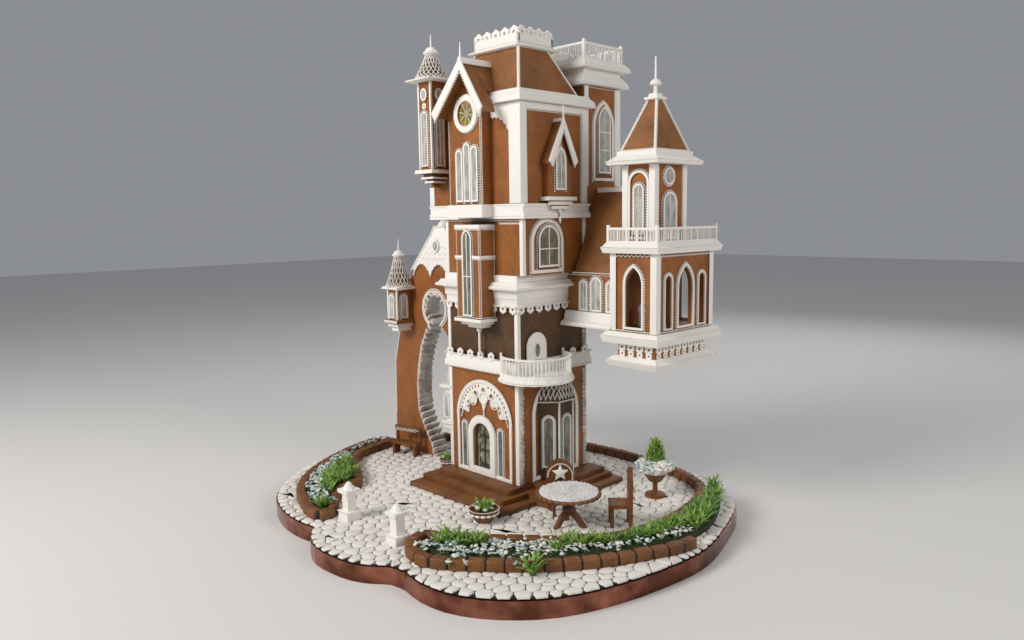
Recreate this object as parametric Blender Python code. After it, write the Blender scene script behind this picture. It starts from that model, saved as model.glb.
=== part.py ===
"""Gingerbread tower house on its lobed, copper-edged board.

Metres, +Z up. The door front faces -Y and the bay front faces +X. The sizes below are read in
a frame whose origin is near the middle of the board. main() then moves everything so that the
middle of the board's box is at X = Y = 0, with the board's underside at Z = 0.
"""
import bpy
import bmesh
import math
import random
from mathutils import Matrix, Vector

# Driving dimensions
GAP = 0.0003               # clearance between neighbouring pieces
BITE = 0.0006              # how far a fused piece reaches into what carries it
BOARD_TOP = 0.0185
PAVING_TOP = 0.0210
STONE_TOP = 0.0225
GROUND_TOP = 0.1762
BAND_TOP = 0.1955
SECOND_TOP = 0.2620
MID_FLOOR = 0.3023
MID_TOP = 0.3702
UPPER_FLOOR = 0.3885
UPPER_TOP = 0.5062
ROOF_FLOOR = 0.5204
ROOF_TOP = 0.5720

# Board outline in plan: three rounded lobes, each a smooth curve, that meet in notches
BOARD_LOBES = (
    ((0.0885, -0.2100), (0.1180, -0.2145), (0.1520, -0.2110), (0.1850, -0.1960), (0.2140, -0.1720),
     (0.2375, -0.1420), (0.2545, -0.1030), (0.2670, -0.0560), (0.2750, 0.0000), (0.2765, 0.0350),
     (0.2720, 0.0680), (0.2620, 0.1030), (0.2420, 0.1620), (0.2270, 0.1885), (0.2060, 0.2100),
     (0.1660, 0.2360), (0.1050, 0.2560), (0.0300, 0.2660), (-0.0550, 0.2590), (-0.1350, 0.2400),
     (-0.2050, 0.2050), (-0.2620, 0.1580), (-0.3000, 0.1050), (-0.3210, 0.0450), (-0.3220, -0.0250),
     (-0.2970, -0.1000), (-0.2660, -0.1430), (-0.2430, -0.1690), (-0.2100, -0.1930),
     (-0.1760, -0.2070), (-0.1430, -0.2145), (-0.1070, -0.2155), (-0.0860, -0.2120)),
    ((-0.0860, -0.2120), (-0.0620, -0.2300), (-0.0330, -0.2410), (0.0005, -0.2410), (0.0300, -0.2360),
     (0.0520, -0.2250), (0.0670, -0.2130), (0.0885, -0.2100)),
)

# House plan as (x0, x1, y0, y1): the storeys above the second lean out to the right and front
HOUSE = (-0.0995, 0.0295, 0.0113, 0.1378)
MID = (-0.0995, 0.0405, 0.0113, 0.1235)
UPPER = (-0.1250, 0.0430, 0.0068, 0.1235)
MANSARD_FOOT = (-0.1200, 0.0395, 0.0090, 0.1110)
MANSARD_HEAD = (-0.0540, 0.0215, 0.0270, 0.0780)
REAR_TOWER = (-0.0200, 0.0400, 0.1238, 0.1940)
WING = (0.0328, 0.1122, 0.1000, 0.1980)
PAVILION = (0.1125, 0.1766, 0.0900, 0.2053)
PAVILION_UPPER = (0.1246, 0.1666, 0.0990, 0.1590)
CORNER_TURRET = (-0.1145, -0.0900, -0.0180, 0.0064)
MID_ORIEL = (-0.0516, -0.0083, -0.0141, 0.0109)
GABLE_BAY = (-0.0660, -0.0066, -0.0100, 0.0064)
DORMER = (0.0434, 0.0530, 0.0440, 0.0840)
ARCH_WALL_Y = (0.0550, 0.0670)
ARCH_TURRET = (-0.2610, -0.2384, 0.0275, 0.0546)
SIDE_TURRET = (-0.1185, -0.0999, 0.0120, 0.0300)

PALETTE = {
    "gingerbread": ((0.36, 0.13, 0.03, 1.0), 0.62, 0.0),
    "dark_gingerbread": ((0.17, 0.06, 0.02, 1.0), 0.60, 0.0),
    "icing": ((0.86, 0.82, 0.78, 1.0), 0.55, 0.0),
    "cobble": ((0.74, 0.70, 0.66, 1.0), 0.65, 0.0),
    "copper": ((0.42, 0.17, 0.10, 1.0), 0.32, 0.9),
    "leaf": ((0.16, 0.33, 0.08, 1.0), 0.55, 0.0),
    "fresh_leaf": ((0.38, 0.55, 0.16, 1.0), 0.55, 0.0),
}


# Materials and bare meshes
def material(name):
    found = bpy.data.materials.get(name)
    if found:
        return found
    colour, roughness, metallic = PALETTE[name]
    made = bpy.data.materials.new(name)
    made.use_nodes = True
    shader = made.node_tree.nodes["Principled BSDF"]
    shader.inputs["Base Color"].default_value = colour
    shader.inputs["Roughness"].default_value = roughness
    shader.inputs["Metallic"].default_value = metallic
    made.diffuse_color = colour
    return made


def solid(vertices, faces, name="piece"):
    """One closed mesh object from corner points and faces, turned to face outwards."""
    mesh = bpy.data.meshes.new(name)
    work = bmesh.new()
    corners = [work.verts.new(point) for point in vertices]
    for face in faces:
        work.faces.new([corners[index] for index in face])
    bmesh.ops.recalc_face_normals(work, faces=work.faces)
    work.to_mesh(mesh)
    work.free()
    made = bpy.data.objects.new(name, mesh)
    bpy.context.scene.collection.objects.link(made)
    return made


def loft(rings, closed=False):
    """A skin over rings of equally many points, capped at both ends or closed to a loop."""
    count = len(rings[0])
    vertices = [point for ring in rings for point in ring]
    faces = []
    spans = len(rings) if closed else len(rings) - 1
    for row in range(spans):
        here = row * count
        there = ((row + 1) % len(rings)) * count
        for column in range(count):
            beside = (column + 1) % count
            faces.append((here + column, here + beside, there + beside, there + column))
    if not closed:
        faces.append(tuple(reversed(range(count))))
        faces.append(tuple(range((len(rings) - 1) * count, len(rings) * count)))
    return solid(vertices, faces)


def box(x0, x1, y0, y1, z0, z1):
    low = [(x0, y0, z0), (x1, y0, z0), (x1, y1, z0), (x0, y1, z0)]
    high = [(x, y, z1) for x, y, _ in low]
    return loft([low, high])


def frustum(foot, head, z0, z1):
    """A block whose plan changes from one rectangle (x0, x1, y0, y1) to another."""
    rings = []
    for (x0, x1, y0, y1), z in ((foot, z0), (head, z1)):
        rings.append([(x0, y0, z), (x1, y0, z), (x1, y1, z), (x0, y1, z)])
    return loft(rings)


def slab(points, z0, z1):
    """A flat plate of an outline given as (x, y) points."""
    return loft([[(x, y, z0) for x, y in points], [(x, y, z1) for x, y in points]])


def turned(profile, x, y, sides=12, turn=0.0):
    """A turned piece from a profile of (radius, z) points."""
    rings = []
    for radius, z in profile:
        ring = []
        for step in range(sides):
            angle = turn + 2.0 * math.pi * step / sides
            ring.append((x + radius * math.cos(angle), y + radius * math.sin(angle), z))
        rings.append(ring)
    return loft(rings)


def spike(x, y, z0, height, radius, lean=(0.0, 0.0), sides=3, turn=0.0):
    """A blade or finial that runs out to a point."""
    vertices = [(x + lean[0], y + lean[1], z0 + height)]
    for step in range(sides):
        angle = turn + 2.0 * math.pi * step / sides
        vertices.append((x + radius * math.cos(angle), y + radius * math.sin(angle), z0))
    faces = [(0, 1 + step, 1 + (step + 1) % sides) for step in range(sides)]
    faces.append(tuple(range(sides, 0, -1)))
    return solid(vertices, faces)


# Facades: a point (s, z) on a wall and a depth in front of it
class Facade:
    def __init__(self, side, plane):
        self.side = side
        self.plane = plane

    def point(self, s, z, depth):
        if self.side == "front":
            return (s, self.plane - depth, z)
        if self.side == "back":
            return (s, self.plane + depth, z)
        if self.side == "left":
            return (self.plane - depth, s, z)
        return (self.plane + depth, s, z)

    def plate(self, outline, depth0, depth1):
        rings = [[self.point(s, z, depth) for s, z in outline] for depth in (depth0, depth1)]
        return loft(rings)

    def ring(self, outer, inner, depth0, depth1):
        """A flat frame between two outlines of equally many points."""
        rings = []
        for outline, depth in ((outer, depth0), (outer, depth1), (inner, depth1), (inner, depth0)):
            rings.append([self.point(s, z, depth) for s, z in outline])
        return loft(rings, closed=True)

    def bar(self, s0, s1, z0, z1, depth):
        outline = [(s0, z0), (s1, z0), (s1, z1), (s0, z1)]
        return self.plate(outline, -BITE, depth)


def round_arch(middle, half, foot, spring, steps=8):
    points = [(middle - half, foot)]
    for step in range(steps + 1):
        angle = math.pi - math.pi * step / steps
        points.append((middle + half * math.cos(angle), spring + half * math.sin(angle)))
    points.append((middle + half, foot))
    return points


def pointed_arch(middle, half, foot, spring, sharp=1.7, steps=4):
    """An arch of two arcs that meet in a point; sharp is their radius over half the width."""
    radius = half * sharp
    top = math.acos((radius - half) / radius)
    points = [(middle - half, foot)]
    for step in range(steps + 1):
        angle = math.pi - top * step / steps
        points.append((middle - half + radius + radius * math.cos(angle),
                       spring + radius * math.sin(angle)))
    for step in range(1, steps + 1):
        angle = top - top * step / steps
        points.append((middle + half - radius + radius * math.cos(angle),
                       spring + radius * math.sin(angle)))
    points.append((middle + half, foot))
    return points


def circle(middle, height, radius_s, radius_z, steps=12):
    return [(middle + radius_s * math.cos(2 * math.pi * step / steps),
             height + radius_z * math.sin(2 * math.pi * step / steps)) for step in range(steps)]


# Joining and cutting
def apply_boolean(target, operands, operation):
    group = bpy.data.collections.new("operands")
    bpy.context.scene.collection.children.link(group)
    for piece in operands:
        bpy.context.scene.collection.objects.unlink(piece)
        group.objects.link(piece)
    step = target.modifiers.new(operation.lower(), "BOOLEAN")
    step.operation = operation
    step.operand_type = "COLLECTION"
    step.collection = group
    step.solver = "EXACT"
    bpy.context.view_layer.update()
    graph = bpy.context.evaluated_depsgraph_get()
    result = bpy.data.meshes.new_from_object(target.evaluated_get(graph))
    target.modifiers.remove(step)
    old = target.data
    target.data = result
    bpy.data.meshes.remove(old)
    for piece in operands:
        bpy.data.objects.remove(piece)
    bpy.data.collections.remove(group)
    return target


def fuse(pieces):
    first, *others = pieces
    return apply_boolean(first, others, "UNION") if others else first


def carve(target, cutters):
    return apply_boolean(target, cutters, "DIFFERENCE")


def grown(plan, by):
    x0, x1, y0, y1 = plan
    return (x0 - by, x1 + by, y0 - by, y1 + by)


def finish(made, name, colour, smooth=False):
    made.name = name
    made.data.name = name
    made.data.materials.clear()
    made.data.materials.append(material(colour))
    if smooth:
        made.data.shade_smooth()
        made.data.set_sharp_from_angle(angle=math.radians(35))
    return made


def smooth_curve(points, per_span, closed=False):
    """A Catmull-Rom curve through (x, y) points, as a list of (x, y) points."""
    count = len(points)
    result = []
    spans = count if closed else count - 1
    for span in range(spans):
        if closed:
            p0, p1, p2, p3 = (points[(span + k - 1) % count] for k in range(4))
        else:
            p0, p1, p2, p3 = (points[min(max(span + k - 1, 0), count - 1)] for k in range(4))
        for step in range(per_span):
            t = step / per_span
            result.append(tuple(
                0.5 * (2 * b + (c - a) * t + (2 * a - 5 * b + 4 * c - d) * t * t
                       + (3 * b - a - 3 * c + d) * t ** 3)
                for a, b, c, d in zip(p0, p1, p2, p3)))
    if not closed:
        result.append(tuple(points[-1]))
    return result


def resampled(points, pitch, closed=False):
    """The curve's points again, at an even pitch."""
    path = list(points) + ([points[0]] if closed else [])
    lengths = [0.0]
    for here, there in zip(path, path[1:]):
        lengths.append(lengths[-1] + math.dist(here, there))
    count = max(3, round(lengths[-1] / pitch))
    result = []
    index = 0
    for step in range(count if closed else count + 1):
        want = lengths[-1] * step / count
        while index < len(path) - 2 and lengths[index + 1] < want:
            index += 1
        span = max(lengths[index + 1] - lengths[index], 1e-9)
        t = (want - lengths[index]) / span
        result.append(tuple(a + (b - a) * t for a, b in zip(path[index], path[index + 1])))
    return result


# Board and paving
def board_outline():
    points = []
    for lobe in BOARD_LOBES:
        points += smooth_curve(lobe, 2)[:-1]
    return points


def make_board():
    return finish(slab(board_outline(), 0.0, BOARD_TOP), "board", "copper")


STONE_PITCH = 0.0385
STONE_RADIUS = 0.0130
STEPS_PLAN = (-0.1160, 0.0600, -0.0520, 0.1610)
PATIO_PLAN = (0.0290, 0.0800, 0.0000, 0.1600)


def in_plan(x, y, plan, margin):
    return (plan[0] - margin < x < plan[1] + margin) and (plan[2] - margin < y < plan[3] + margin)


def blocked(x, y, feet):
    """Whether a stone at (x, y) would touch what stands on the paving."""
    margin = STONE_RADIUS + 0.0012
    if in_plan(x, y, STEPS_PLAN, margin) or in_plan(x, y, PATIO_PLAN, margin):
        return True
    if in_plan(x, y, (-0.2860, -0.0990, ARCH_WALL_Y[0], ARCH_WALL_Y[1]), margin):
        return True
    for fx, fy, radius in feet:
        if math.hypot(x - fx, y - fy) < radius + margin:
            return True
    return False


def make_paving(feet):
    """The paving: a thin bed with flat stones standing out of it wherever nothing else stands."""
    rng = random.Random(7)
    rim = board_outline()
    inner_rim = shrunk(rim, STONE_RADIUS + 0.0010)
    pieces = [slab(shrunk(rim, 0.0004), BOARD_TOP + GAP, PAVING_TOP)]
    row_pitch = STONE_PITCH * 0.866
    for row in range(int(0.52 / row_pitch)):
        for column in range(24):
            x = -0.33 + (column + 0.5 * (row % 2)) * STONE_PITCH + rng.uniform(-0.002, 0.002)
            y = -0.24 + row * row_pitch + rng.uniform(-0.002, 0.002)
            size = STONE_RADIUS * rng.uniform(0.85, 1.0)
            turn = rng.uniform(0.0, math.pi)
            if not inside(x, y, inner_rim) or blocked(x, y, feet):
                continue
            profile = ((size, PAVING_TOP - BITE), (size * 0.80, STONE_TOP))
            pieces.append(turned(profile, x, y, sides=5, turn=turn))
    return finish(fuse(pieces), "paving", "cobble")


# Steps and the plinth under the house
def make_steps():
    foot = PAVING_TOP + GAP
    plans = (
        ("step_low", [(-0.1150, -0.0500), (0.0560, -0.0470), (0.0600, 0.0100), (0.0780, 0.0120),
                      (0.0780, 0.1560), (-0.1100, 0.1600)]),
        ("step_mid", [(-0.1135, -0.0290), (0.0419, -0.0300), (0.0440, 0.0120), (0.0640, 0.0140),
                      (0.0640, 0.1500), (-0.1090, 0.1540)]),
        ("step_top", [(-0.1000, -0.0118), (0.0340, -0.0124), (0.0345, 0.0300), (0.0560, 0.0360),
                      (0.0560, 0.1440), (-0.1060, 0.1480)]),
    )
    levels = (foot, 0.0280, 0.0340, 0.0400)
    for index, (name, outline) in enumerate(plans):
        floor = levels[index] + (GAP if index else 0.0)
        finish(slab(outline, floor, levels[index + 1]), name, "dark_gingerbread")


# Ground storey with its door, lace arch and bay
FRONT = Facade("front", HOUSE[2])
RIGHT = Facade("right", HOUSE[1])
DOOR_MIDDLE = -0.0365
DOOR_HALF = 0.0150
SIDELIGHT_REACH = 0.0342
LACE_MIDDLE = -0.0326
LACE_HALF = 0.0517
LACE_SPRING = 0.1140
PLINTH_TOP = 0.0403


def make_ground_storey():
    x0, x1, y0, y1 = HOUSE
    body = box(x0, x1, y0, y1, PLINTH_TOP, GROUND_TOP)
    door_shape = round_arch(DOOR_MIDDLE, DOOR_HALF, PLINTH_TOP + 0.0015, 0.0945)
    door = FRONT.plate(door_shape, -0.0060, BITE)
    sidelights = [
        FRONT.plate(round_arch(s, 0.0040, 0.0450, 0.1008, steps=4), -0.0030, BITE)
        for s in (DOOR_MIDDLE - SIDELIGHT_REACH, DOOR_MIDDLE + SIDELIGHT_REACH)
    ]
    body = carve(body, [door] + sidelights)
    finish(body, "ground_storey", "gingerbread")


def arch_frame(middle, outer_half, inner_half, foot, spring, depth, steps):
    """An open-footed arch frame on the front wall, with legs down to the foot."""
    frame = FRONT.plate(round_arch(middle, outer_half, foot, spring, steps=steps), GAP, depth)
    hole = FRONT.plate(round_arch(middle, inner_half, foot - 0.01, spring, steps=steps), -0.01, 0.02)
    return carve(frame, [hole])


def make_front_trims():
    """The lace arch over the door, with its two legs, and the door's own frame."""
    foot = PLINTH_TOP + GAP
    ring = arch_frame(LACE_MIDDLE, LACE_HALF, LACE_HALF - 0.0050, foot, LACE_SPRING, 0.0028, 16)
    half_hem = ((0.0460, 0.1180), (0.0330, 0.1310), (0.0200, 0.1340), (0.0140, 0.1400), (0.0080, 0.1290))
    hem = [(-s, z) for s, z in half_hem] + [(0.0, 0.1220)] + list(reversed(half_hem))
    crown = [(LACE_MIDDLE + s, z) for s, z in hem]
    arc = round_arch(LACE_MIDDLE, LACE_HALF - 0.0046, LACE_SPRING, LACE_SPRING, steps=16)
    lace = [point for point in arc if point[1] > crown[0][1] + 0.001]
    web = FRONT.plate(lace + list(reversed(crown)), GAP + 0.0004, 0.0022)
    finish(fuse([ring, web]), "lace_arch", "icing")
    frame = arch_frame(DOOR_MIDDLE, 0.0255, DOOR_HALF + 0.0010, foot, 0.0925, 0.0042, 10)
    finish(frame, "door_frame", "icing")


BAY_FOOT = ((0.0298, 0.0450), (0.0485, 0.0640), (0.0485, 0.0895), (0.0298, 0.1085))
BAY_TOP = 0.1400


def make_bay():
    walls = slab(BAY_FOOT, PLINTH_TOP, BAY_TOP)
    finish(walls, "bay", "dark_gingerbread")
    middle = (0.0298, 0.0768)
    rings = []
    for share, z in ((1.10, BAY_TOP + GAP), (1.10, 0.1440), (1.00, 0.1520), (0.82, 0.1600),
                     (0.55, 0.1660), (0.22, 0.1695)):
        ring = []
        for x, y in BAY_FOOT:
            ring.append((middle[0] + (x - middle[0]) * share, middle[1] + (y - middle[1]) * share, z))
        rings.append(ring)
    finish(loft(rings), "bay_roof", "icing")


# Balcony, its band and the second storey
def flower(facade, s, z, radius, depth0, depth1):
    return facade.plate(circle(s, z, radius, radius, steps=6), depth0, depth1)


BAND = grown(HOUSE, 0.0055)
BALCONY_CENTRE = (0.0280, 0.0440)
BALCONY_RADIUS = 0.0460
BALCONY_SPANS = 11


def make_balcony_band():
    x0, x1, y0, y1 = BAND
    pieces = [box(x0, x1, y0, y1, GROUND_TOP + GAP, BAND_TOP)]
    crest_sides = (
        (Facade("front", y0), (-0.0930, -0.0700, -0.0470, -0.0240)),
        (Facade("right", x1), (0.1010, 0.1240)),
        (Facade("back", y1), (-0.0880, -0.0600, -0.0320, -0.0040, 0.0240)),
        (Facade("left", x0), (0.0250, 0.0990, 0.1270)),
    )
    for facade, places in crest_sides:
        for s in places:
            pieces.append(flower(facade, s, BAND_TOP + 0.0030, 0.0046, -0.0020, 0.0))
    band = fuse(pieces)
    disc = [(BALCONY_CENTRE[0] + (BALCONY_RADIUS + 0.0006) * math.cos(a),
             BALCONY_CENTRE[1] + (BALCONY_RADIUS + 0.0006) * math.sin(a))
            for a in (2 * math.pi * k / 40 for k in range(40))]
    cutter = slab(disc, GROUND_TOP - 0.01, BAND_TOP + 0.02)
    core = box(HOUSE[0], HOUSE[1] + 0.0001, HOUSE[2] - 0.0001, HOUSE[3],
               GROUND_TOP - 0.02, BAND_TOP + 0.03)
    notch = carve(cutter, [core])
    arch_side = box(x0 - 0.01, HOUSE[0] - 0.0001, 0.0280, ARCH_WALL_Y[1] + 0.0006, 0.17, 0.21)
    finish(carve(band, [notch, arch_side]), "balcony_band", "icing")


def balcony_edge(radius, count, start=-2.14, end=1.42):
    """Points of the balcony's round edge, from the door front to the bay front."""
    return [(BALCONY_CENTRE[0] + radius * math.cos(start + (end - start) * k / count),
             BALCONY_CENTRE[1] + radius * math.sin(start + (end - start) * k / count))
            for k in range(count + 1)]


def make_balcony():
    inner_x = HOUSE[1] + GAP
    inner_y = HOUSE[2] - GAP
    edge = balcony_edge(BALCONY_RADIUS, BALCONY_SPANS)
    lip = balcony_edge(BALCONY_RADIUS + 0.0020, BALCONY_SPANS)
    rail = balcony_edge(BALCONY_RADIUS - 0.0020, BALCONY_SPANS)
    corner = [(inner_x, edge[-1][1]), (inner_x, inner_y), (edge[0][0], inner_y)]
    floor = slab([(x, y) for x, y in edge] + corner, 0.1745, 0.1795)
    lower = slab([(x, y) for x, y in lip] + [(inner_x, lip[-1][1]), (inner_x, inner_y),
                                             (lip[0][0], inner_y)], 0.1705, 0.1750)
    pieces = [floor, lower]
    for level in (0.1795 - 0.0002, 0.2000):
        ring = []
        for x, y in rail:
            dx, dy = x - BALCONY_CENTRE[0], y - BALCONY_CENTRE[1]
            length = math.hypot(dx, dy)
            ux, uy = dx / length, dy / length
            ring.append([(x + ux * w, y + uy * w, level + h)
                         for w, h in ((-0.0012, 0.0), (0.0012, 0.0), (0.0012, 0.0022), (-0.0012, 0.0022))])
        pieces.append(loft(ring))
    for x, y in rail[1:-1]:
        pieces.append(turned(((0.0010, 0.1800), (0.0010, 0.2012)), x, y, sides=4))
    for x, y in (rail[0], rail[-1]):
        pieces.append(turned(((0.0016, 0.1790), (0.0016, 0.2060)), x, y, sides=6))
    finish(fuse(pieces), "balcony", "icing")


def make_second_storey():
    x0, x1, y0, y1 = HOUSE
    body = box(x0, x1, y0, y1, BAND_TOP + GAP, SECOND_TOP)
    facade = Facade("right", x1)
    door_shape = round_arch(0.0420, 0.0165, BAND_TOP + 0.0006, 0.2130, steps=10)
    door = facade.plate(door_shape, -BITE, 0.0022)
    finish(fuse([body, door]), "second_storey", "dark_gingerbread")


# Middle cornice, middle storey and the oriel beside it
def hanging_flowers(pieces, plan, z, sides, radius=0.0045):
    x0, x1, y0, y1 = plan
    for side, plane, low, high, count in sides:
        facade = Facade(side, plane)
        for index in range(count):
            s = low + (high - low) * (index + 0.5) / count
            pieces.append(flower(facade, s, z, radius, -0.0022, 0.0))


def make_mid_cornice():
    x0, x1, y0, y1 = HOUSE
    fascia = grown(HOUSE, 0.0035)
    pieces = [box(*fascia, SECOND_TOP + GAP + 0.0090, 0.2850)]
    pieces.append(box(*HOUSE, SECOND_TOP + GAP, SECOND_TOP + 0.0110))
    fx0, fx1, fy0, fy1 = fascia
    hanging_flowers(pieces, fascia, SECOND_TOP + 0.0080, (
        ("front", fy0, fx0, fx1, 5), ("right", fx1, fy0, 0.1050, 4),
        ("back", fy1, fx0, fx1, 5), ("left", fx0, fy0, fy1, 5)))
    lip = grown(HOUSE, 0.0125)
    pieces.append(frustum(lip, grown(HOUSE, 0.0105), 0.2845, 0.2885))
    pieces.append(frustum(grown(HOUSE, 0.0110), grown(HOUSE, 0.0070), 0.2883, 0.2935))
    pieces.append(box(x0 - 0.0030, MID[1] + 0.0030, y0 - 0.0030, y1 + 0.0030, 0.2930, MID_FLOOR - GAP))
    body = fuse(pieces)
    oriel = grown(MID_ORIEL, 0.0004)
    low, high = 0.24, 0.32
    cuts = [
        box(oriel[0], oriel[1], oriel[2] - 0.02, HOUSE[2] + 0.0001, low, high),
        box(WING[0] - 0.0004, 0.08, WING[2] - 0.0006, 0.1600, low, high),
        box(REAR_TOWER[0] - 0.0004, 0.08, 0.1384, 0.1600, low, high),
        box(HOUSE[0] - 0.02, HOUSE[0] - 0.0001, ARCH_WALL_Y[0] - 0.0006, ARCH_WALL_Y[1] + 0.0006,
            low, high),
    ]
    finish(carve(body, cuts), "mid_cornice", "icing")


def make_mid_storey():
    x0, x1, y0, y1 = MID
    body = box(x0, x1, y0, y1, MID_FLOOR, MID_TOP)
    facade = Facade("right", x1)
    outer = round_arch(0.0520, 0.0270, 0.3045, 0.3420, steps=10)
    inner = round_arch(0.0520, 0.0240, 0.3075, 0.3420, steps=10)
    frame = facade.ring(outer, inner, -BITE, 0.0022)
    sash_outer = round_arch(0.0545, 0.0180, 0.3120, 0.3440, steps=8)
    sash_inner = round_arch(0.0545, 0.0150, 0.3150, 0.3440, steps=8)
    sash = facade.ring(sash_outer, sash_inner, -BITE, 0.0022)
    rail = facade.bar(0.0380, 0.0710, 0.3330, 0.3350, 0.0020)
    body = fuse([body, frame, sash, rail])
    finish(body, "mid_storey", "gingerbread")


def corbel(plan, levels, walls):
    """Stacked plates below a turret, each smaller than the one above it."""
    pieces = []
    x0, x1, y0, y1 = plan
    for z0, z1, reach in levels:
        pieces.append(box(x0 - (0.0 if "left" in walls else reach),
                          x1 + (0.0 if "right" in walls else reach),
                          y0 - (0.0 if "front" in walls else reach),
                          y1 + (0.0 if "back" in walls else reach), z0, z1))
    return pieces


def make_mid_oriel():
    x0, x1, y0, y1 = MID_ORIEL
    body = box(x0, x1, y0, y1, 0.2480, 0.3600)
    pieces = [body]
    pieces += corbel(MID_ORIEL, ((0.2440, 0.2484, 0.0030), (0.3225, 0.3262, 0.0012),
                                 (0.3596, 0.3640, 0.0012)), ("back",))
    for inset, z0, z1, reach in ((0.0060, 0.2398, 0.2444, 0.0020), (0.0110, 0.2358, 0.2402, 0.0010)):
        shelf = (x0 + inset, x1 - inset, y0 + inset, y1)
        pieces += corbel(shelf, ((z0, z1, reach),), ("back",))
    middle = ((x0 + x1) / 2, (y0 + y1) / 2 + 0.004)
    pieces.append(turned(((0.0030, 0.2364), (0.0034, 0.2320), (0.0010, 0.2290), (0.0009, 0.2010)),
                         middle[0], middle[1], sides=6))
    facade = Facade("front", y0)
    s = (x0 + x1) / 2
    pieces.append(facade.plate(pointed_arch(s, 0.0070, 0.2520, 0.3500, sharp=1.5), -BITE, 0.0016))
    finish(fuse(pieces), "mid_oriel", "gingerbread")


# Upper storey, its base band, gabled bay, corner turret and dormer
def make_upper_band():
    x0, x1, y0, y1 = UPPER
    top = UPPER_FLOOR - GAP
    pieces = [
        box(x0 - 0.0020, x1 + 0.0070, y0 - 0.0020, y1, MID_TOP + GAP, 0.3770),
        box(x0 - 0.0010, x1 + 0.0045, y0 - 0.0012, y1, 0.3765, 0.3852),
        box(x0 - 0.0020, x1 + 0.0066, y0 - 0.0018, y1, 0.3848, top),
        box(GABLE_BAY[0] - 0.0030, GABLE_BAY[1] + 0.0020, GABLE_BAY[2] - 0.0020, y0, 0.3725, top),
    ]
    finish(fuse(pieces), "upper_band", "icing")


def make_upper_storey():
    x0, x1, y0, y1 = UPPER
    body = box(x0, x1, y0, y1, UPPER_FLOOR, UPPER_TOP)
    facade = Facade("right", x1)
    front = Facade("front", y0)
    pieces = [body]
    low = UPPER_FLOOR + 0.0002
    high = UPPER_TOP - 0.0002
    pieces.append(facade.bar(y0 + 0.0005, y0 + 0.0085, low, high, 0.0022))
    pieces.append(facade.bar(y1 - 0.0095, y1 - 0.0005, low, high, 0.0022))
    pieces.append(facade.bar(y0 + 0.0080, y1 - 0.0090, UPPER_TOP - 0.0080, high, 0.0022))
    pieces.append(front.bar(x1 - 0.0165, x1 - 0.0005, low, high, 0.0022))
    pieces.append(front.bar(x0 + 0.0005, x0 + 0.0090, low, 0.4120, 0.0022))
    finish(fuse(pieces), "upper_storey", "gingerbread")


GABLE_MIDDLE = -0.0225
GABLE_LEFT = 0.0530
GABLE_RIGHT = 0.0360
GABLE_APEX = 0.5560
GABLE_FOOT = 0.4990
GABLE_FRONT = -0.0280
ROSE_MIDDLE = -0.0310


def gable_height(x):
    """Height of the underside of the roof over a place across the gable."""
    reach = GABLE_LEFT if x < GABLE_MIDDLE else GABLE_RIGHT
    return GABLE_APEX - (GABLE_APEX - GABLE_FOOT) * abs(x - GABLE_MIDDLE) / reach


def make_gable_bay():
    x0, x1, y0, y1 = GABLE_BAY
    under = 0.0052
    outline = [(x0, UPPER_FLOOR), (x1, UPPER_FLOOR), (x1, gable_height(x1) - under),
               (GABLE_MIDDLE, GABLE_APEX - under), (x0, gable_height(x0) - under)]
    facade = Facade("front", y0)
    body = facade.plate(outline, -(y1 - y0), 0.0)
    pieces = [body]
    pieces.append(facade.ring(circle(ROSE_MIDDLE, 0.4970, 0.0205, 0.0215, 20),
                              circle(ROSE_MIDDLE, 0.4970, 0.0135, 0.0155, 20), -BITE, 0.0028))
    for s, top in ((-0.0140, 0.4490), (0.0, 0.4560), (0.0135, 0.4520)):
        lancet = round_arch(ROSE_MIDDLE + s, 0.0058, 0.3925, top, steps=6)
        pieces.append(facade.plate(lancet, -BITE, 0.0018))
    finish(fuse(pieces), "gable_bay", "gingerbread")


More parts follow.
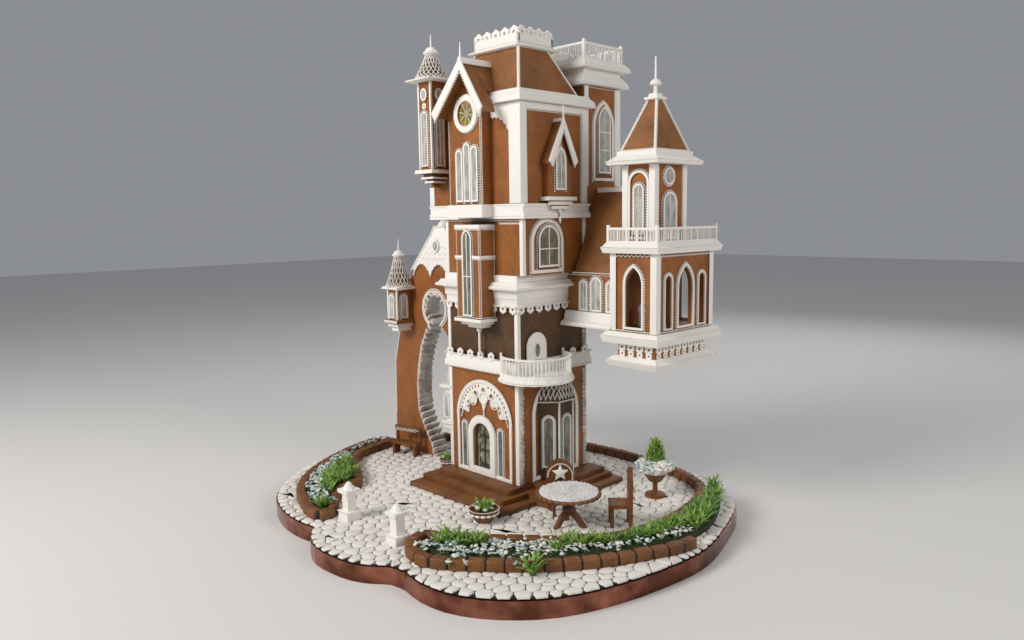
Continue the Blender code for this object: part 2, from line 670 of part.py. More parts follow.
def make_gable_roof():
    """Two slopes with rakes in front and a ridge cap that runs back into the mansard."""
    thick = 0.0042
    left = GABLE_MIDDLE - GABLE_LEFT
    right = GABLE_MIDDLE + GABLE_RIGHT
    facade = Facade("front", GABLE_FRONT)
    chevron = [(left, GABLE_FOOT), (GABLE_MIDDLE, GABLE_APEX), (right, GABLE_FOOT),
               (right, GABLE_FOOT - thick), (GABLE_MIDDLE, GABLE_APEX - thick - 0.0006),
               (left, GABLE_FOOT - thick)]
    slopes = facade.plate(chevron, -0.0600, -0.0020)
    rake = [(left - 0.0015, GABLE_FOOT + 0.0010), (GABLE_MIDDLE, GABLE_APEX + 0.0030),
            (right + 0.0015, GABLE_FOOT + 0.0010), (right - 0.0030, GABLE_FOOT - 0.0085),
            (GABLE_MIDDLE, GABLE_APEX - 0.0130), (left + 0.0040, GABLE_FOOT - 0.0085)]
    rakes = facade.plate(rake, -0.0022, 0.0)
    ridge = [(GABLE_MIDDLE + s, GABLE_APEX + z)
             for s, z in ((-0.0042, -0.0035), (0.0042, -0.0035), (0.0020, 0.0045), (-0.0020, 0.0045))]
    cap = facade.plate(ridge, -0.0600, 0.0006)
    finial = turned(((0.0016, GABLE_APEX), (0.0013, GABLE_APEX + 0.0120), (0.0006, GABLE_APEX + 0.0300)),
                    GABLE_MIDDLE, GABLE_FRONT + 0.0020, sides=6)
    body = fuse([slopes, rakes, cap, finial])
    behind = box(-0.14, 0.06, UPPER[2] - 0.0004, 0.20, 0.44, ROOF_FLOOR + GAP)
    cornice_zone = box(GABLE_MIDDLE + 0.0010, 0.08, -0.0050, 0.20, 0.48, ROOF_FLOOR + GAP)
    slope = grown_frustum(MANSARD_FOOT, MANSARD_HEAD, 2 * GAP)
    turret = box(CORNER_TURRET[0] - 0.02, CORNER_TURRET[1] + 0.0004, CORNER_TURRET[2] - 0.02, 0.02,
                 0.43, 0.62)
    body = carve(body, [behind, cornice_zone, slope, turret])
    finish(body, "gable_roof", "gingerbread")


def grown_frustum(foot, head, by):
    """The mansard's space, a little larger than the mansard itself."""
    return frustum(grown(foot, by), grown(head, by), ROOF_FLOOR, ROOF_TOP)


def turret_roof(plan, levels, plate_reach, cap_radius, cuts, name):
    """An eave plate, a steep cone, a mushroom cap and a thin finial, at the given levels."""
    z0, z1, cone_top, cap_top, tip = levels
    x = (plan[0] + plan[1]) / 2
    y = (plan[2] + plan[3]) / 2
    half = (plan[1] - plan[0]) / 2
    square = (x - half, x + half, y - half, y + half)
    plate = frustum(grown(square, plate_reach), grown(square, plate_reach - 0.0020), z0, z1)
    cone = turned(((half + 0.0060, z1 - BITE), (half * 0.36, cone_top)), x, y, sides=12)
    rise = cap_top - cone_top
    cap = turned(((cap_radius * 0.55, cone_top - BITE), (cap_radius, cone_top + 0.16 * rise),
                  (cap_radius, cone_top + 0.38 * rise), (cap_radius * 0.62, cone_top + 0.74 * rise),
                  (cap_radius * 0.22, cap_top)), x, y, sides=10)
    rod = turned(((0.0011, cap_top - BITE), (0.0008, tip)), x, y, sides=5)
    body = fuse([plate, cone, cap, rod])
    if cuts:
        body = carve(body, cuts)
    return finish(body, name, "icing")


def make_corner_turret():
    x0, x1, y0, y1 = CORNER_TURRET
    pieces = [box(x0, x1, y0, y1, 0.4335, 0.5427)]
    pieces += corbel(CORNER_TURRET, ((0.4290, 0.4339, 0.0050),), ("back",))
    pieces += corbel((x0 + 0.003, x1 - 0.003, y0 + 0.003, y1), (
        (0.4240, 0.4294, 0.0), (0.4222, 0.4246, 0.0028)), ("back",))
    pieces += corbel((x0 + 0.006, x1 - 0.006, y0 + 0.006, y1), (
        (0.4190, 0.4226, 0.0), (0.4172, 0.4196, 0.0024)), ("back",))
    pieces += corbel((x0 + 0.010, x1 - 0.010, y0 + 0.010, y1 - 0.004), ((0.4119, 0.4176, 0.0),), ("back",))
    facade = Facade("front", y0)
    s = (x0 + x1) / 2
    pieces.append(facade.plate(round_arch(s, 0.0068, 0.4380, 0.5010, steps=6), -BITE, 0.0016))
    pieces.append(facade.plate(circle(s, 0.5266, 0.0064, 0.0078, 10), -BITE, 0.0016))
    finish(fuse(pieces), "corner_turret", "gingerbread")
    slope = grown_frustum(MANSARD_FOOT, MANSARD_HEAD, GAP)
    turret_roof(CORNER_TURRET, (0.5430, 0.5468, 0.5762, 0.5868, 0.6026), 0.0118, 0.0095, [slope],
                "corner_turret_roof")


def make_dormer():
    x0, x1, y0, y1 = DORMER
    middle = (y0 + y1) / 2
    facade = Facade("right", x1)
    foot = 0.4365
    apex = 0.4870
    half = 0.0238
    under = 0.0036
    front = [(y0, 0.3955), (y1, 0.3955), (y1, foot), (middle, apex - under - 0.0080), (y0, foot)]
    body = facade.plate(front, -(x1 - x0), 0.0)
    pieces = [body, facade.ring(pointed_arch(middle, 0.0085, 0.4050, 0.4400, sharp=2.2),
                                pointed_arch(middle, 0.0055, 0.4080, 0.4400, sharp=2.2), -BITE, 0.0018)]
    low_x = UPPER[1] + 0.0076
    pieces.append(box(x0, x1 + 0.0048, y0 - 0.0048, y1 + 0.0048, 0.3918, 0.3960))
    pieces.append(box(low_x, x1 + 0.0030, y0 + 0.0010, y1 - 0.0010, 0.3866, 0.3922))
    pieces.append(box(low_x, x1 + 0.0016, y0 + 0.0060, y1 - 0.0060, 0.3818, 0.3870))
    pieces.append(turned(((0.0014, 0.3824), (0.0010, 0.3640)), low_x + 0.0018, middle, sides=6))
    finish(fuse(pieces), "dormer", "gingerbread")
    eave = foot + 0.0015
    roof = [(middle - half, eave), (middle, apex), (middle + half, eave),
            (middle + half, eave - under), (middle, apex - under - 0.0015), (middle - half, eave - under)]
    slopes = facade.plate(roof, -(x1 - x0), 0.0070)
    rake = [(middle - half - 0.0010, eave), (middle, apex + 0.0020), (middle + half + 0.0010, eave),
            (middle + half - 0.0040, foot - 0.0030), (middle, apex - 0.0135),
            (middle - half + 0.0040, foot - 0.0030)]
    rakes = facade.plate(rake, 0.0048, 0.0075)
    finial = turned(((0.0015, apex - 0.0010), (0.0012, apex + 0.0090), (0.0005, apex + 0.0175)),
                    x1 + 0.0060, middle, sides=6)
    roof_body = fuse([slopes, rakes, finial])
    walls = facade.plate([(y0 - GAP, 0.3950), (y1 + GAP, 0.3950), (y1 + GAP, foot + GAP),
                          (middle, apex - under - 0.0080 + 0.0006), (y0 - GAP, foot + GAP)], -0.02, GAP)
    finish(carve(roof_body, [walls]), "dormer_roof", "gingerbread")


# Roofs of the main tower
def make_upper_cornice():
    """A moulded ring that leaves room for the gabled bay in front and the tower behind."""
    bay = GABLE_BAY[1] + 0.0004
    bay_back = UPPER[2] + 0.0001
    tower = (REAR_TOWER[0] - 0.0004, REAR_TOWER[1] + 0.0026)
    tower_front = UPPER[3] + 0.0001
    rings = []
    for reach, z in ((0.0095, UPPER_TOP + GAP), (0.0080, 0.5135), (0.0040, 0.5175), (0.0034, 0.5180),
                     (0.0034, ROOF_FLOOR - GAP)):
        x0, x1, y0, y1 = grown(UPPER, reach)
        plan = [(bay, y0), (x1, y0), (x1, y1), (tower[1], y1), (tower[1], tower_front),
                (tower[0], tower_front), (tower[0], y1), (x0, y1), (x0, bay_back), (bay, bay_back)]
        rings.append([(x, y, z) for x, y in plan])
    finish(loft(rings), "upper_cornice", "icing")


def make_mansard():
    body = frustum(MANSARD_FOOT, MANSARD_HEAD, ROOF_FLOOR, ROOF_TOP)
    finish(body, "mansard", "gingerbread")


def make_crest():
    lip = (-0.0631, 0.0265, 0.0220, 0.0928)
    wall = (-0.0548, 0.0235, 0.0250, 0.0852)
    pieces = [frustum(lip, grown(lip, -0.0010), ROOF_TOP + GAP, 0.5765), box(*wall, 0.5760, 0.5880)]
    x0, x1, y0, y1 = wall
    for side, plane, low, high, count in (("front", y0, x0, x1, 5), ("right", x1, y0, y1, 4),
                                          ("back", y1, x0, x1, 5), ("left", x0, y0, y1, 4)):
        facade = Facade(side, plane)
        for index in range(count):
            s = low + (high - low) * (index + 0.5) / count
            pieces.append(flower(facade, s, 0.5910, 0.0072, -0.0026, 0.0))
    body = fuse(pieces)
    well = box(x0 + 0.0040, x1 - 0.0040, y0 + 0.0040, y1 - 0.0040, 0.5800, 0.6100)
    finish(carve(body, [well]), "crest", "icing")


# Rear tower, wing and hanging pavilion
def make_rear_tower():
    x0, x1, y0, y1 = REAR_TOWER
    right = Facade("right", x1)
    pieces = [box(x0, x1, y0, y1, MID_FLOOR, 0.5360)]
    middle = 0.1605
    low = 0.4300
    pieces.append(right.ring(pointed_arch(middle, 0.0195, low - 0.0120, 0.4870, sharp=1.7),
                             pointed_arch(middle, 0.0155, low - 0.0080, 0.4870, sharp=1.7), -BITE, 0.0018))
    pieces.append(right.plate(pointed_arch(middle + 0.0020, 0.0105, low, 0.4940, sharp=1.9), -BITE, 0.0018))
    pieces.append(right.bar(y0 + 0.0004, y0 + 0.0060, 0.4105, 0.5355, 0.0020))
    pieces.append(right.bar(y1 - 0.0110, y1 - 0.0004, 0.4105, 0.5355, 0.0020))
    finish(fuse(pieces), "rear_tower", "gingerbread")
    cornice = fuse([frustum(grown(REAR_TOWER, 0.0100), grown(REAR_TOWER, 0.0085), 0.5363, 0.5425),
                    frustum(grown(REAR_TOWER, 0.0086), grown(REAR_TOWER, 0.0030), 0.5421, 0.5500),
                    box(*grown(REAR_TOWER, 0.0010), 0.5496, 0.5567)])
    finish(cornice, "rear_tower_cornice", "icing")
    pieces = [frustum(grown(REAR_TOWER, 0.0110), grown(REAR_TOWER, 0.0105), 0.5570, 0.5620),
              frustum(grown(REAR_TOWER, 0.0106), grown(REAR_TOWER, 0.0050), 0.5616, 0.5680)]
    pieces += railing(grown(REAR_TOWER, 0.0015), 0.5676, 0.5885, 5, 6)
    finish(fuse(pieces), "rear_tower_deck", "icing")


def railing(plan, z0, z1, count_x, count_y, wide=0.0024):
    """A rail, corner posts and square balusters along the four sides of a plan."""
    x0, x1, y0, y1 = plan
    half = wide / 2
    pieces = []
    for level in (z0, z1 - 0.0028):
        high = level + (0.0022 if level == z0 else 0.0028)
        rings = []
        for by, z in ((half, level), (half, high), (-half, high), (-half, level)):
            rings.append([(x0 - by, y0 - by, z), (x1 + by, y0 - by, z), (x1 + by, y1 + by, z),
                          (x0 - by, y1 + by, z)])
        pieces.append(loft(rings, closed=True))
    for x in (x0, x1):
        for y in (y0, y1):
            pieces.append(box(x - 0.0017, x + 0.0017, y - 0.0017, y + 0.0017, z0 + 0.0004, z1 + 0.0030))
    for index in range(1, count_x):
        x = x0 + (x1 - x0) * index / count_x
        for y in (y0, y1):
            pieces.append(box(x - 0.0009, x + 0.0009, y - 0.0009, y + 0.0009, z0 + 0.0010, z1 - 0.0010))
    for index in range(1, count_y):
        y = y0 + (y1 - y0) * index / count_y
        for x in (x0, x1):
            pieces.append(box(x - 0.0009, x + 0.0009, y - 0.0009, y + 0.0009, z0 + 0.0010, z1 - 0.0010))
    return pieces


WING_BASE = 0.2354
WING_FLOOR = 0.2535
WING_EAVE = 0.3010
WING_RIDGE = 0.4060
WING_RIDGE_Y = 0.1500


def make_wing():
    x0, x1, y0, y1 = WING
    front = Facade("front", y0)
    rear = (REAR_TOWER[0], x0 + BITE, 0.1388, y1)
    pieces = [box(x0, x1, y0, y1, WING_FLOOR + GAP, WING_EAVE),
              box(*rear, WING_FLOOR + GAP, WING_EAVE)]
    for middle, half, top in ((0.0602, 0.0066, 0.2930), (0.0805, 0.0088, 0.2975), (0.1030, 0.0066, 0.2930)):
        spring = top - half
        pieces.append(front.ring(round_arch(middle, half, WING_FLOOR + 0.0008, spring, steps=8),
                                 round_arch(middle, half - 0.0022, WING_FLOOR + 0.0024, spring, steps=8),
                                 -BITE, 0.0018))
    finish(fuse(pieces), "wing", "gingerbread")
    lip = [(-0.0150, WING_BASE), (-0.0130, 0.2400), (-0.0075, 0.2420), (-0.0060, 0.2500),
           (-0.0040, WING_FLOOR)]
    outline = lip + [(y1 - y0, WING_FLOOR), (y1 - y0, WING_BASE)]
    rings = [[(x, y0 + s, z) for s, z in outline] for x in (x0 - 0.0008, x1)]
    base = [loft(rings), box(rear[0], rear[1], rear[2], rear[3], WING_BASE, WING_FLOOR)]
    finish(fuse(base), "wing_base", "icing")
    eave = WING_EAVE + GAP
    gable = [(y0 - 0.0030, eave), (WING_RIDGE_Y - 0.0020, WING_RIDGE), (WING_RIDGE_Y + 0.0020, WING_RIDGE),
             (y1 + 0.0030, eave)]
    body = loft([[(x, y, z) for y, z in gable] for x in (REAR_TOWER[1] + 0.0008, x1)])
    cap = [(WING_RIDGE_Y - 0.0040, WING_RIDGE - 0.0060), (WING_RIDGE_Y - 0.0030, WING_RIDGE + 0.0020),
           (WING_RIDGE_Y + 0.0030, WING_RIDGE + 0.0020), (WING_RIDGE_Y + 0.0040, WING_RIDGE - 0.0060)]
    ridge = loft([[(x, y, z) for y, z in cap] for x in (REAR_TOWER[1] + 0.0030, 0.1010)])
    above_deck = box(0.1020, 0.20, 0.0, 0.30, 0.3275, 0.45)
    band = box(0.0, UPPER[1] + 0.0076, 0.0, UPPER[3] + 0.0004, MID_TOP, UPPER_FLOOR + 0.0004)
    storey = box(0.0, UPPER[1] + 0.0026, 0.0, UPPER[3] + 0.0004, 0.30, 0.43)
    cornice = box(0.0, MID[1] + 0.0006, 0.0, 0.30, 0.29, 0.31)
    finish(carve(fuse([body, ridge]), [above_deck, band, storey, cornice]), "wing_roof", "gingerbread")


def make_pavilion():
    pieces = [
        frustum(grown(PAVILION, 0.0030), grown(PAVILION, 0.0060), 0.1926, 0.1985),
        frustum(grown(PAVILION, 0.0060), grown(PAVILION, -0.0010), 0.1981, 0.2049),
        box(*grown(PAVILION, -0.0060), 0.2045, 0.2216),
        frustum(grown(PAVILION, 0.0080), grown(PAVILION, 0.0105), 0.2213, 0.2285),
        frustum(grown(PAVILION, 0.0105), grown(PAVILION, 0.0050), 0.2281, 0.2350),
    ]
    finish(fuse(pieces), "pavilion_base", "icing")
    x0, x1, y0, y1 = PAVILION
    floor, head = 0.2353, 0.3281
    front = Facade("front", y0)
    right = Facade("right", x1)
    room = box(x0, x1, y0, y1, floor, head)
    wall = 0.0050
    hollow = box(x0 + wall, x1 - wall, y0 + wall, y1 - wall, floor + 0.0030, head - 0.0030)
    mx = (x0 + x1) / 2 + 0.0010
    my = (y0 + y1) / 2
    sill = floor + 0.0040
    openings = [
        (front, pointed_arch(mx, 0.0115, sill, 0.2920, sharp=1.8)),
        (right, pointed_arch(my, 0.0145, sill, 0.2880, sharp=1.8)),
        (right, round_arch(my - 0.0350, 0.0062, sill, 0.2960, steps=6)),
        (right, round_arch(my + 0.0345, 0.0062, sill, 0.2960, steps=6)),
        (Facade("back", y1), pointed_arch(mx, 0.0115, sill, 0.2950, sharp=1.8)),
    ]
    windows = [facade.plate(outline, -wall - 0.001, 0.001) for facade, outline in openings]
    room = carve(room, [hollow] + windows)
    posts = []
    for x in (x0, x1 - 0.0070):
        posts.append(box(x, x + 0.0074, y0 - 0.0016, y0 + 0.0010, floor, head))
    for y in (y0 - 0.0016, y1 - 0.0070):
        posts.append(box(x1 - 0.0010, x1 + 0.0016, y, y + 0.0074, floor, head))
    finish(fuse([room] + posts), "pavilion_room", "gingerbread")
    deck = [frustum(grown(PAVILION, 0.0080), grown(PAVILION, 0.0100), head + GAP, 0.3345),
            frustum(grown(PAVILION, 0.0100), grown(PAVILION, 0.0050), 0.3341, 0.3410)]
    deck += railing(grown(PAVILION, 0.0030), 0.3406, 0.3584, 5, 9)
    finish(fuse(deck), "pavilion_deck", "icing")
    ux0, ux1, uy0, uy1 = PAVILION_UPPER
    top = 0.4306
    ufront = Facade("front", uy0)
    uright = Facade("right", ux1)
    pieces = [box(*PAVILION_UPPER, 0.3413, top)]
    middle = (ux0 + ux1) / 2
    pieces.append(ufront.ring(round_arch(middle, 0.0144, 0.3450, 0.4098, steps=8),
                              round_arch(middle, 0.0115, 0.3475, 0.4098, steps=8), -BITE, 0.0018))
    pieces.append(ufront.plate(round_arch(middle, 0.0060, 0.3500, 0.4020, steps=6), -BITE, 0.0018))
    middle = (uy0 + uy1) / 2 - 0.0012
    pieces.append(uright.plate(round_arch(middle, 0.0130, 0.3450, 0.3870, steps=8), -BITE, 0.0018))
    pieces.append(uright.plate(circle(middle - 0.0020, 0.4172, 0.0100, 0.0100, 12), -BITE, 0.0018))
    for x in (ux0 - 0.0004, ux1 - 0.0056):
        pieces.append(box(x, x + 0.0060, uy0 - 0.0020, uy0 + BITE, 0.3415, top - 0.0002))
    for y in (uy0 - 0.0020, uy1 - 0.0056):
        pieces.append(box(ux1 - BITE, ux1 + 0.0020, y, y + 0.0060, 0.3415, top - 0.0002))
    finish(fuse(pieces), "pavilion_upper", "gingerbread")
    eave = grown(PAVILION_UPPER, 0.0165)
    pieces = [
        frustum(grown(PAVILION_UPPER, 0.0150), eave, top + GAP, 0.4350),
        frustum(eave, grown(PAVILION_UPPER, 0.0080), 0.4346, 0.4410),
        box(*grown(PAVILION_UPPER, 0.0070), 0.4406, 0.4464),
    ]
    finish(fuse(pieces), "pavilion_eaves", "icing")
    foot = grown(PAVILION_UPPER, 0.0030)
    cx = (ux0 + ux1) / 2
    cy = (uy0 + uy1) / 2
    head_plan = (cx - 0.0060, cx + 0.0060, cy - 0.0060, cy + 0.0060)
    pieces = [frustum(foot, head_plan, 0.4467, 0.5058)]
    pieces.append(box(*grown(head_plan, 0.0035), 0.5054, 0.5096))
    pieces.append(box(*grown(head_plan, -0.0005), 0.5092, 0.5131))
    pieces.append(turned(((0.0026, 0.5127), (0.0022, 0.5222), (0.0066, 0.5232), (0.0066, 0.5265),
                          (0.0040, 0.5290), (0.0012, 0.5300), (0.0009, 0.5558)), cx, cy, sides=8))
    finish(fuse(pieces), "pavilion_roof", "gingerbread")


# Keyhole arch wall with its lace gable, stone lining and two small turrets
KEY_MIDDLE = -0.1836
KEY_HEIGHT = 0.2430
KEY_RADIUS = 0.0235
KEY_NECK = 0.0205
KEY_LEFT = ((-0.2060, 0.2080), (-0.2180, 0.1860), (-0.2260, 0.1560), (-0.2300, 0.1240), (-0.2280, 0.0900),
            (-0.2150, 0.0640), (-0.2000, 0.0420), (-0.1935, PAVING_TOP))
KEY_RIGHT = ((-0.1300, 0.0100), (-0.1290, 0.0700), (-0.1320, 0.1300), (-0.1420, 0.1750), (-0.1520, 0.2000))
ARCH_LEFT = ((-0.2865, 0.0700), (-0.2843, 0.1560), (-0.2713, 0.2040), (-0.2560, 0.2480), (-0.2368, 0.2900))
ARCH_GABLE = ((-0.2340, 0.2980), (-0.2080, 0.3260), (-0.1868, 0.3489), (-0.1790, 0.3600))
ARCH_AXIS = -0.1680
LINING = 0.0036
STEPS_EDGE = -0.1150
LINING_FOOT = KEY_LEFT[-1][0]


def keyhole_head(radius):
    """The round head of the passage, from its neck on the right over the top to the left neck."""
    start = -math.asin(KEY_NECK / KEY_RADIUS)
    end = math.pi - start
    return [(KEY_MIDDLE + radius * math.cos(start + (end - start) * step / 16),
             KEY_HEIGHT + radius * math.sin(start + (end - start) * step / 16)) for step in range(17)]


def arch_outline():
    """The wall's outline: a leaning left edge, a gable and a straight edge at the house."""
    foot = PAVING_TOP + GAP
    right_gable = [(2 * ARCH_AXIS - s, z) for s, z in reversed(ARCH_GABLE)]
    right_gable[-1] = (HOUSE[0] - GAP, right_gable[-1][1])
    left_foot = (-0.2875, foot)
    right_foot = (HOUSE[0] - GAP, foot)
    return [left_foot] + list(ARCH_LEFT) + list(ARCH_GABLE) + right_gable + [right_foot]


def make_arch():
    y0, y1 = ARCH_WALL_Y
    facade = Facade("front", y0)
    wall = facade.plate(arch_outline(), -(y1 - y0), 0.0)
    below = [(KEY_LEFT[-1][0], 0.0), (KEY_RIGHT[0][0], 0.0)]
    passage = facade.plate(keyhole_head(KEY_RADIUS) + list(KEY_LEFT) + below + list(KEY_RIGHT), -0.03, 0.01)
    over_steps = box(STEPS_EDGE - GAP, 0.0, y0 - 0.01, y1 + 0.01, 0.0, PLINTH_TOP)
    finish(carve(wall, [passage, over_steps]), "arch_wall", "gingerbread")
    hem = ((-0.2290, 0.2990), (-0.2200, 0.2920), (-0.2110, 0.3020), (-0.2010, 0.2960), (-0.1920, 0.3040),
           (-0.1836, 0.2900), (-0.1750, 0.3040), (-0.1660, 0.2960), (-0.1560, 0.3020), (-0.1460, 0.2920),
           (-0.1370, 0.3000), (-0.1270, 0.2940), (-0.1120, 0.3000))
    slope = [(2 * ARCH_AXIS - s + 0.0060, z) for s, z in ARCH_GABLE[1:]]
    crest = [(s - 0.0060, z) for s, z in reversed(ARCH_GABLE[1:])]
    lace = facade.plate(list(hem) + slope[:2] + [(ARCH_AXIS + 0.010, 0.3560), (ARCH_AXIS - 0.010, 0.3560)]
                        + crest[1:], GAP, 0.0026)
    half_knob = ((0.0120, 0.3520), (0.0175, 0.3580), (0.0150, 0.3640), (0.0060, 0.3655))
    knob_shape = [(ARCH_AXIS + s, z) for s, z in half_knob] + [(ARCH_AXIS, 0.3700)]
    knob_shape += [(ARCH_AXIS - s, z) for s, z in reversed(half_knob)]
    knob = facade.plate(knob_shape, GAP, 0.0040)
    finish(fuse([lace, knob]), "arch_lace", "icing")
    head = keyhole_head(KEY_RADIUS - GAP)[4:]
    head[-1] = (head[-1][0] + 2 * GAP, head[-1][1])
    jamb = [(s + 1.5 * GAP, z) for s, z in KEY_LEFT[:-1]] + [(LINING_FOOT + 1.5 * GAP, PAVING_TOP + GAP)]
    inner_head = keyhole_head(KEY_RADIUS - LINING)[4:]
    inner_jamb = [(s + LINING, z) for s, z in KEY_LEFT[:-1]] + [(LINING_FOOT + LINING, PAVING_TOP + GAP)]
    strip = head + jamb + list(reversed(inner_head + inner_jamb))
    finish(facade.plate(strip, -0.0240, 0.0020), "arch_lining", "cobble")
    make_arch_turret()
    make_side_turret()


def make_arch_turret():
    x0, x1, y0, y1 = ARCH_TURRET
    pieces = [box(x0, x1, y0, y1, 0.2240, 0.2687)]
    pieces += corbel(ARCH_TURRET, ((0.2195, 0.2244, 0.0050),), ("back",))
    pieces += corbel((x0 + 0.003, x1 - 0.003, y0 + 0.003, y1), ((0.2140, 0.2199, 0.0),), ("back",))
    pieces += corbel((x0 + 0.008, x1 - 0.006, y0 + 0.006, y1), ((0.2070, 0.2144, 0.0),), ("back",))
    facade = Facade("front", y0)
    s = (x0 + x1) / 2
    pieces.append(facade.plate(round_arch(s, 0.0060, 0.2270, 0.2560, steps=6), -BITE, 0.0016))
    finish(fuse(pieces), "arch_turret", "gingerbread")
    wall_side = box(-0.30, -0.20, ARCH_WALL_Y[0] - GAP, 0.10, 0.20, 0.36)
    turret_roof(ARCH_TURRET, (0.2690, 0.2740, 0.3165, 0.3270, 0.3430), 0.0080, 0.0095, [wall_side],
                "arch_turret_roof")


def make_side_turret():
    x0, x1, y0, y1 = SIDE_TURRET
    x = (x0 + x1) / 2
    y = (y0 + y1) / 2
    pieces = [box(x0 + 0.0030, x1, y0 + 0.0030, y1 - 0.0030, 0.0980, 0.1455),
              box(x0 - 0.0030, x1, y0 - 0.0030, y1 + 0.0030, 0.1450, 0.1490),
              box(x0 - 0.0020, x1, y0 - 0.0020, y1 + 0.0020, 0.0945, 0.0985),
              box(x0 + 0.0020, x1, y0 + 0.0020, y1 - 0.0020, 0.0920, 0.0949),
              box(x0 + 0.0005, x1, y0 + 0.0005, y1 - 0.0005, 0.0885, 0.0924)]
    cone = turned(((0.0088, 0.1486), (0.0036, 0.1700), (0.0048, 0.1715), (0.0010, 0.1755)), x, y, sides=8)
    finish(fuse(pieces + [cone]), "side_turret", "icing")


# Garden walls and planting: paths in plan
LEFT_PLANTER = ((-0.2880, 0.0400), (-0.2720, -0.0220), (-0.2420, -0.0540), (-0.2000, -0.0770),
                (-0.1640, -0.1000), (-0.1480, -0.1370), (-0.1200, -0.1620), (-0.0965, -0.1780),
                (-0.0930, -0.1930), (-0.1090, -0.1985), (-0.1430, -0.1890), (-0.1850, -0.1710),
                (-0.2220, -0.1420), (-0.2600, -0.0940), (-0.2880, -0.0420), (-0.3060, 0.0120),
                (-0.3020, 0.0400))
RING_WALL = ((0.0500, -0.1470), (0.0660, -0.1370), (0.0960, -0.1160), (0.1500, -0.0720), (0.1950, -0.0180),
             (0.2120, 0.0450), (0.2100, 0.1000), (0.1990, 0.1480), (0.1810, 0.1830), (0.1580, 0.2030),
             (0.1230, 0.2190), (0.0710, 0.2310), (0.0160, 0.2360), (-0.0400, 0.2330), (-0.1000, 0.2210),
             (-0.1600, 0.1960), (-0.2150, 0.1560), (-0.2520, 0.1150), (-0.2700, 0.0850))
OUTER_WALL = ((0.0475, -0.1625), (0.0540, -0.1770), (0.0730, -0.1870), (0.1020, -0.1870),
              (0.1420, -0.1590), (0.1990, -0.1040), (0.2310, -0.0540), (0.2570, 0.0040), (0.2630, 0.0300))
FRONT_BED = ((0.0620, -0.1640), (0.0780, -0.1730), (0.1010, -0.1730), (0.1340, -0.1500), (0.1880, -0.0980),
             (0.2190, -0.0490), (0.2430, 0.0050), (0.2530, 0.0450), (0.2500, 0.0900), (0.2360, 0.1320),
             (0.2150, 0.1720), (0.1880, 0.2030), (0.1740, 0.2100), (0.1920, 0.1880), (0.2080, 0.1500),
             (0.2190, 0.1010), (0.2210, 0.0440), (0.2050, -0.0220), (0.1580, -0.0790), (0.1020, -0.1240),
             (0.0700, -0.1470))
CURB_HALF = 0.0058
CURB_HEIGHT = 0.0135
BRICK = 0.0290
BLADE_PITCH = 0.0225


def curb(points, closed):
    """A low wall of rounded bricks along a path: narrow rings at the joints, full ones between."""
    joints = resampled(points, BRICK / 2.0, closed)
    if closed:
        joints = joints[:len(joints) - len(joints) % 2]
    foot = PAVING_TOP + GAP
    rings = []
    count = len(joints)
    for index, (x, y) in enumerate(joints):
        if closed:
            before, after = joints[index - 1], joints[(index + 1) % count]
        else:
            before, after = joints[max(index - 1, 0)], joints[min(index + 1, count - 1)]
        dx, dy = after[0] - before[0], after[1] - before[1]
        length = math.hypot(dx, dy)
        nx, ny = -dy / length, dx / length
        at_joint = index % 2 == 0
        half = CURB_HALF * (0.82 if at_joint else 1.0)
        high = foot + CURB_HEIGHT * (0.84 if at_joint else 1.0)
        top = half * 0.8
        rings.append([(x + nx * half, y + ny * half, foot), (x - nx * half, y - ny * half, foot),
                      (x - nx * top, y - ny * top, high), (x + nx * top, y + ny * top, high)])
    return loft(rings, closed=closed)


def shrunk(points, by):
    """An outline moved inwards by a distance, for a loop that runs either way round."""
    count = len(points)
    area = sum(points[k][0] * points[(k + 1) % count][1] - points[(k + 1) % count][0] * points[k][1]
               for k in range(count))
    sign = 1.0 if area > 0.0 else -1.0
    result = []
    for index in range(count):
        before, after = points[index - 1], points[(index + 1) % count]
        dx, dy = after[0] - before[0], after[1] - before[1]
        length = math.hypot(dx, dy)
        x, y = points[index]
        result.append((x - sign * dy / length * by, y + sign * dx / length * by))
    return result


def inside(x, y, outline):
    hit = False
    count = len(outline)
    for index in range(count):
        x0, y0 = outline[index]
        x1, y1 = outline[(index + 1) % count]
        if (y0 > y) != (y1 > y) and x < (x1 - x0) * (y - y0) / (y1 - y0) + x0:
            hit = not hit
    return hit


def planting(outline, name, seed, spacing):
    """A bed of soil and low foliage with grass blades standing out of it."""
    rng = random.Random(seed)
    floor = PAVING_TOP + GAP
    top = floor + CURB_HEIGHT - 0.0015
    pieces = [slab(outline, floor, top)]
    xs = [x for x, _ in outline]
    ys = [y for _, y in outline]
    safe = shrunk(outline, 0.0024)
    for column in range(int((max(xs) - min(xs)) / spacing) + 1):
        for row in range(int((max(ys) - min(ys)) / spacing) + 1):
            x = min(xs) + (column + rng.uniform(-0.3, 0.3)) * spacing
            y = min(ys) + (row + rng.uniform(-0.3, 0.3)) * spacing
            tall = rng.uniform(0.010, 0.017)
            lean = (rng.uniform(-0.002, 0.002), rng.uniform(-0.002, 0.002))
            turn = rng.uniform(0.0, 2.0)
            if inside(x, y, safe):
                pieces.append(spike(x, y, top - BITE, tall, 0.0024, lean, 3, turn))
    return finish(fuse(pieces), name, "leaf")


def left_bed():
    """The outline of the soil inside the left planter's wall."""
    path = resampled(smooth_curve(LEFT_PLANTER, 6, closed=True), 0.012, closed=True)
    wide = [(x, y) for x, y in shrunk(path, CURB_HALF + 0.0012) if y < 0.0]
    return wide


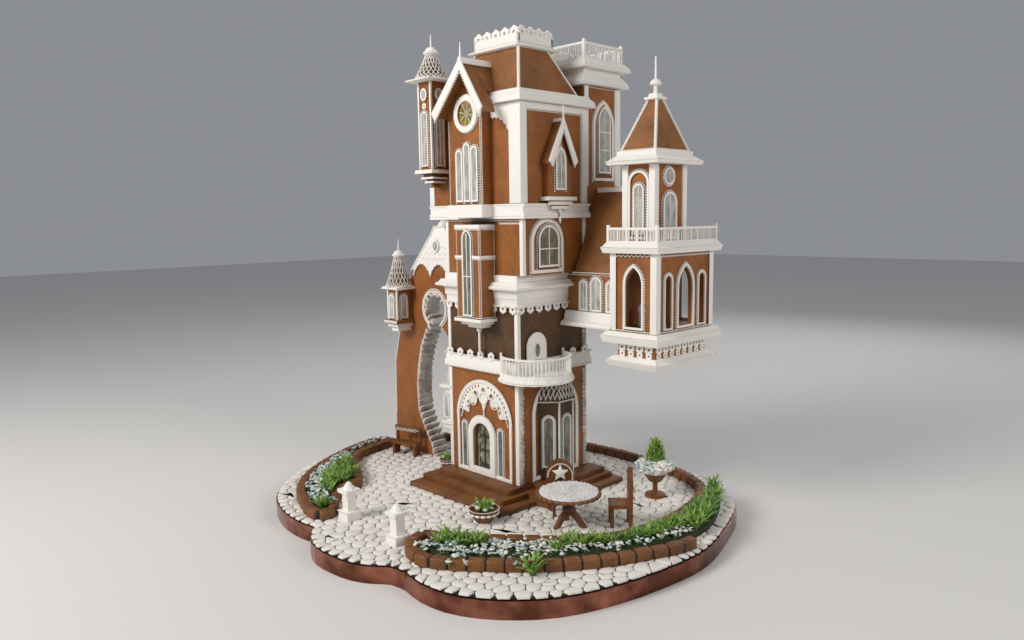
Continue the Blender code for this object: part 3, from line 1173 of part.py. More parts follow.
def make_garden():
    for name, path, closed in (("planter_left", LEFT_PLANTER, True), ("ring_wall", RING_WALL, False),
                               ("planter_front", OUTER_WALL, False)):
        finish(curb(smooth_curve(path, 6, closed), closed), name, "dark_gingerbread")
    planting(left_bed(), "bed_left", 11, BLADE_PITCH)
    front = resampled(smooth_curve(FRONT_BED, 4, closed=True), 0.016, closed=True)
    planting(front, "bed_front", 12, BLADE_PITCH)


# Furniture and ornaments that stand on the paving
GATEPOSTS = (("gatepost_left", -0.0727, -0.1703), ("gatepost_right", 0.0280, -0.1740))
TABLE = (0.1290, -0.0080)
STAR_CHAIR = (0.0985, 0.0130)
SIDE_CHAIR = (0.1700, 0.0340)
BENCH = (-0.2340, 0.0330)
URN = (0.1428, 0.1384)
FRONT_POT = (0.0492, -0.0667)
SIDE_POT = (-0.1400, 0.0350)
POST_BASE = 0.0100


def make_gateposts():
    foot = PAVING_TOP + GAP
    for name, x, y in GATEPOSTS:
        spot = (x, x, y, y)
        pieces = [
            frustum(grown(spot, POST_BASE), grown(spot, POST_BASE - 0.0010), foot, foot + 0.0110),
            box(*grown(spot, 0.0058), foot + 0.0106, foot + 0.0330),
            box(*grown(spot, POST_BASE - 0.0005), foot + 0.0326, foot + 0.0370),
        ]
        knob = ((0.0080, foot + 0.0366), (0.0050, foot + 0.0410), (0.0020, foot + 0.0450))
        pieces.append(turned(knob, x, y, sides=8))
        finish(fuse(pieces), name, "icing")


def turned_about(made, x, y, degrees):
    """Turns a piece about the upright through (x, y)."""
    turn = Matrix.Translation((x, y, 0)) @ Matrix.Rotation(math.radians(degrees), 4, "Z") \
        @ Matrix.Translation((-x, -y, 0))
    made.data.transform(turn)
    return made


def make_table():
    x, y = TABLE
    foot = PAVING_TOP + GAP
    top = foot + 0.0400
    disc = ((0.0275, top - 0.0045), (0.0290, top - 0.0015), (0.0290, top))
    stem = ((0.0085, foot + 0.0190), (0.0050, foot + 0.0280), (0.0100, top - 0.0040))
    pieces = [turned(disc, x, y, sides=20), turned(stem, x, y, sides=8)]
    for index in range(3):
        profile = [(0.0, foot + 0.0240), (0.0120, foot + 0.0150), (0.0215, foot + 0.0010), (0.0215, foot),
                   (0.0150, foot), (0.0090, foot + 0.0080), (0.0, foot + 0.0150)]
        rings = [[(x + r, y + w, z) for r, z in profile] for w in (-0.0022, 0.0022)]
        leg = loft(rings)
        pieces.append(turned_about(leg, x, y, 20 + 120 * index))
    finish(fuse(pieces), "table", "dark_gingerbread")


def make_star_chair():
    x, y = STAR_CHAIR
    foot = PAVING_TOP + GAP
    back = Facade("right", x - 0.0100)
    half = 0.0165
    outline = round_arch(y, half, foot + 0.0300, foot + 0.0480, steps=10)
    panel = back.plate(outline, -0.0030, 0.0)
    star = []
    for index in range(10):
        angle = math.pi / 2 + math.pi * index / 5
        radius = 0.0090 if index % 2 == 0 else 0.0038
        star.append((y + radius * math.cos(angle), foot + 0.0480 + radius * math.sin(angle)))
    panel = carve(panel, [back.plate(star, -0.006, 0.004)])
    pieces = [panel, box(x - 0.0125, x + 0.0110, y - 0.0130, y + 0.0130, foot + 0.0255, foot + 0.0302)]
    for sx in (-0.0110, 0.0070):
        for sy in (-0.0120, 0.0085):
            pieces.append(box(x + sx, x + sx + 0.0035, y + sy, y + sy + 0.0035, foot, foot + 0.0260))
    made = fuse(pieces)
    turned_about(made, x, y, -38)
    finish(made, "star_chair", "gingerbread")


def make_side_chair():
    x, y = SIDE_CHAIR
    foot = PAVING_TOP + GAP
    back = Facade("right", x + 0.0130)
    outline = round_arch(y, 0.0125, foot + 0.0230, foot + 0.0560, steps=8)
    panel = back.plate(outline, -0.0042, 0.0)
    pieces = [panel, box(x - 0.0130, x + 0.0100, y - 0.0125, y + 0.0125, foot + 0.0235, foot + 0.0282)]
    for sx in (-0.0125, 0.0086):
        for sy in (-0.0120, 0.0078):
            pieces.append(box(x + sx, x + sx + 0.0042, y + sy, y + sy + 0.0042, foot, foot + 0.0240))
    made = fuse(pieces)
    turned_about(made, x, y, 44)
    finish(made, "side_chair", "dark_gingerbread")


def make_bench():
    x, y = BENCH
    foot = PAVING_TOP + GAP
    half = 0.0240
    pieces = [
        box(x - half, x + half, y - 0.0080, y + 0.0075, foot + 0.0170, foot + 0.0205),
        box(x - half, x + half, y + 0.0040, y + 0.0078, foot + 0.0340, foot + 0.0420),
        box(x - half + 0.0010, x - half + 0.0050, y + 0.0045, y + 0.0075, foot + 0.0200, foot + 0.0345),
        box(x + half - 0.0050, x + half - 0.0010, y + 0.0045, y + 0.0075, foot + 0.0200, foot + 0.0345),
    ]
    for sx in (-half + 0.0030, half - 0.0070):
        pieces.append(box(x + sx, x + sx + 0.0040, y - 0.0070, y + 0.0065, foot, foot + 0.0175))
    made = fuse(pieces)
    turned_about(made, x, y, 15)
    finish(made, "bench", "gingerbread")


def tuft(x, y, z, radius, height, blades, seed):
    """A bushy plant: a rounded core with blades all round."""
    rng = random.Random(seed)
    pieces = [turned(((radius * 0.55, z), (radius, z + height * 0.28), (radius * 0.85, z + height * 0.60),
                      (radius * 0.30, z + height * 0.84)), x, y, sides=8)]
    for index in range(blades):
        angle = 2.4 * index
        level = (index + 0.5) / blades
        reach = radius * (0.85 - 0.55 * level)
        px, py = x + reach * math.cos(angle), y + reach * math.sin(angle)
        lean = (0.30 * radius * math.cos(angle), 0.30 * radius * math.sin(angle))
        pieces.append(spike(px, py, z + height * (0.20 + 0.45 * level), height * rng.uniform(0.28, 0.36),
                            radius * 0.24, lean, 3, angle))
    return pieces


def make_urn():
    x, y = URN
    foot = PAVING_TOP + GAP
    profile = ((0.0130, foot), (0.0125, foot + 0.0045), (0.0034, foot + 0.0075), (0.0030, foot + 0.0180),
               (0.0085, foot + 0.0215), (0.0140, foot + 0.0300), (0.0152, foot + 0.0345),
               (0.0110, foot + 0.0350))
    finish(turned(profile, x, y, sides=14), "urn", "gingerbread", smooth=True)
    rim = foot + 0.0350 + GAP
    pieces = [turned(((0.0165, rim), (0.0235, rim + 0.0060), (0.0225, rim + 0.0110), (0.0120, rim + 0.0150)),
                     x, y, sides=10)]
    pieces += tuft(x, y, rim + 0.0120, 0.0140, 0.0370, 11, 3)
    finish(fuse(pieces), "urn_plant", "fresh_leaf")


def make_pots():
    foot = PAVING_TOP + GAP
    pots = (("pot_front", FRONT_POT, 0.0180, 5), ("pot_side", SIDE_POT, 0.0120, 6))
    for name, (x, y), radius, seed in pots:
        profile = ((radius * 0.70, foot), (radius, foot + 0.0100), (radius * 0.96, foot + 0.0110))
        pieces = [turned(profile, x, y, sides=12)]
        pieces += tuft(x, y, foot + 0.0100, radius * 0.62, radius * 1.35, 7, seed)
        finish(fuse(pieces), name, "leaf")


def standing_feet():
    """Discs (x, y, radius) on the paving that stones keep clear of."""
    feet = [(x, y, POST_BASE * 1.42) for _, x, y in GATEPOSTS]
    feet += [(*TABLE, 0.0230), (*STAR_CHAIR, 0.0185), (*SIDE_CHAIR, 0.0195), (*BENCH, 0.0250),
             (*URN, 0.0135), (*FRONT_POT, 0.0150), (*SIDE_POT, 0.0100)]
    for points, closed in ((LEFT_PLANTER, True), (RING_WALL, False), (OUTER_WALL, False)):
        path = resampled(smooth_curve(points, 6, closed), 0.0060, closed)
        feet += [(x, y, CURB_HALF + 0.0010) for x, y in path]
    step = 0.0100
    for outline in (LEFT_PLANTER, FRONT_BED):
        loop = smooth_curve(outline, 6, closed=True)
        xs = [x for x, _ in loop]
        ys = [y for _, y in loop]
        for column in range(int((max(xs) - min(xs)) / step) + 1):
            for row in range(int((max(ys) - min(ys)) / step) + 1):
                x, y = min(xs) + column * step, min(ys) + row * step
                if inside(x, y, loop):
                    feet.append((x, y, 0.0060))
    return feet


def main():
    for old in list(bpy.data.objects):
        bpy.data.objects.remove(old)
    make_board()
    make_paving(standing_feet())
    make_steps()
    make_ground_storey()
    make_front_trims()
    make_bay()
    make_balcony_band()
    make_balcony()
    make_second_storey()
    make_mid_cornice()
    make_mid_storey()
    make_mid_oriel()
    make_upper_band()
    make_upper_storey()
    make_gable_bay()
    make_gable_roof()
    make_corner_turret()
    make_dormer()
    make_upper_cornice()
    make_mansard()
    make_crest()
    make_rear_tower()
    make_wing()
    make_pavilion()
    make_arch()
    make_garden()
    make_gateposts()
    make_table()
    make_star_chair()
    make_side_chair()
    make_bench()
    make_urn()
    make_pots()
    outline = board_outline()
    xs = [x for x, _ in outline]
    ys = [y for _, y in outline]
    shift = Vector((-(min(xs) + max(xs)) / 2, -(min(ys) + max(ys)) / 2, 0.0))
    for made in bpy.data.objects:
        made.data.transform(Matrix.Translation(shift))


main()
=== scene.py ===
"""Dresses the gingerbread tower house: finishes, piped icing, windows, cobbles, garden and light.

Sizes are metres. They are written in the layout frame, in which the house was measured, and every
finished piece is moved by LAYOUT_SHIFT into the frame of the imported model.
"""
from __future__ import annotations

import logging
import math
import random
from dataclasses import dataclass, field
from enum import Enum
from typing import Iterable, Sequence

import bmesh
import bpy
import numpy as np
from mathutils import Matrix, Vector


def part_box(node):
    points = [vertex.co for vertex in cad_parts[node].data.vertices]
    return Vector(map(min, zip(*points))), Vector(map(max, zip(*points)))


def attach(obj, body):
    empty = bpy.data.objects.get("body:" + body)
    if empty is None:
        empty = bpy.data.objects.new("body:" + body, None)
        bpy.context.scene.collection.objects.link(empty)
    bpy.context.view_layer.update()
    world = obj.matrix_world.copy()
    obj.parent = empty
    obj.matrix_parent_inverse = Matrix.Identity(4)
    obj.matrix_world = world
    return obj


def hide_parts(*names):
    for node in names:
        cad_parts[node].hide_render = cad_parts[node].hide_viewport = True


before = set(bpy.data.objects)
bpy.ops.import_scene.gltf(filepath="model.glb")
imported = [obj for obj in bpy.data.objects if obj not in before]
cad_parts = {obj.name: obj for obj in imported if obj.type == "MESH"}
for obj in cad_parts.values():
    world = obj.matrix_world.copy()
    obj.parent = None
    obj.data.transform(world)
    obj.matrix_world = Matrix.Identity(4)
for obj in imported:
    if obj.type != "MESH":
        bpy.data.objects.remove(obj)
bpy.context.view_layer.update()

log = logging.getLogger("gingerbread")

LAYOUT_SHIFT = Vector((0.02392, -0.012, 0.0))
UP = Vector((0.0, 0.0, 1.0))
GAP = 0.0003
BEAD = 0.00115
BEAD_PITCH = 0.0023
FINE_DOT = (0.0009, 0.0019)

SKIN = 0.0004

Plan = tuple[float, float, float, float]
Outline = list[tuple[float, float]]

BOARD_TOP = 0.0185
PLINTH_TOP = 0.04
GROUND_TOP = 0.1762
BAND_TOP = 0.1955
SECOND_TOP = 0.262
MID_FLOOR = 0.3023
MID_TOP = 0.3702
UPPER_FLOOR = 0.3885
UPPER_TOP = 0.5062
ROOF_FLOOR = 0.5204
ROOF_TOP = 0.572

HOUSE: Plan = (-0.0995, 0.0295, 0.0113, 0.1378)
MID: Plan = (-0.0995, 0.0405, 0.0113, 0.1235)
UPPER: Plan = (-0.125, 0.043, 0.0068, 0.1235)
MANSARD_FOOT: Plan = (-0.12, 0.0395, 0.009, 0.111)
MANSARD_HEAD: Plan = (-0.054, 0.0215, 0.027, 0.078)
REAR_TOWER: Plan = (-0.02, 0.04, 0.1238, 0.194)
WING: Plan = (0.0328, 0.1122, 0.1, 0.198)
PAVILION: Plan = (0.1125, 0.1766, 0.09, 0.2053)
PAVILION_UPPER: Plan = (0.1246, 0.1666, 0.099, 0.159)
CORNER_TURRET: Plan = (-0.1145, -0.09, -0.018, 0.0064)
MID_ORIEL: Plan = (-0.0516, -0.0083, -0.0141, 0.0109)
GABLE_BAY: Plan = (-0.066, -0.0066, -0.01, 0.0064)
DORMER: Plan = (0.0434, 0.053, 0.044, 0.084)
ARCH_TURRET: Plan = (-0.261, -0.2384, 0.0275, 0.0546)
SIDE_TURRET: Plan = (-0.1185, -0.0999, 0.012, 0.03)
ARCH_WALL_Y = (0.055, 0.067)


class Side(Enum):
    """Which way a wall looks."""

    FRONT = (0.0, -1.0)
    RIGHT = (1.0, 0.0)
    BACK = (0.0, 1.0)
    LEFT = (-1.0, 0.0)


@dataclass(frozen=True)
class Wall:
    """A wall plane: its side, and the X or Y at which it stands."""

    side: Side
    plane: float

    @property
    def outward(self) -> Vector:
        """The way the wall looks."""
        return Vector((*self.side.value, 0.0))

    def point(self, s: float, z: float, depth: float = 0.0) -> Vector:
        """A place on the wall.

        Args:
            s: X on a front or back wall, Y on a side wall.
            z: Height.
            depth: Distance in front of the wall.

        Returns:
            The place in the layout frame.
        """
        if self.side in (Side.FRONT, Side.BACK):
            return Vector((s, self.plane, z)) + self.outward * depth
        return Vector((self.plane, s, z)) + self.outward * depth

    def turn(self) -> Matrix:
        """The turn that lays a unit modelled flat on XY, facing +Z, against the wall."""
        across = UP.cross(self.outward)
        return Matrix((across, UP, self.outward)).transposed().to_4x4()


def wall_of(plan: Plan, side: Side) -> Wall:
    """The wall of a rectangular plan (x0, x1, y0, y1) on one side."""
    planes = {Side.FRONT: plan[2], Side.BACK: plan[3], Side.RIGHT: plan[1], Side.LEFT: plan[0]}
    return Wall(side, planes[side])


def span_of(plan: Plan, side: Side) -> tuple[float, float]:
    """The lowest and highest place across the wall of a plan on one side."""
    return (plan[0], plan[1]) if side in (Side.FRONT, Side.BACK) else (plan[2], plan[3])


def grown(plan: Plan, by: float) -> Plan:
    """A plan that reaches further out on all four sides."""
    return (plan[0] - by, plan[1] + by, plan[2] - by, plan[3] + by)


def round_arch(middle: float, half: float, foot: float, spring: float, steps: int = 10) -> Outline:
    """The outline of a round-headed opening, from its left foot over the head to its right foot."""
    head = [(middle - half * math.cos(math.pi * k / steps),
        spring + half * math.sin(math.pi * k / steps)) for k in range(steps + 1)]
    return [(middle - half, foot)] + head + [(middle + half, foot)]


def pointed_arch(middle: float, half: float, foot: float, spring: float, sharp: float = 1.7,
        steps: int = 6) -> Outline:
    """The outline of a pointed opening; sharp is the radius of its arcs over half its width."""
    radius = half * sharp
    top = math.acos((radius - half) / radius)
    left = [(middle - half + radius - radius * math.cos(top * k / steps),
        spring + radius * math.sin(top * k / steps)) for k in range(steps + 1)]
    right = [(2.0 * middle - s, z) for s, z in reversed(left[:-1])]
    return [(middle - half, foot)] + left + right + [(middle + half, foot)]


def oval(middle: float, height: float, wide: float, high: float, steps: int = 20) -> Outline:
    """The outline of a round or oval window."""
    return [(middle + wide * math.cos(math.tau * k / steps),
        height + high * math.sin(math.tau * k / steps)) for k in range(steps)]


def smooth_path(points: Sequence[tuple[float, float]], per_span: int, closed: bool = False) -> Outline:
    """A smooth curve through plan points.

    Args:
        points: The (x, y) points it passes.
        per_span: How many points it gets between two of them.
        closed: Whether it runs back to its start.

    Returns:
        The points of the curve.
    """
    count = len(points)
    result: Outline = []
    for span in range(count if closed else count - 1):
        if closed:
            near = [points[(span + k - 1) % count] for k in range(4)]
        else:
            near = [points[min(max(span + k - 1, 0), count - 1)] for k in range(4)]
        for step in range(per_span):
            t = step / per_span
            result.append(tuple(0.5 * (2 * b + (c - a) * t + (2 * a - 5 * b + 4 * c - d) * t * t
                + (3 * b - a - 3 * c + d) * t ** 3) for a, b, c, d in zip(*near)))
    if not closed:
        result.append(tuple(points[-1]))
    return result


def along(points: Sequence[Vector], pitch: float, closed: bool = False) -> list[tuple[Vector, Vector]]:
    """Places at an even pitch along a path.

    Args:
        points: The corners of the path.
        pitch: The wanted distance between two places.
        closed: Whether the path runs back to its start.

    Returns:
        For each place, its position and the direction of the path there.
    """
    path = [Vector(p) for p in points] + ([Vector(points[0])] if closed else [])
    legs = [(b - a).length for a, b in zip(path, path[1:])]
    total = sum(legs)
    count = max(1, round(total / pitch))
    result = []
    index, walked = 0, 0.0
    for step in range(count if closed else count + 1):
        want = total * step / count
        while index < len(legs) - 1 and walked + legs[index] < want:
            walked += legs[index]
            index += 1
        share = (want - walked) / max(legs[index], 1e-9)
        heading = (path[index + 1] - path[index]).normalized()
        result.append((path[index].lerp(path[index + 1], share), heading))
    return result


def inside(x: float, y: float, outline: Sequence[tuple[float, float]]) -> bool:
    """Whether a plan point lies inside a closed outline."""
    hit = False
    for (x0, y0), (x1, y1) in zip(outline, list(outline[1:]) + [outline[0]]):
        if (y0 > y) != (y1 > y) and x < (x1 - x0) * (y - y0) / (y1 - y0) + x0:
            hit = not hit
    return hit


def in_plan(x: float, y: float, plan: Plan, margin: float) -> bool:
    """Whether a plan point lies inside a rectangle or within a margin of it."""
    return plan[0] - margin < x < plan[1] + margin and plan[2] - margin < y < plan[3] + margin


# Modelling steps


def start_clean() -> None:
    """Goes to object mode with nothing selected."""
    if bpy.context.mode != "OBJECT":
        bpy.ops.object.mode_set(mode="OBJECT")
    bpy.ops.object.select_all(action="DESELECT")


def all_in_edit() -> None:
    """Enters edit mode on the active piece with all of it selected."""
    bpy.ops.object.mode_set(mode="EDIT")
    bpy.ops.mesh.select_all(action="SELECT")


def close_edit() -> None:
    """Turns the active piece's faces outwards and leaves edit mode."""
    bpy.ops.mesh.select_all(action="SELECT")
    bpy.ops.mesh.normals_make_consistent(inside=False)
    bpy.ops.object.mode_set(mode="OBJECT")


def flat_shape(points: Sequence[Vector]) -> bpy.types.Object:
    """A flat face: a filled circle whose corners are moved onto the given points."""
    start_clean()
    bpy.ops.mesh.primitive_circle_add(vertices=len(points), radius=0.01, fill_type="NGON")
    piece = bpy.context.active_object
    for corner, place in zip(piece.data.vertices, points):
        corner.co = place
    return piece


def panel(wall: Wall, outline: Outline, low: float, high: float) -> bpy.types.Object:
    """A plate against a wall, extruded from its outline.

    Args:
        wall: The wall it lies against.
        outline: Its (s, z) corners.
        low: Depth of its back.
        high: Depth of its face.

    Returns:
        The finished plate.
    """
    piece = flat_shape([wall.point(s, z, low) for s, z in outline])
    all_in_edit()
    bpy.ops.mesh.extrude_region_move(TRANSFORM_OT_translate={"value": wall.outward * (high - low)})
    close_edit()
    return piece


def plate(wall: Wall, s0: float, s1: float, z0: float, z1: float, near: float,
        far: float) -> bpy.types.Object:
    """A flat upright rectangle on a wall."""
    return panel(wall, [(s0, z0), (s1, z0), (s1, z1), (s0, z1)], near, far)


def mullion(s: float, z0: float, z1: float, half: float = 0.0005) -> tuple[float, float, float, float]:
    """One upright glazing bar, as (s0, s1, z0, z1)."""
    return s - half, s + half, z0, z1


def polar(x: float, y: float, reach: float, angle: float) -> tuple[float, float]:
    """The place at a distance and an angle from a middle."""
    return x + reach * math.cos(angle), y + reach * math.sin(angle)


def circle(x: float, y: float, z: float, radius: float, count: int) -> list[Vector]:
    """Places evenly round a level circle."""
    return [Vector((*polar(x, y, radius, math.tau * k / count), z)) for k in range(count)]


def corners_of(plan: Plan, z: float) -> list[Vector]:
    """The four corners of a plan at one height."""
    return [Vector((plan[i], plan[j], z)) for i, j in ((0, 2), (1, 2), (1, 3), (0, 3))]


def edges_of(plan: Plan, z: float) -> list[list[Vector]]:
    """The four edges of a plan at one height: front, right, back and left."""
    corners = corners_of(plan, z)
    return [list(pair) for pair in zip(corners, corners[1:] + corners[:1])]


def border(wall: Wall, outline: Outline, width: float, low: float, high: float) -> bpy.types.Object:
    """A frame of even width inside an outline: inset, opened and extruded.

    Args:
        wall: The wall it lies against.
        outline: Its outer (s, z) corners.
        width: How wide the frame is.
        low: Depth of its back.
        high: Depth of its face.

    Returns:
        The finished frame.
    """
    piece = flat_shape([wall.point(s, z, low) for s, z in outline])
    all_in_edit()
    bpy.ops.mesh.inset(thickness=width, depth=0.0)
    bpy.ops.mesh.delete(type="FACE")
    bpy.ops.mesh.select_all(action="SELECT")
    bpy.ops.mesh.extrude_region_move(TRANSFORM_OT_translate={"value": wall.outward * (high - low)})
    close_edit()
    return piece


def slab(outline: Outline, low: float, high: float) -> bpy.types.Object:
    """A level plate of an (x, y) outline."""
    piece = flat_shape([Vector((x, y, low)) for x, y in outline])
    all_in_edit()
    bpy.ops.mesh.extrude_region_move(TRANSFORM_OT_translate={"value": (0.0, 0.0, high - low)})
    close_edit()
    return piece


def block(x0: float, x1: float, y0: float, y1: float, z0: float, z1: float) -> bpy.types.Object:
    """A bar between two corners, from a cube at its size and place."""
    start_clean()
    middle = ((x0 + x1) / 2, (y0 + y1) / 2, (z0 + z1) / 2)
    bpy.ops.mesh.primitive_cube_add(size=1.0, location=middle, scale=(x1 - x0, y1 - y0, z1 - z0))
    bpy.ops.object.transform_apply(location=True, rotation=True, scale=True)
    return bpy.context.active_object


def stacked(plan: Plan, levels: Sequence[tuple[float, float]]) -> bpy.types.Object:
    """A block that steps in and out as it rises.

    Args:
        plan: Its rectangle (x0, x1, y0, y1).
        levels: For each level, how far it reaches outside the plan, and its height.

    Returns:
        The finished block.
    """
    start_clean()
    bpy.ops.mesh.primitive_plane_add(size=1.0)
    piece = bpy.context.active_object
    bpy.ops.object.mode_set(mode="EDIT")
    middle = Vector(((plan[0] + plan[1]) / 2, (plan[2] + plan[3]) / 2))
    half = Vector(((plan[1] - plan[0]) / 2, (plan[3] - plan[2]) / 2))
    for index, (reach, z) in enumerate(levels):
        bpy.ops.mesh.select_mode(type="VERT")
        if index:
            bpy.ops.mesh.extrude_region_move(TRANSFORM_OT_translate={"value": (0.0, 0.0, 0.001)})
        mesh = bmesh.from_edit_mesh(piece.data)
        for corner in mesh.verts:
            if index and not corner.select:
                continue
            side_x = 1.0 if corner.co.x > (middle.x if index else 0.0) else -1.0
            side_y = 1.0 if corner.co.y > (middle.y if index else 0.0) else -1.0
            corner.co = Vector((middle.x + side_x * (half.x + reach), middle.y + side_y * (half.y + reach),
                z))
        bmesh.update_edit_mesh(piece.data)
        if not index:
            bpy.ops.mesh.select_all(action="SELECT")
    close_edit()
    return piece


def turned(profile: Sequence[tuple[float, float]], x: float, y: float, sides: int = 24) -> bpy.types.Object:
    """A turned piece: a profile of (radius, z) points spun about an upright axis.

    Args:
        profile: Its points from the bottom to the top; a radius of 0 closes an end.
        x: Place of the axis.
        y: Place of the axis.
        sides: How many steps the spin has.

    Returns:
        The finished piece.
    """
    start_clean()
    bpy.ops.mesh.primitive_circle_add(vertices=len(profile), radius=0.01, fill_type="NOTHING")
    piece = bpy.context.active_object
    for corner, (radius, z) in zip(piece.data.vertices, profile):
        corner.co = (x + radius, y, z)
    bpy.ops.object.mode_set(mode="EDIT")
    mesh = bmesh.from_edit_mesh(piece.data)
    mesh.verts.ensure_lookup_table()
    closing = mesh.edges.get((mesh.verts[0], mesh.verts[len(profile) - 1]))
    if closing:
        bmesh.ops.delete(mesh, geom=[closing], context="EDGES")
    bmesh.update_edit_mesh(piece.data)
    bpy.ops.mesh.select_all(action="SELECT")
    bpy.ops.mesh.spin(steps=sides, angle=math.tau, center=(x, y, 0.0), axis=(0.0, 0.0, 1.0))
    bpy.ops.mesh.select_all(action="SELECT")
    bpy.ops.mesh.remove_doubles(threshold=0.00002)
    bpy.ops.mesh.select_all(action="DESELECT")
    bpy.ops.mesh.select_non_manifold()
    bpy.ops.mesh.edge_face_add()
    close_edit()
    return piece


def apply_step(piece: bpy.types.Object, kind: str, **settings: object) -> None:
    """Adds one modifier to a piece and applies it."""
    start_clean()
    piece.select_set(True)
    bpy.context.view_layer.objects.active = piece
    step = piece.modifiers.new(kind.lower(), kind)
    for name, value in settings.items():
        setattr(step, name, value)
    bpy.ops.object.modifier_apply(modifier=step.name)


def soften(piece: bpy.types.Object, width: float, segments: int = 2) -> bpy.types.Object:
    """Rounds a piece's edges."""
    apply_step(piece, "BEVEL", width=width, segments=segments, limit_method="ANGLE",
        angle_limit=math.radians(35.0))
    return piece


# Units that repeat


@dataclass
class Unit:
    """A small shape that is modelled once and then copied into batches."""

    corners: np.ndarray
    faces: list[tuple[int, ...]]

    @classmethod
    def taken_from(cls, piece: bpy.types.Object) -> "Unit":
        """Reads a unit from a modelled piece and removes the piece."""
        mesh = piece.data
        corners = np.array([tuple(v.co) for v in mesh.vertices])
        faces = [tuple(p.vertices) for p in mesh.polygons]
        bpy.data.objects.remove(piece)
        bpy.data.meshes.remove(mesh)
        return cls(corners, faces)


def bead_unit(detail: int = 1) -> Unit:
    """One dot of piped icing: a ball a little flattened towards what it sits on."""
    start_clean()
    bpy.ops.mesh.primitive_ico_sphere_add(subdivisions=detail, radius=1.0)
    bpy.ops.transform.resize(value=(1.0, 1.0, 0.85))
    bpy.ops.object.transform_apply(location=True, rotation=True, scale=True)
    return Unit.taken_from(bpy.context.active_object)


def flower_unit(petals: int = 6) -> Unit:
    """One flat icing flower of radius 1 with scalloped petals round a hole, facing +Z."""
    steps = petals * 4
    rim = [Vector((math.cos(math.tau * k / steps), math.sin(math.tau * k / steps),
        0.0)) * (0.8 + 0.2 * abs(math.sin(petals * math.pi * k / steps))) for k in range(steps)]
    piece = flat_shape(rim)
    all_in_edit()
    bpy.ops.mesh.inset(thickness=0.52, depth=0.0)
    bpy.ops.mesh.delete(type="FACE")
    bpy.ops.mesh.select_all(action="SELECT")
    bpy.ops.mesh.extrude_region_move(TRANSFORM_OT_translate={"value": (0.0, 0.0, 0.34)})
    close_edit()
    return Unit.taken_from(piece)


def blossom_unit() -> Unit:
    """One small piped blossom of radius 1 facing +Z: five petals and a raised middle."""
    steps = 15
    rim = [Vector((math.cos(math.tau * k / steps), math.sin(math.tau * k / steps),
        0.0)) * (0.72 + 0.28 * abs(math.sin(2.5 * math.tau * k / steps))) for k in range(steps)]
    piece = flat_shape(rim)
    all_in_edit()
    bpy.ops.mesh.extrude_region_move(TRANSFORM_OT_translate={"value": (0.0, 0.0, 0.3)})
    bpy.ops.mesh.inset(thickness=0.4, depth=0.1)
    close_edit()
    return Unit.taken_from(piece)


def blade_unit(wave: float) -> Unit:
    """One leaf 1 long and thin: a bar extruded upwards in three steps that narrows and bends over."""
    start_clean()
    bpy.ops.mesh.primitive_plane_add(size=1.0)
    piece = bpy.context.active_object
    for corner in piece.data.vertices:
        corner.co = Vector((corner.co.x * 0.12, corner.co.y * 0.05, 0.0))
    all_in_edit()
    for rise, shrink in ((0.38, 1.15), (0.34, 0.72), (0.28, 0.16)):
        bpy.ops.mesh.extrude_region_move(TRANSFORM_OT_translate={"value": (0.0, wave * rise, rise)})
        bpy.ops.transform.resize(value=(shrink, 0.8, 1.0))
        wave *= 1.9
    close_edit()
    return Unit.taken_from(piece)


def brick_unit() -> Unit:
    """One rounded gingerbread brick, 1 long, 1 wide and 1 high, standing on Z = 0."""
    start_clean()
    bpy.ops.mesh.primitive_cube_add(size=1.0, location=(0.0, 0.0, 0.5))
    bpy.ops.object.transform_apply(location=True, rotation=True, scale=True)
    piece = soften(bpy.context.active_object, 0.17, 2)
    return Unit.taken_from(piece)


@dataclass
class Batch:
    """Collects small shapes of one finish and hands them over as one piece."""

    name: str
    finish: str = "icing"
    slot: str = "icing"
    corners: list[np.ndarray] = field(default_factory=list)
    faces: list[tuple[int, ...]] = field(default_factory=list)
    count: int = 0

    def absorb(self, *pieces: bpy.types.Object) -> None:
        """Takes finished pieces in and removes them from the scene."""
        for piece in pieces:
            self.copy(Unit.taken_from(piece), Matrix.Identity(4))

    def copy(self, unit: Unit, place: Matrix) -> None:
        """Adds one copy of a unit at a place."""
        turn = np.array(place)
        corners = unit.corners @ turn[:3, :3].T + turn[:3, 3]
        mirrored = np.linalg.det(turn[:3, :3]) < 0.0
        for face in unit.faces:
            order = reversed(face) if mirrored else face
            self.faces.append(tuple(index + self.count for index in order))
        self.corners.append(corners)
        self.count += len(corners)

    def pipe(self, points: Sequence[Vector], radius: float = BEAD, pitch: float = BEAD_PITCH,
            closed: bool = False, unit: str = "bead") -> None:
        """Pipes a string of dots along a path."""
        for place, _ in along(points, pitch, closed):
            self.copy(SHAPES[unit], Matrix.Translation(place) @ Matrix.Scale(radius, 4))

    def join(self) -> bpy.types.Object:
        """Makes one object of what the batch holds."""
        mesh = bpy.data.meshes.new(self.name)
        mesh.from_pydata(np.concatenate(self.corners).tolist(), [], self.faces)
        mesh.validate()
        piece = bpy.data.objects.new(self.name, mesh)
        bpy.context.scene.collection.objects.link(piece)
        return piece

    def hand_over(self, rounding: float = 0.0, replaces: Sequence[str] = (), angle: float = 40.0) -> None:
        """Makes the batch one piece of the house, in its finish."""
        piece = self.join()
        if rounding:
            soften(piece, rounding)
        hand_over(piece, self.name, self.finish, replaces, angle)


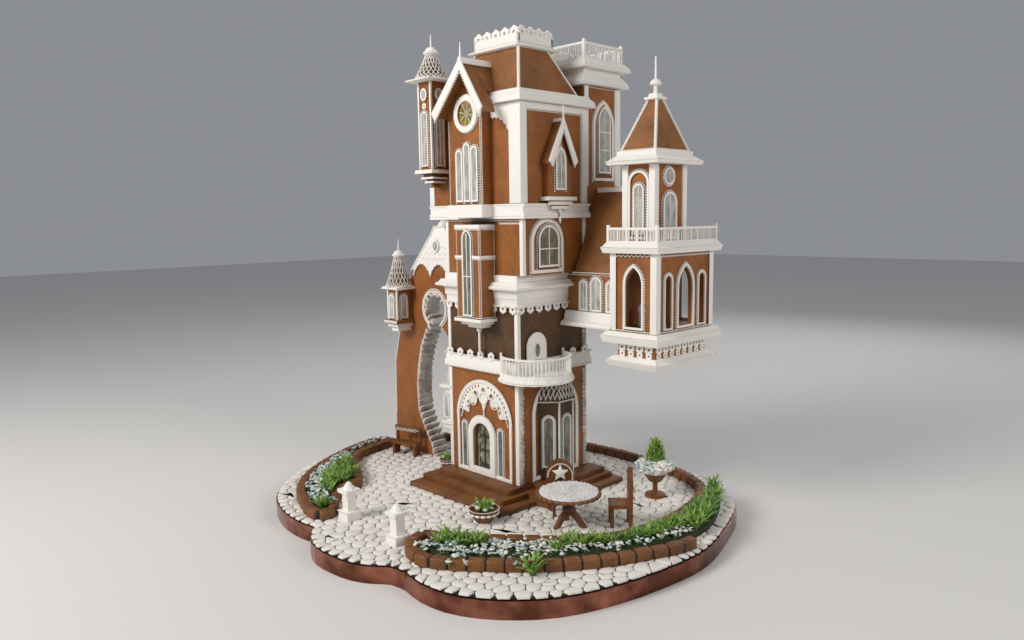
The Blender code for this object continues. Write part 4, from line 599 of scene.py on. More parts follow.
def hand_over(piece: bpy.types.Object, name: str, finish: str, replaces: Sequence[str] = (),
        angle: float = 40.0) -> bpy.types.Object:
    """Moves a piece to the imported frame, shades and finishes it, and lets it ride on the house.

    Args:
        piece: The modelled piece, in the layout frame.
        name: Its name.
        finish: The material it gets.
        replaces: The CAD nodes it stands for.
        angle: Edges sharper than this many degrees stay sharp.

    Returns:
        The piece.
    """
    start_clean()
    piece.name = name
    piece.data.name = name
    piece.data.transform(Matrix.Translation(LAYOUT_SHIFT))
    piece.select_set(True)
    bpy.context.view_layer.objects.active = piece
    bpy.ops.object.shade_smooth_by_angle(angle=math.radians(angle))
    piece.data.materials.clear()
    piece.data.materials.append(bpy.data.materials[finish])
    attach(piece, "root")
    if replaces:
        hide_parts(*replaces)
    log.info("%s: %d faces, %s", name, len(piece.data.polygons), finish)
    return piece


def dress_node(finish: str, *nodes: str) -> None:
    """Gives CAD nodes that stay in view their finish."""
    for node in nodes:
        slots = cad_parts[node].material_slots
        for index in range(len(slots)):
            slots[index].link = "OBJECT"
            slots[index].material = bpy.data.materials[finish]


# Finishes


class Links:
    """Small helpers to wire a shader tree."""

    def __init__(self, tree: bpy.types.NodeTree) -> None:
        """Keeps the tree and where the next node goes."""
        self.tree = tree
        self.place = 0.0

    def add(self, kind: str, **values: object) -> bpy.types.Node:
        """Adds a node and sets its properties, and its inputs given as in_NAME."""
        made = self.tree.nodes.new(kind)
        made.location = (self.place, 0.0)
        self.place += 180.0
        for name, value in values.items():
            if name.startswith("in_"):
                made.inputs[name[3:].replace("_", " ")].default_value = value
            else:
                setattr(made, name, value)
        return made

    def join(self, source: bpy.types.NodeSocket, target: bpy.types.NodeSocket) -> None:
        """Wires an output to an input."""
        self.tree.links.new(source, target)


def new_group(name: str, inputs: dict[str, float], outputs: Sequence[str]) -> tuple[bpy.types.NodeTree,
        Links, bpy.types.Node, bpy.types.Node]:
    """Starts a shader node group with number inputs and number outputs.

    Args:
        name: The group's name.
        inputs: Its input names with their usual values.
        outputs: Its output names.

    Returns:
        The group, its wiring helper, its input node and its output node.
    """
    tree = bpy.data.node_groups.new(name, "ShaderNodeTree")
    for label, usual in inputs.items():
        socket = tree.interface.new_socket(name=label, in_out="INPUT", socket_type="NodeSocketFloat")
        socket.default_value = usual
    for label in outputs:
        tree.interface.new_socket(name=label, in_out="OUTPUT", socket_type="NodeSocketFloat")
    links = Links(tree)
    return tree, links, links.add("NodeGroupInput"), links.add("NodeGroupOutput")


def noise(links: Links, where: bpy.types.NodeSocket, scale: float, detail: float = 4.0,
        rough: float = 0.55) -> bpy.types.Node:
    """A noise texture on the given coordinates."""
    made = links.add("ShaderNodeTexNoise", in_Scale=scale, in_Detail=detail, in_Roughness=rough)
    links.join(where, made.inputs["Vector"])
    return made


def crumb_group() -> bpy.types.NodeTree:
    """Baked crust: broad browning, fine crumb and small pits, as masks and a height."""
    tree, links, given, out = new_group("crumb", {"Fineness": 1.0}, ("Browning", "Crumb", "Height"))
    where = links.add("ShaderNodeTexCoord").outputs["Object"]
    fine = links.add("ShaderNodeVectorMath", operation="SCALE")
    links.join(where, fine.inputs[0])
    links.join(given.outputs["Fineness"], fine.inputs["Scale"])
    broad = noise(links, where, 26.0, 5.0, 0.62)
    crumb = noise(links, fine.outputs[0], 420.0, 6.0, 0.66)
    pits = links.add("ShaderNodeTexVoronoi", in_Scale=330.0)
    links.join(fine.outputs[0], pits.inputs["Vector"])
    pit_depth = links.add("ShaderNodeMapRange", in_From_Min=0.0, in_From_Max=0.34, in_To_Min=-0.8,
        in_To_Max=0.0)
    links.join(pits.outputs["Distance"], pit_depth.inputs["Value"])
    height = links.add("ShaderNodeMath", operation="ADD")
    links.join(crumb.outputs["Fac"], height.inputs[0])
    links.join(pit_depth.outputs["Result"], height.inputs[1])
    links.join(broad.outputs["Fac"], out.inputs["Browning"])
    links.join(crumb.outputs["Fac"], out.inputs["Crumb"])
    links.join(height.outputs[0], out.inputs["Height"])
    return tree


def sugar_group() -> bpy.types.NodeTree:
    """Dried icing: soft unevenness from piping and a fine sugary grain, as a tint mask and a height."""
    tree, links, given, out = new_group("sugar", {"Grain": 0.35}, ("Tint", "Height"))
    where = links.add("ShaderNodeTexCoord").outputs["Object"]
    soft = noise(links, where, 190.0, 3.0, 0.5)
    grain = noise(links, where, 1500.0, 3.0, 0.6)
    share = links.add("ShaderNodeMath", operation="MULTIPLY")
    links.join(grain.outputs["Fac"], share.inputs[0])
    links.join(given.outputs["Grain"], share.inputs[1])
    height = links.add("ShaderNodeMath", operation="ADD")
    links.join(soft.outputs["Fac"], height.inputs[0])
    links.join(share.outputs[0], height.inputs[1])
    tint = noise(links, where, 48.0, 4.0, 0.6)
    links.join(tint.outputs["Fac"], out.inputs["Tint"])
    links.join(height.outputs[0], out.inputs["Height"])
    return tree


Colour = tuple[float, float, float]


@dataclass(frozen=True)
class Finish:
    """What every finish has: its name, two colours that it varies between, and how rough it is."""

    name: str
    base: Colour
    second: Colour
    rough: float = 0.6
    bump: float = 0.3
    relief: float = 0.0004

    def start(self) -> tuple[Links, bpy.types.Node]:
        """Makes the material and returns its wiring helper and its Principled shader."""
        made = bpy.data.materials.new(self.name)
        made.use_nodes = True
        made.diffuse_color = (*self.base, 1.0)
        shader = made.node_tree.nodes["Principled BSDF"]
        shader.inputs["Roughness"].default_value = self.rough
        return Links(made.node_tree), shader

    def colour(self, links: Links, shader: bpy.types.Node, mask: bpy.types.NodeSocket, low: float = 0.38,
            high: float = 0.66) -> None:
        """Lets the base colour run between the two colours along a mask."""
        ramp = links.add("ShaderNodeValToRGB")
        ramp.color_ramp.elements[0].position = low
        ramp.color_ramp.elements[0].color = (*self.base, 1.0)
        ramp.color_ramp.elements[1].position = high
        ramp.color_ramp.elements[1].color = (*self.second, 1.0)
        links.join(mask, ramp.inputs["Fac"])
        links.join(ramp.outputs["Color"], shader.inputs["Base Color"])

    def raise_bump(self, links: Links, shader: bpy.types.Node, height: bpy.types.NodeSocket) -> None:
        """Feeds a height to the shader's normal."""
        bump = links.add("ShaderNodeBump", in_Strength=self.bump, in_Distance=self.relief)
        links.join(height, bump.inputs["Height"])
        links.join(bump.outputs["Normal"], shader.inputs["Normal"])


@dataclass(frozen=True)
class CrustFinish(Finish):
    """Gingerbread: mottled browning with a fine crumb."""

    fineness: float = 1.0

    def make(self) -> None:
        """Builds the material."""
        links, shader = self.start()
        crumb = links.add("ShaderNodeGroup", node_tree=bpy.data.node_groups["crumb"])
        crumb.inputs["Fineness"].default_value = self.fineness
        blend = links.add("ShaderNodeMath", operation="MULTIPLY_ADD")
        blend.inputs[1].default_value = 0.45
        links.join(crumb.outputs["Crumb"], blend.inputs[0])
        share = links.add("ShaderNodeMath", operation="MULTIPLY")
        share.inputs[1].default_value = 0.55
        links.join(crumb.outputs["Browning"], share.inputs[0])
        links.join(share.outputs[0], blend.inputs[2])
        self.colour(links, shader, blend.outputs[0], 0.36, 0.64)
        self.raise_bump(links, shader, crumb.outputs["Height"])


@dataclass(frozen=True)
class IcingFinish(Finish):
    """Royal icing or an iced cobble."""

    grain: float = 0.35

    def make(self) -> None:
        """Builds the material."""
        links, shader = self.start()
        sugar = links.add("ShaderNodeGroup", node_tree=bpy.data.node_groups["sugar"])
        sugar.inputs["Grain"].default_value = self.grain
        self.colour(links, shader, sugar.outputs["Tint"], 0.35, 0.6)
        self.raise_bump(links, shader, sugar.outputs["Height"])


@dataclass(frozen=True)
class FoilFinish(Finish):
    """Crinkled copper-coloured foil round the board; its colour runs lighter on the folds as a painted
    highlight.
    """

    def make(self) -> None:
        """Builds the material."""
        links, shader = self.start()
        shader.inputs["Metallic"].default_value = 0.92
        where = links.add("ShaderNodeTexCoord").outputs["Object"]
        squeeze = links.add("ShaderNodeMapping")
        squeeze.inputs["Scale"].default_value = (1.0, 1.0, 1.0)
        links.join(where, squeeze.inputs["Vector"])
        folds_and_glints = noise(links, squeeze.outputs["Vector"], 26.0, 3.0, 0.5)
        # The fold noise drives the bump and also runs the colour from dark copper up to a painted
        # highlight.
        self.colour(links, shader, folds_and_glints.outputs["Fac"], 0.4, 0.66)
        self.raise_bump(links, shader, folds_and_glints.outputs["Fac"])


@dataclass(frozen=True)
class PaneFinish(Finish):
    """A pane of poured sugar: glossy, with streaks and small bubbles; its colour is the sugar's tint
    darkened as painted shade of the inside behind it.
    """

    def make(self) -> None:
        """Builds the material."""
        links, shader = self.start()
        shader.inputs["Coat Weight"].default_value = 0.6
        shader.inputs["Coat Roughness"].default_value = 0.08
        where = links.add("ShaderNodeTexCoord").outputs["Object"]
        squeeze = links.add("ShaderNodeMapping")
        squeeze.inputs["Scale"].default_value = (1.0, 1.0, 0.45)
        links.join(where, squeeze.inputs["Vector"])
        streaks = noise(links, squeeze.outputs["Vector"], 130.0, 4.0, 0.6)
        self.colour(links, shader, streaks.outputs["Fac"], 0.36, 0.66)
        self.raise_bump(links, shader, streaks.outputs["Fac"])


@dataclass(frozen=True)
class LeafFinish(Finish):
    """Green sugar leaves and grass."""

    def make(self) -> None:
        """Builds the material."""
        links, shader = self.start()
        where = links.add("ShaderNodeTexCoord").outputs["Object"]
        patches = noise(links, where, 130.0, 4.0, 0.6)
        self.colour(links, shader, patches.outputs["Fac"], 0.36, 0.64)
        fibres = noise(links, where, 900.0, 2.0, 0.5)
        self.raise_bump(links, shader, fibres.outputs["Fac"])


FINISHES = (CrustFinish("crust", (0.19, 0.058, 0.01), (0.385, 0.136, 0.026), 0.56, 0.3),
    # crust_dark: dark baked crust; on the second storey it also stands for painted shade.
    CrustFinish("crust_dark", (0.04, 0.019, 0.006), (0.125, 0.057, 0.015), 0.55, 0.4),
    CrustFinish("crust_brick", (0.085, 0.03, 0.008), (0.26, 0.098, 0.023), 0.52, 0.5),
    CrustFinish("crust_roof", (0.145, 0.05, 0.01), (0.35, 0.134, 0.03), 0.58, 0.32),
    CrustFinish("soil", (0.012, 0.014, 0.008), (0.045, 0.055, 0.022), 0.85, 0.6),
    CrustFinish("joint", (0.006, 0.006, 0.006), (0.02, 0.018, 0.016), 0.75, 0.3),
    IcingFinish("icing", (0.7, 0.655, 0.61), (0.8, 0.765, 0.725), 0.46, 0.2),
    IcingFinish("icing_grey", (0.38, 0.345, 0.3), (0.74, 0.705, 0.66), 0.55, 0.5),
    IcingFinish("cobble", (0.37, 0.34, 0.33), (0.6, 0.565, 0.55), 0.42, 0.36, grain=0.6),
    IcingFinish("sugar_top", (0.7, 0.69, 0.675), (0.88, 0.87, 0.86), 0.4, 0.8, 0.0012, grain=1.0),
    IcingFinish("icing_blue", (0.26, 0.43, 0.5), (0.56, 0.68, 0.72), 0.48, 0.2),
    IcingFinish("icing_mint", (0.42, 0.6, 0.52), (0.7, 0.8, 0.74), 0.48, 0.2),
    # foil: its second colour is a painted highlight on the copper.
    FoilFinish("foil", (0.14, 0.046, 0.028), (0.42, 0.165, 0.11), 0.17, 0.3, 0.0022),
    # Pane colours: the sugar's tint, darkened as painted shade of the inside behind the panes.
    PaneFinish("pane", (0.1, 0.095, 0.072), (0.26, 0.25, 0.205), 0.18, 0.15),
    PaneFinish("pane_pale", (0.3, 0.3, 0.26), (0.56, 0.56, 0.51), 0.2, 0.2),
    PaneFinish("pane_door", (0.09, 0.115, 0.075), (0.33, 0.37, 0.27), 0.18, 0.15),
    PaneFinish("pane_amber", (0.26, 0.12, 0.02), (0.52, 0.31, 0.085), 0.18, 0.15),
    LeafFinish("grass", (0.12, 0.26, 0.035), (0.33, 0.5, 0.095), 0.48, 0.2),
    LeafFinish("grass_dark", (0.045, 0.13, 0.026), (0.15, 0.29, 0.06), 0.5, 0.2),)


def make_finishes() -> None:
    """Builds the shared node groups and every material."""
    crumb_group()
    sugar_group()
    for finish in FINISHES:
        finish.make()


# The parts of the house


@dataclass
class Trimmer:
    """Piped icing, strips and windows for one part of the house, kept in three batches."""

    name: str
    crust: str = "gingerbread"
    glass: str = "pane"
    icing: Batch = field(init=False)
    dots: Batch = field(init=False)
    panes: Batch = field(init=False)

    def __post_init__(self) -> None:
        """Starts the batches."""
        self.icing = Batch(self.name + "_icing")
        self.dots = Batch(self.name + "_dots")
        self.panes = Batch(self.name + "_panes", self.glass, self.crust)

    def strips(self, plan: Plan, z0: float, z1: float, width: float = 0.0045, proud: float = 0.0016,
            corners: Iterable[tuple[int, int]] = ((0, 0), (1, 0), (1, 1), (0, 1))) -> None:
        """Flat icing strips up the corners of a storey."""
        for right, back in corners:
            x = plan[1] if right else plan[0]
            y = plan[3] if back else plan[2]
            x0, x1 = (x - width, x + proud) if right else (x - proud, x + width)
            y0, y1 = (y - width, y + proud) if back else (y - proud, y + width)
            self.icing.absorb(block(x0, x1, y0, y1, z0, z1))

    def line(self, wall: Wall, places: Sequence[tuple[float, float]], depth: float = 0.0004,
            radius: float = BEAD, pitch: float = BEAD_PITCH, closed: bool = False) -> None:
        """A string of dots on a wall through (s, z) places."""
        self.dots.pipe([wall.point(s, z, depth) for s, z in places], radius, pitch, closed)

    def hem(self, plan: Plan, z: float, radius: float = BEAD, pitch: float = BEAD_PITCH,
            sides: Iterable[Side] = tuple(Side)) -> None:
        """A level string of dots round a storey."""
        for side in sides:
            low, high = span_of(plan, side)
            self.line(wall_of(plan, side), ((low, z), (high, z)), 0.0, radius, pitch)

    def opening(self, wall: Wall, outline: Outline, width: float = 0.002, proud: float = 0.0027,
            dotted: bool = True, pane: bool = True, bars: Sequence[tuple[float, float, float,
            float]] = ()) -> None:
        """A window: a sugar pane, an icing frame, its bars and a dotted edge.

        Args:
            wall: The wall it is in.
            outline: The outer corners of its frame.
            width: How wide the frame is.
            proud: How far the frame stands out.
            dotted: Whether dots run round the frame.
            pane: Whether it has a pane.
            bars: Glazing bars as (s0, s1, z0, z1).
        """
        if pane:
            self.panes.absorb(panel(wall, outline, -0.0004, proud * 0.86))
        self.icing.absorb(border(wall, outline, width, -0.0003, proud))
        for s0, s1, z0, z1 in bars:
            self.icing.absorb(plate(wall, s0, s1, z0, z1, -0.0003, proud * 1.05))
        if dotted:
            self.serrate(wall, outline)

    def windows(self, plan: Plan, rows: Sequence[tuple[Side, Sequence[float]]], half: float, z0: float,
            spring: float, bar_top: float, point: float = 0.0) -> None:
        """Rows of equal windows with one upright bar; a point makes their heads pointed."""
        for side, places in rows:
            for s in places:
                outline = pointed_arch(s, half, z0, spring, point) if point else round_arch(s, half, z0,
                    spring, 10)
                self.opening(wall_of(plan, side), outline, bars=(mullion(s, z0 + 0.001, bar_top),))

    def serrate(self, wall: Wall, outline: Outline, by: float = 0.0012, radius: float = 0.0013,
            pitch: float = 0.0031) -> None:
        """Dots that stand out round the edge of a frame."""
        mid_s = (max(s for s, _ in outline) + min(s for s, _ in outline)) / 2
        mid_z = (max(z for _, z in outline) + min(z for _, z in outline)) / 2
        half_s = max(s for s, _ in outline) - mid_s
        half_z = max(z for _, z in outline) - mid_z
        wide = [(mid_s + (s - mid_s) * (1.0 + by / half_s),
            mid_z + (z - mid_z) * (1.0 + by / half_z)) for s, z in outline]
        self.line(wall, wide, 0.0008, radius, pitch)

    def flowers(self, wall: Wall, z: float, low: float, high: float, count: int, radius: float,
            depth: float = 0.0) -> None:
        """A row of flat icing flowers with a hole in the middle."""
        for index in range(count):
            s = low + (high - low) * (index + 0.5) / count
            place = Matrix.Translation(wall.point(s, z, depth)) @ wall.turn() @ Matrix.Scale(radius, 4)
            self.icing.copy(SHAPES["flower"], place)

    def hand_over(self, replaces: Sequence[str] = ()) -> None:
        """Makes the batches pieces of the house; the icing stands for the given nodes."""
        if self.icing.count:
            self.icing.hand_over(rounding=SKIN, replaces=replaces)
        if self.dots.count:
            self.dots.hand_over(angle=180.0)
        if self.panes.count:
            self.panes.hand_over()


SHAPES: dict[str, Unit] = {}


def make_shapes() -> None:
    """Models the small shapes that repeat."""
    SHAPES["bead"] = bead_unit(1)
    SHAPES["ball"] = bead_unit(2)
    SHAPES["flower"] = flower_unit()
    SHAPES["blossom"] = blossom_unit()
    SHAPES["brick"] = brick_unit()
    for index, wave in enumerate((0.16, 0.32)):
        SHAPES[f"blade{index}"] = blade_unit(wave)


@dataclass
class GroundStorey:
    """Door front, lace arch, bay front and the steps."""

    plan: Plan = HOUSE
    door_middle: float = -0.0365
    lace_middle: float = -0.0326
    lace_half: float = 0.0517
    lace_spring: float = 0.114
    bay_middle: float = 0.0768
    bay_front: float = 0.0485
    bay_back: float = 0.0298

    def lace(self, trim: Trimmer) -> None:
        """The big arch of lace over the door: rim, scalloped veil, scrolls and a crowned knot."""
        front = wall_of(self.plan, Side.FRONT)
        rim = round_arch(self.lace_middle, self.lace_half, PLINTH_TOP + 0.0004, self.lace_spring, 28)
        veil_holes = Batch("lace_holes", "crust", "gingerbread")
        trim.icing.absorb(border(front, rim, 0.004, GAP, 0.003))
        trim.line(front, rim[1:-1], 0.0024, 0.0014, 0.0029)
        reach = self.lace_half - 0.0034
        lobes = ((0.0, 1.0), (10.0, 1.0), (10.0, 0.66), (16.0, 0.6), (22.0, 0.72), (30.0, 0.76),
            (38.0, 0.66), (45.0, 0.58), (52.0, 0.5), (60.0, 0.56), (67.0, 0.66), (74.0, 0.6), (80.0, 0.42),
            (86.0, 0.28), (90.0, 0.22))
        veil = [(reach * share * math.cos(math.radians(turn)),
            reach * share * math.sin(math.radians(turn))) for turn, share in lobes[2:]]
        outer = [(reach * math.cos(math.radians(turn)),
            reach * math.sin(math.radians(turn))) for turn in (90.0, 78.0, 66.0, 54.0, 42.0, 30.0, 20.0,
            10.0)]
        for side in (-1.0, 1.0):
            half = [(self.lace_middle + side * s, self.lace_spring + z) for s, z in veil + outer]
            trim.icing.absorb(panel(front, half, GAP, 0.0018))
            edge = half[:len(veil)]
            trim.line(front, edge, 0.0014, 0.0011, 0.0018)
            holes = [(self.lace_middle + side * (reach - 0.004) * math.cos(math.radians(turn)),
                self.lace_spring + (reach - 0.004) * math.sin(math.radians(turn))) for turn in (14.0, 22.0,
                30.0, 38.0, 46.0, 54.0, 62.0, 70.0, 78.0)]
            for s, z in holes:
                gap = oval(s, z, 0.0012, 0.0017, 8)
                veil_holes.absorb(panel(front, gap, 0.001, 0.0021))
        for side in (-1.0, 1.0):
            for turns, reach, start, radius in ((1.6, 0.0098, 0.021, 0.001), (1.3, 0.0066, 0.033, 0.0009)):
                middle = (self.lace_middle + side * start,
                    self.lace_spring + 0.0235 - (start - 0.021) * 0.9)
                scroll = [(middle[0] + side * reach * (1.0 - k / 30.0)
                    * math.cos(turns * math.tau * k / 26 + 1.2),
                    middle[1] + reach * (1.0 - k / 30.0) * math.sin(turns * math.tau * k / 26 + 1.2))
                    for k in range(26)]
                trim.line(front, scroll, 0.002, radius, 0.0014)
            drop = [(self.lace_middle + side * (0.0445 - 0.001 * k),
                self.lace_spring - 0.002 + 0.0025 * k) for k in range(5)]
            trim.line(front, drop, 0.0012, 0.0014, 0.0026)
        for across, up, wide, high in ((0.0, 0.0385, 0.003, 0.0046), (-0.015, 0.033, 0.0038, 0.0036),
                (0.015, 0.033, 0.0038, 0.0036), (-0.029, 0.019, 0.003, 0.0034),
                (0.029, 0.019, 0.003, 0.0034)):
            ring = oval(self.lace_middle + across, self.lace_spring + up, wide, high, 14)
            veil_holes.absorb(panel(front, ring, 0.001, 0.0022))
            trim.line(front, ring, 0.0024, 0.001, 0.0018, closed=True)
        veil_holes.hand_over()
        knot = oval(self.lace_middle, self.lace_spring + 0.029, 0.0085, 0.0085, 16)
        trim.icing.absorb(border(front, knot, 0.0022, GAP, 0.003))
        for angle in range(8):
            turn = angle * math.pi / 4.0
            ray = [(self.lace_middle + r * math.cos(turn),
                self.lace_spring + 0.029 + r * math.sin(turn)) for r in (0.0015, 0.0062)]
            trim.line(front, ray, 0.0012, 0.0008, 0.0015)
        stem = [(self.lace_middle, self.lace_spring + z) for z in (0.019, 0.006)]
        trim.line(front, stem, 0.0014, 0.0018, 0.003)

    def door(self, trim: Trimmer) -> None:
        """The arched door with its pane, scrolled ironwork and frame, and the sidelights."""
        front = wall_of(self.plan, Side.FRONT)
        trim.icing.absorb(border(front, round_arch(self.door_middle, 0.0255, PLINTH_TOP + 0.0006, 0.0925,
            16), 0.009, GAP, 0.004))
        trim.line(front, round_arch(self.door_middle, 0.0262, PLINTH_TOP + 0.001, 0.0925, 16), 0.002)
        trim.line(front, round_arch(self.door_middle, 0.0168, PLINTH_TOP + 0.001, 0.0935, 14), 0.0034,
            0.0009, 0.0018)
        pane = Batch("door_pane", "pane_door", "gingerbread")
        pane.absorb(panel(front, round_arch(self.door_middle, 0.015, PLINTH_TOP + 0.0016, 0.0945, 14),
            -0.0052, -0.0036))
        pane.hand_over()
        iron = Batch("door_ironwork", "crust_dark", "dark_gingerbread")
        for side in (-1.0, 1.0):
            for foot in (0.048, 0.067, 0.086):
                curl = [front.point(self.door_middle + side * (0.0062 + 0.0042 * math.cos(0.55 * k)),
                    foot + 0.0008 * k + 0.0036 * math.sin(0.55 * k), -0.003) for k in range(14)]
                iron.pipe(curl, 0.0008, 0.0011)
        for offset in (-0.0004, 0.0):
            spine = [front.point(self.door_middle + offset, z, -0.003) for z in (0.0425, 0.107)]
            iron.pipe(spine, 0.0009, 0.0012)
        iron.hand_over(angle=180.0)
        for offset in (-0.0342, 0.0342):
            light = round_arch(self.door_middle + offset, 0.0052, 0.044, 0.101, 8)
            trim.opening(front, light, 0.0016, 0.0022)

    def bay(self, trim: Trimmer) -> None:
        """The three-sided bay with its windows, white frame and latticed dome."""
        corners = ((self.bay_back, 0.045), (self.bay_front, 0.064), (self.bay_front, 0.0895),
            (self.bay_back, 0.1085))
        right = Wall(Side.RIGHT, self.bay_front)
        trim.opening(right, round_arch(self.bay_middle,  0.0078, 0.056, 0.115, 10), 0.0018, 0.0018)
        for x, y in corners[1:3]:
            post = [Vector((x + 0.0004, y, z)) for z in (PLINTH_TOP + 0.001, 0.1395)]
            trim.dots.pipe(post, 0.0018, 0.0026)
        for (ax, ay), (bx, by) in ((corners[0], corners[1]), (corners[3], corners[2])):
            middle = Vector(((ax + bx) / 2, (ay + by) / 2, 0.0))
            across = Vector((bx - ax, by - ay, 0.0)).normalized()
            outward = Vector((across.y, -across.x, 0.0))
            if outward.x < 0.0:
                outward = -outward
            for half, low, high, lift, batch in ((0.0075, 0.056, 0.115, 0.001, trim.panes),
                    (0.0075, 0.056, 0.115, 0.0022, trim.icing)):
                outline = round_arch(0.0, half, low, high, 10)
                piece = flat_shape([middle + across * s + UP * z - outward * GAP for s, z in outline])
                all_in_edit()
                if batch is trim.icing:
                    bpy.ops.mesh.inset(thickness=0.0018, depth=0.0)
                    bpy.ops.mesh.delete(type="FACE")
                    bpy.ops.mesh.select_all(action="SELECT")
                bpy.ops.mesh.extrude_region_move(TRANSFORM_OT_translate={"value": outward * lift})
                close_edit()
                batch.absorb(piece)
            rim = [middle + across * s + UP * z + outward * 0.0008 for s,
                z in round_arch(0.0, 0.0086, 0.055, 0.115, 10)]
            trim.dots.pipe(rim)
        side = wall_of(self.plan, Side.RIGHT)
        arch = round_arch(self.bay_middle,  0.043, PLINTH_TOP + 0.0005, 0.124, 18)
        trim.icing.absorb(border(side, arch, 0.005, GAP, 0.0022))
        trim.line(side, arch, 0.0014, 0.0013, 0.0027)
        self.dome(trim, corners)

    def dome(self, trim: Trimmer, corners: Sequence[tuple[float, float]]) -> None:
        """The bay's roof: a brown dome under a net of piped scallops."""
        middle = Vector((self.bay_back, self.bay_middle))
        levels = ((1.14, 0.1403), (1.12, 0.1436), (1.02, 0.152), (0.84, 0.16), (0.57, 0.166), (0.2, 0.17))
        start_clean()
        piece = flat_shape([Vector((middle.x + (x - middle.x) * levels[0][0],
            middle.y + (y - middle.y) * levels[0][0], levels[0][1])) for x, y in corners])
        bpy.ops.object.mode_set(mode="EDIT")
        bpy.ops.mesh.select_all(action="SELECT")
        for share, z in levels[1:]:
            bpy.ops.mesh.extrude_region_move(TRANSFORM_OT_translate={"value": (0.0, 0.0, 0.001)})
            mesh = bmesh.from_edit_mesh(piece.data)
            chosen = [v for v in mesh.verts if v.select]
            for corner, (x, y) in zip(chosen, corners):
                corner.co = (middle.x + (x - middle.x) * share, middle.y + (y - middle.y) * share, z)
            bmesh.update_edit_mesh(piece.data)
        close_edit()
        hand_over(piece, "bay_dome", "crust_dark", ["bay_roof"])
        for row, ((low, z0), (high, z1)) in enumerate(zip(levels[1:-1], levels[2:])):
            for start, end in zip(corners, corners[1:]):
                ends = []
                for share, z in ((low, z0), (high, z1)):
                    ends.append([Vector((middle.x + (x - middle.x) * share,
                        middle.y + (y - middle.y) * share, z)) for x, y in (start, end)])
                count = 5 - row
                for index in range(count):
                    foot_a = ends[0][0].lerp(ends[0][1], index / count)
                    foot_b = ends[0][0].lerp(ends[0][1], (index + 1) / count)
                    top = ends[1][0].lerp(ends[1][1], (index + 0.5) / count)
                    lift = Vector((0.0006, 0.0, 0.0006))
                    arc = [foot_a + lift, foot_a.lerp(top, 0.62) + lift, top + lift,
                        foot_b.lerp(top, 0.62) + lift, foot_b + lift]
                    trim.dots.pipe(arc, 0.00085, 0.0013)
        rim = [Vector((middle.x + (x - middle.x) * 1.16, middle.y + (y - middle.y) * 1.16, 0.1412)) for x,
            y in corners]
        trim.dots.pipe(rim, 0.0013, 0.0026)

    def quoins(self) -> None:
        """Rough iced stones up the corners of the bay front."""
        rng = random.Random(3)
        stones = Batch("quoins", "icing_grey", "icing")
        right = wall_of(self.plan, Side.RIGHT)
        for low, high in ((0.0118, 0.0198), (0.1296, 0.1376)):
            z = PLINTH_TOP + 0.0006
            while z < GROUND_TOP - 0.005:
                rise = rng.uniform(0.0052, 0.0068)
                inset = rng.uniform(0.0, 0.0014)
                corners = [(low + inset * 0.4, z), (high - inset, z), (high - inset, z + rise - 0.0007),
                    (low + inset * 0.4, z + rise - 0.0007)]
                stones.absorb(panel(right, corners, GAP * -1.0, rng.uniform(0.0014, 0.002)))
                z += rise
        stones.hand_over(rounding=0.0006)

    def build(self) -> None:
        """Dresses the ground storey."""
        dress_node("crust", "ground_storey")
        dress_node("crust_dark", "bay")
        dress_node("crust_brick", "step_low", "step_mid", "step_top")
        trim = Trimmer("ground")
        trim.strips(self.plan, PLINTH_TOP + 0.0004, GROUND_TOP - 0.0002, corners=((0, 0), (1, 0), (0, 1)))
        self.lace(trim)
        self.door(trim)
        self.bay(trim)
        self.quoins()
        for side, places in ((Side.LEFT, (0.095, 0.118)), (Side.BACK, (-0.07, -0.035, 0.0))):
            for s in places:
                outline = round_arch(s, 0.0085, 0.075, 0.128, 10)
                bars = (mullion(s, 0.076, 0.135), (s - 0.0075, s + 0.0075, 0.101, 0.102))
                trim.opening(wall_of(self.plan, side), outline, bars=bars)
        trim.hem(self.plan, PLINTH_TOP + 0.0012, sides=(Side.BACK, Side.LEFT))
        trim.hand_over(["lace_arch", "door_frame"])


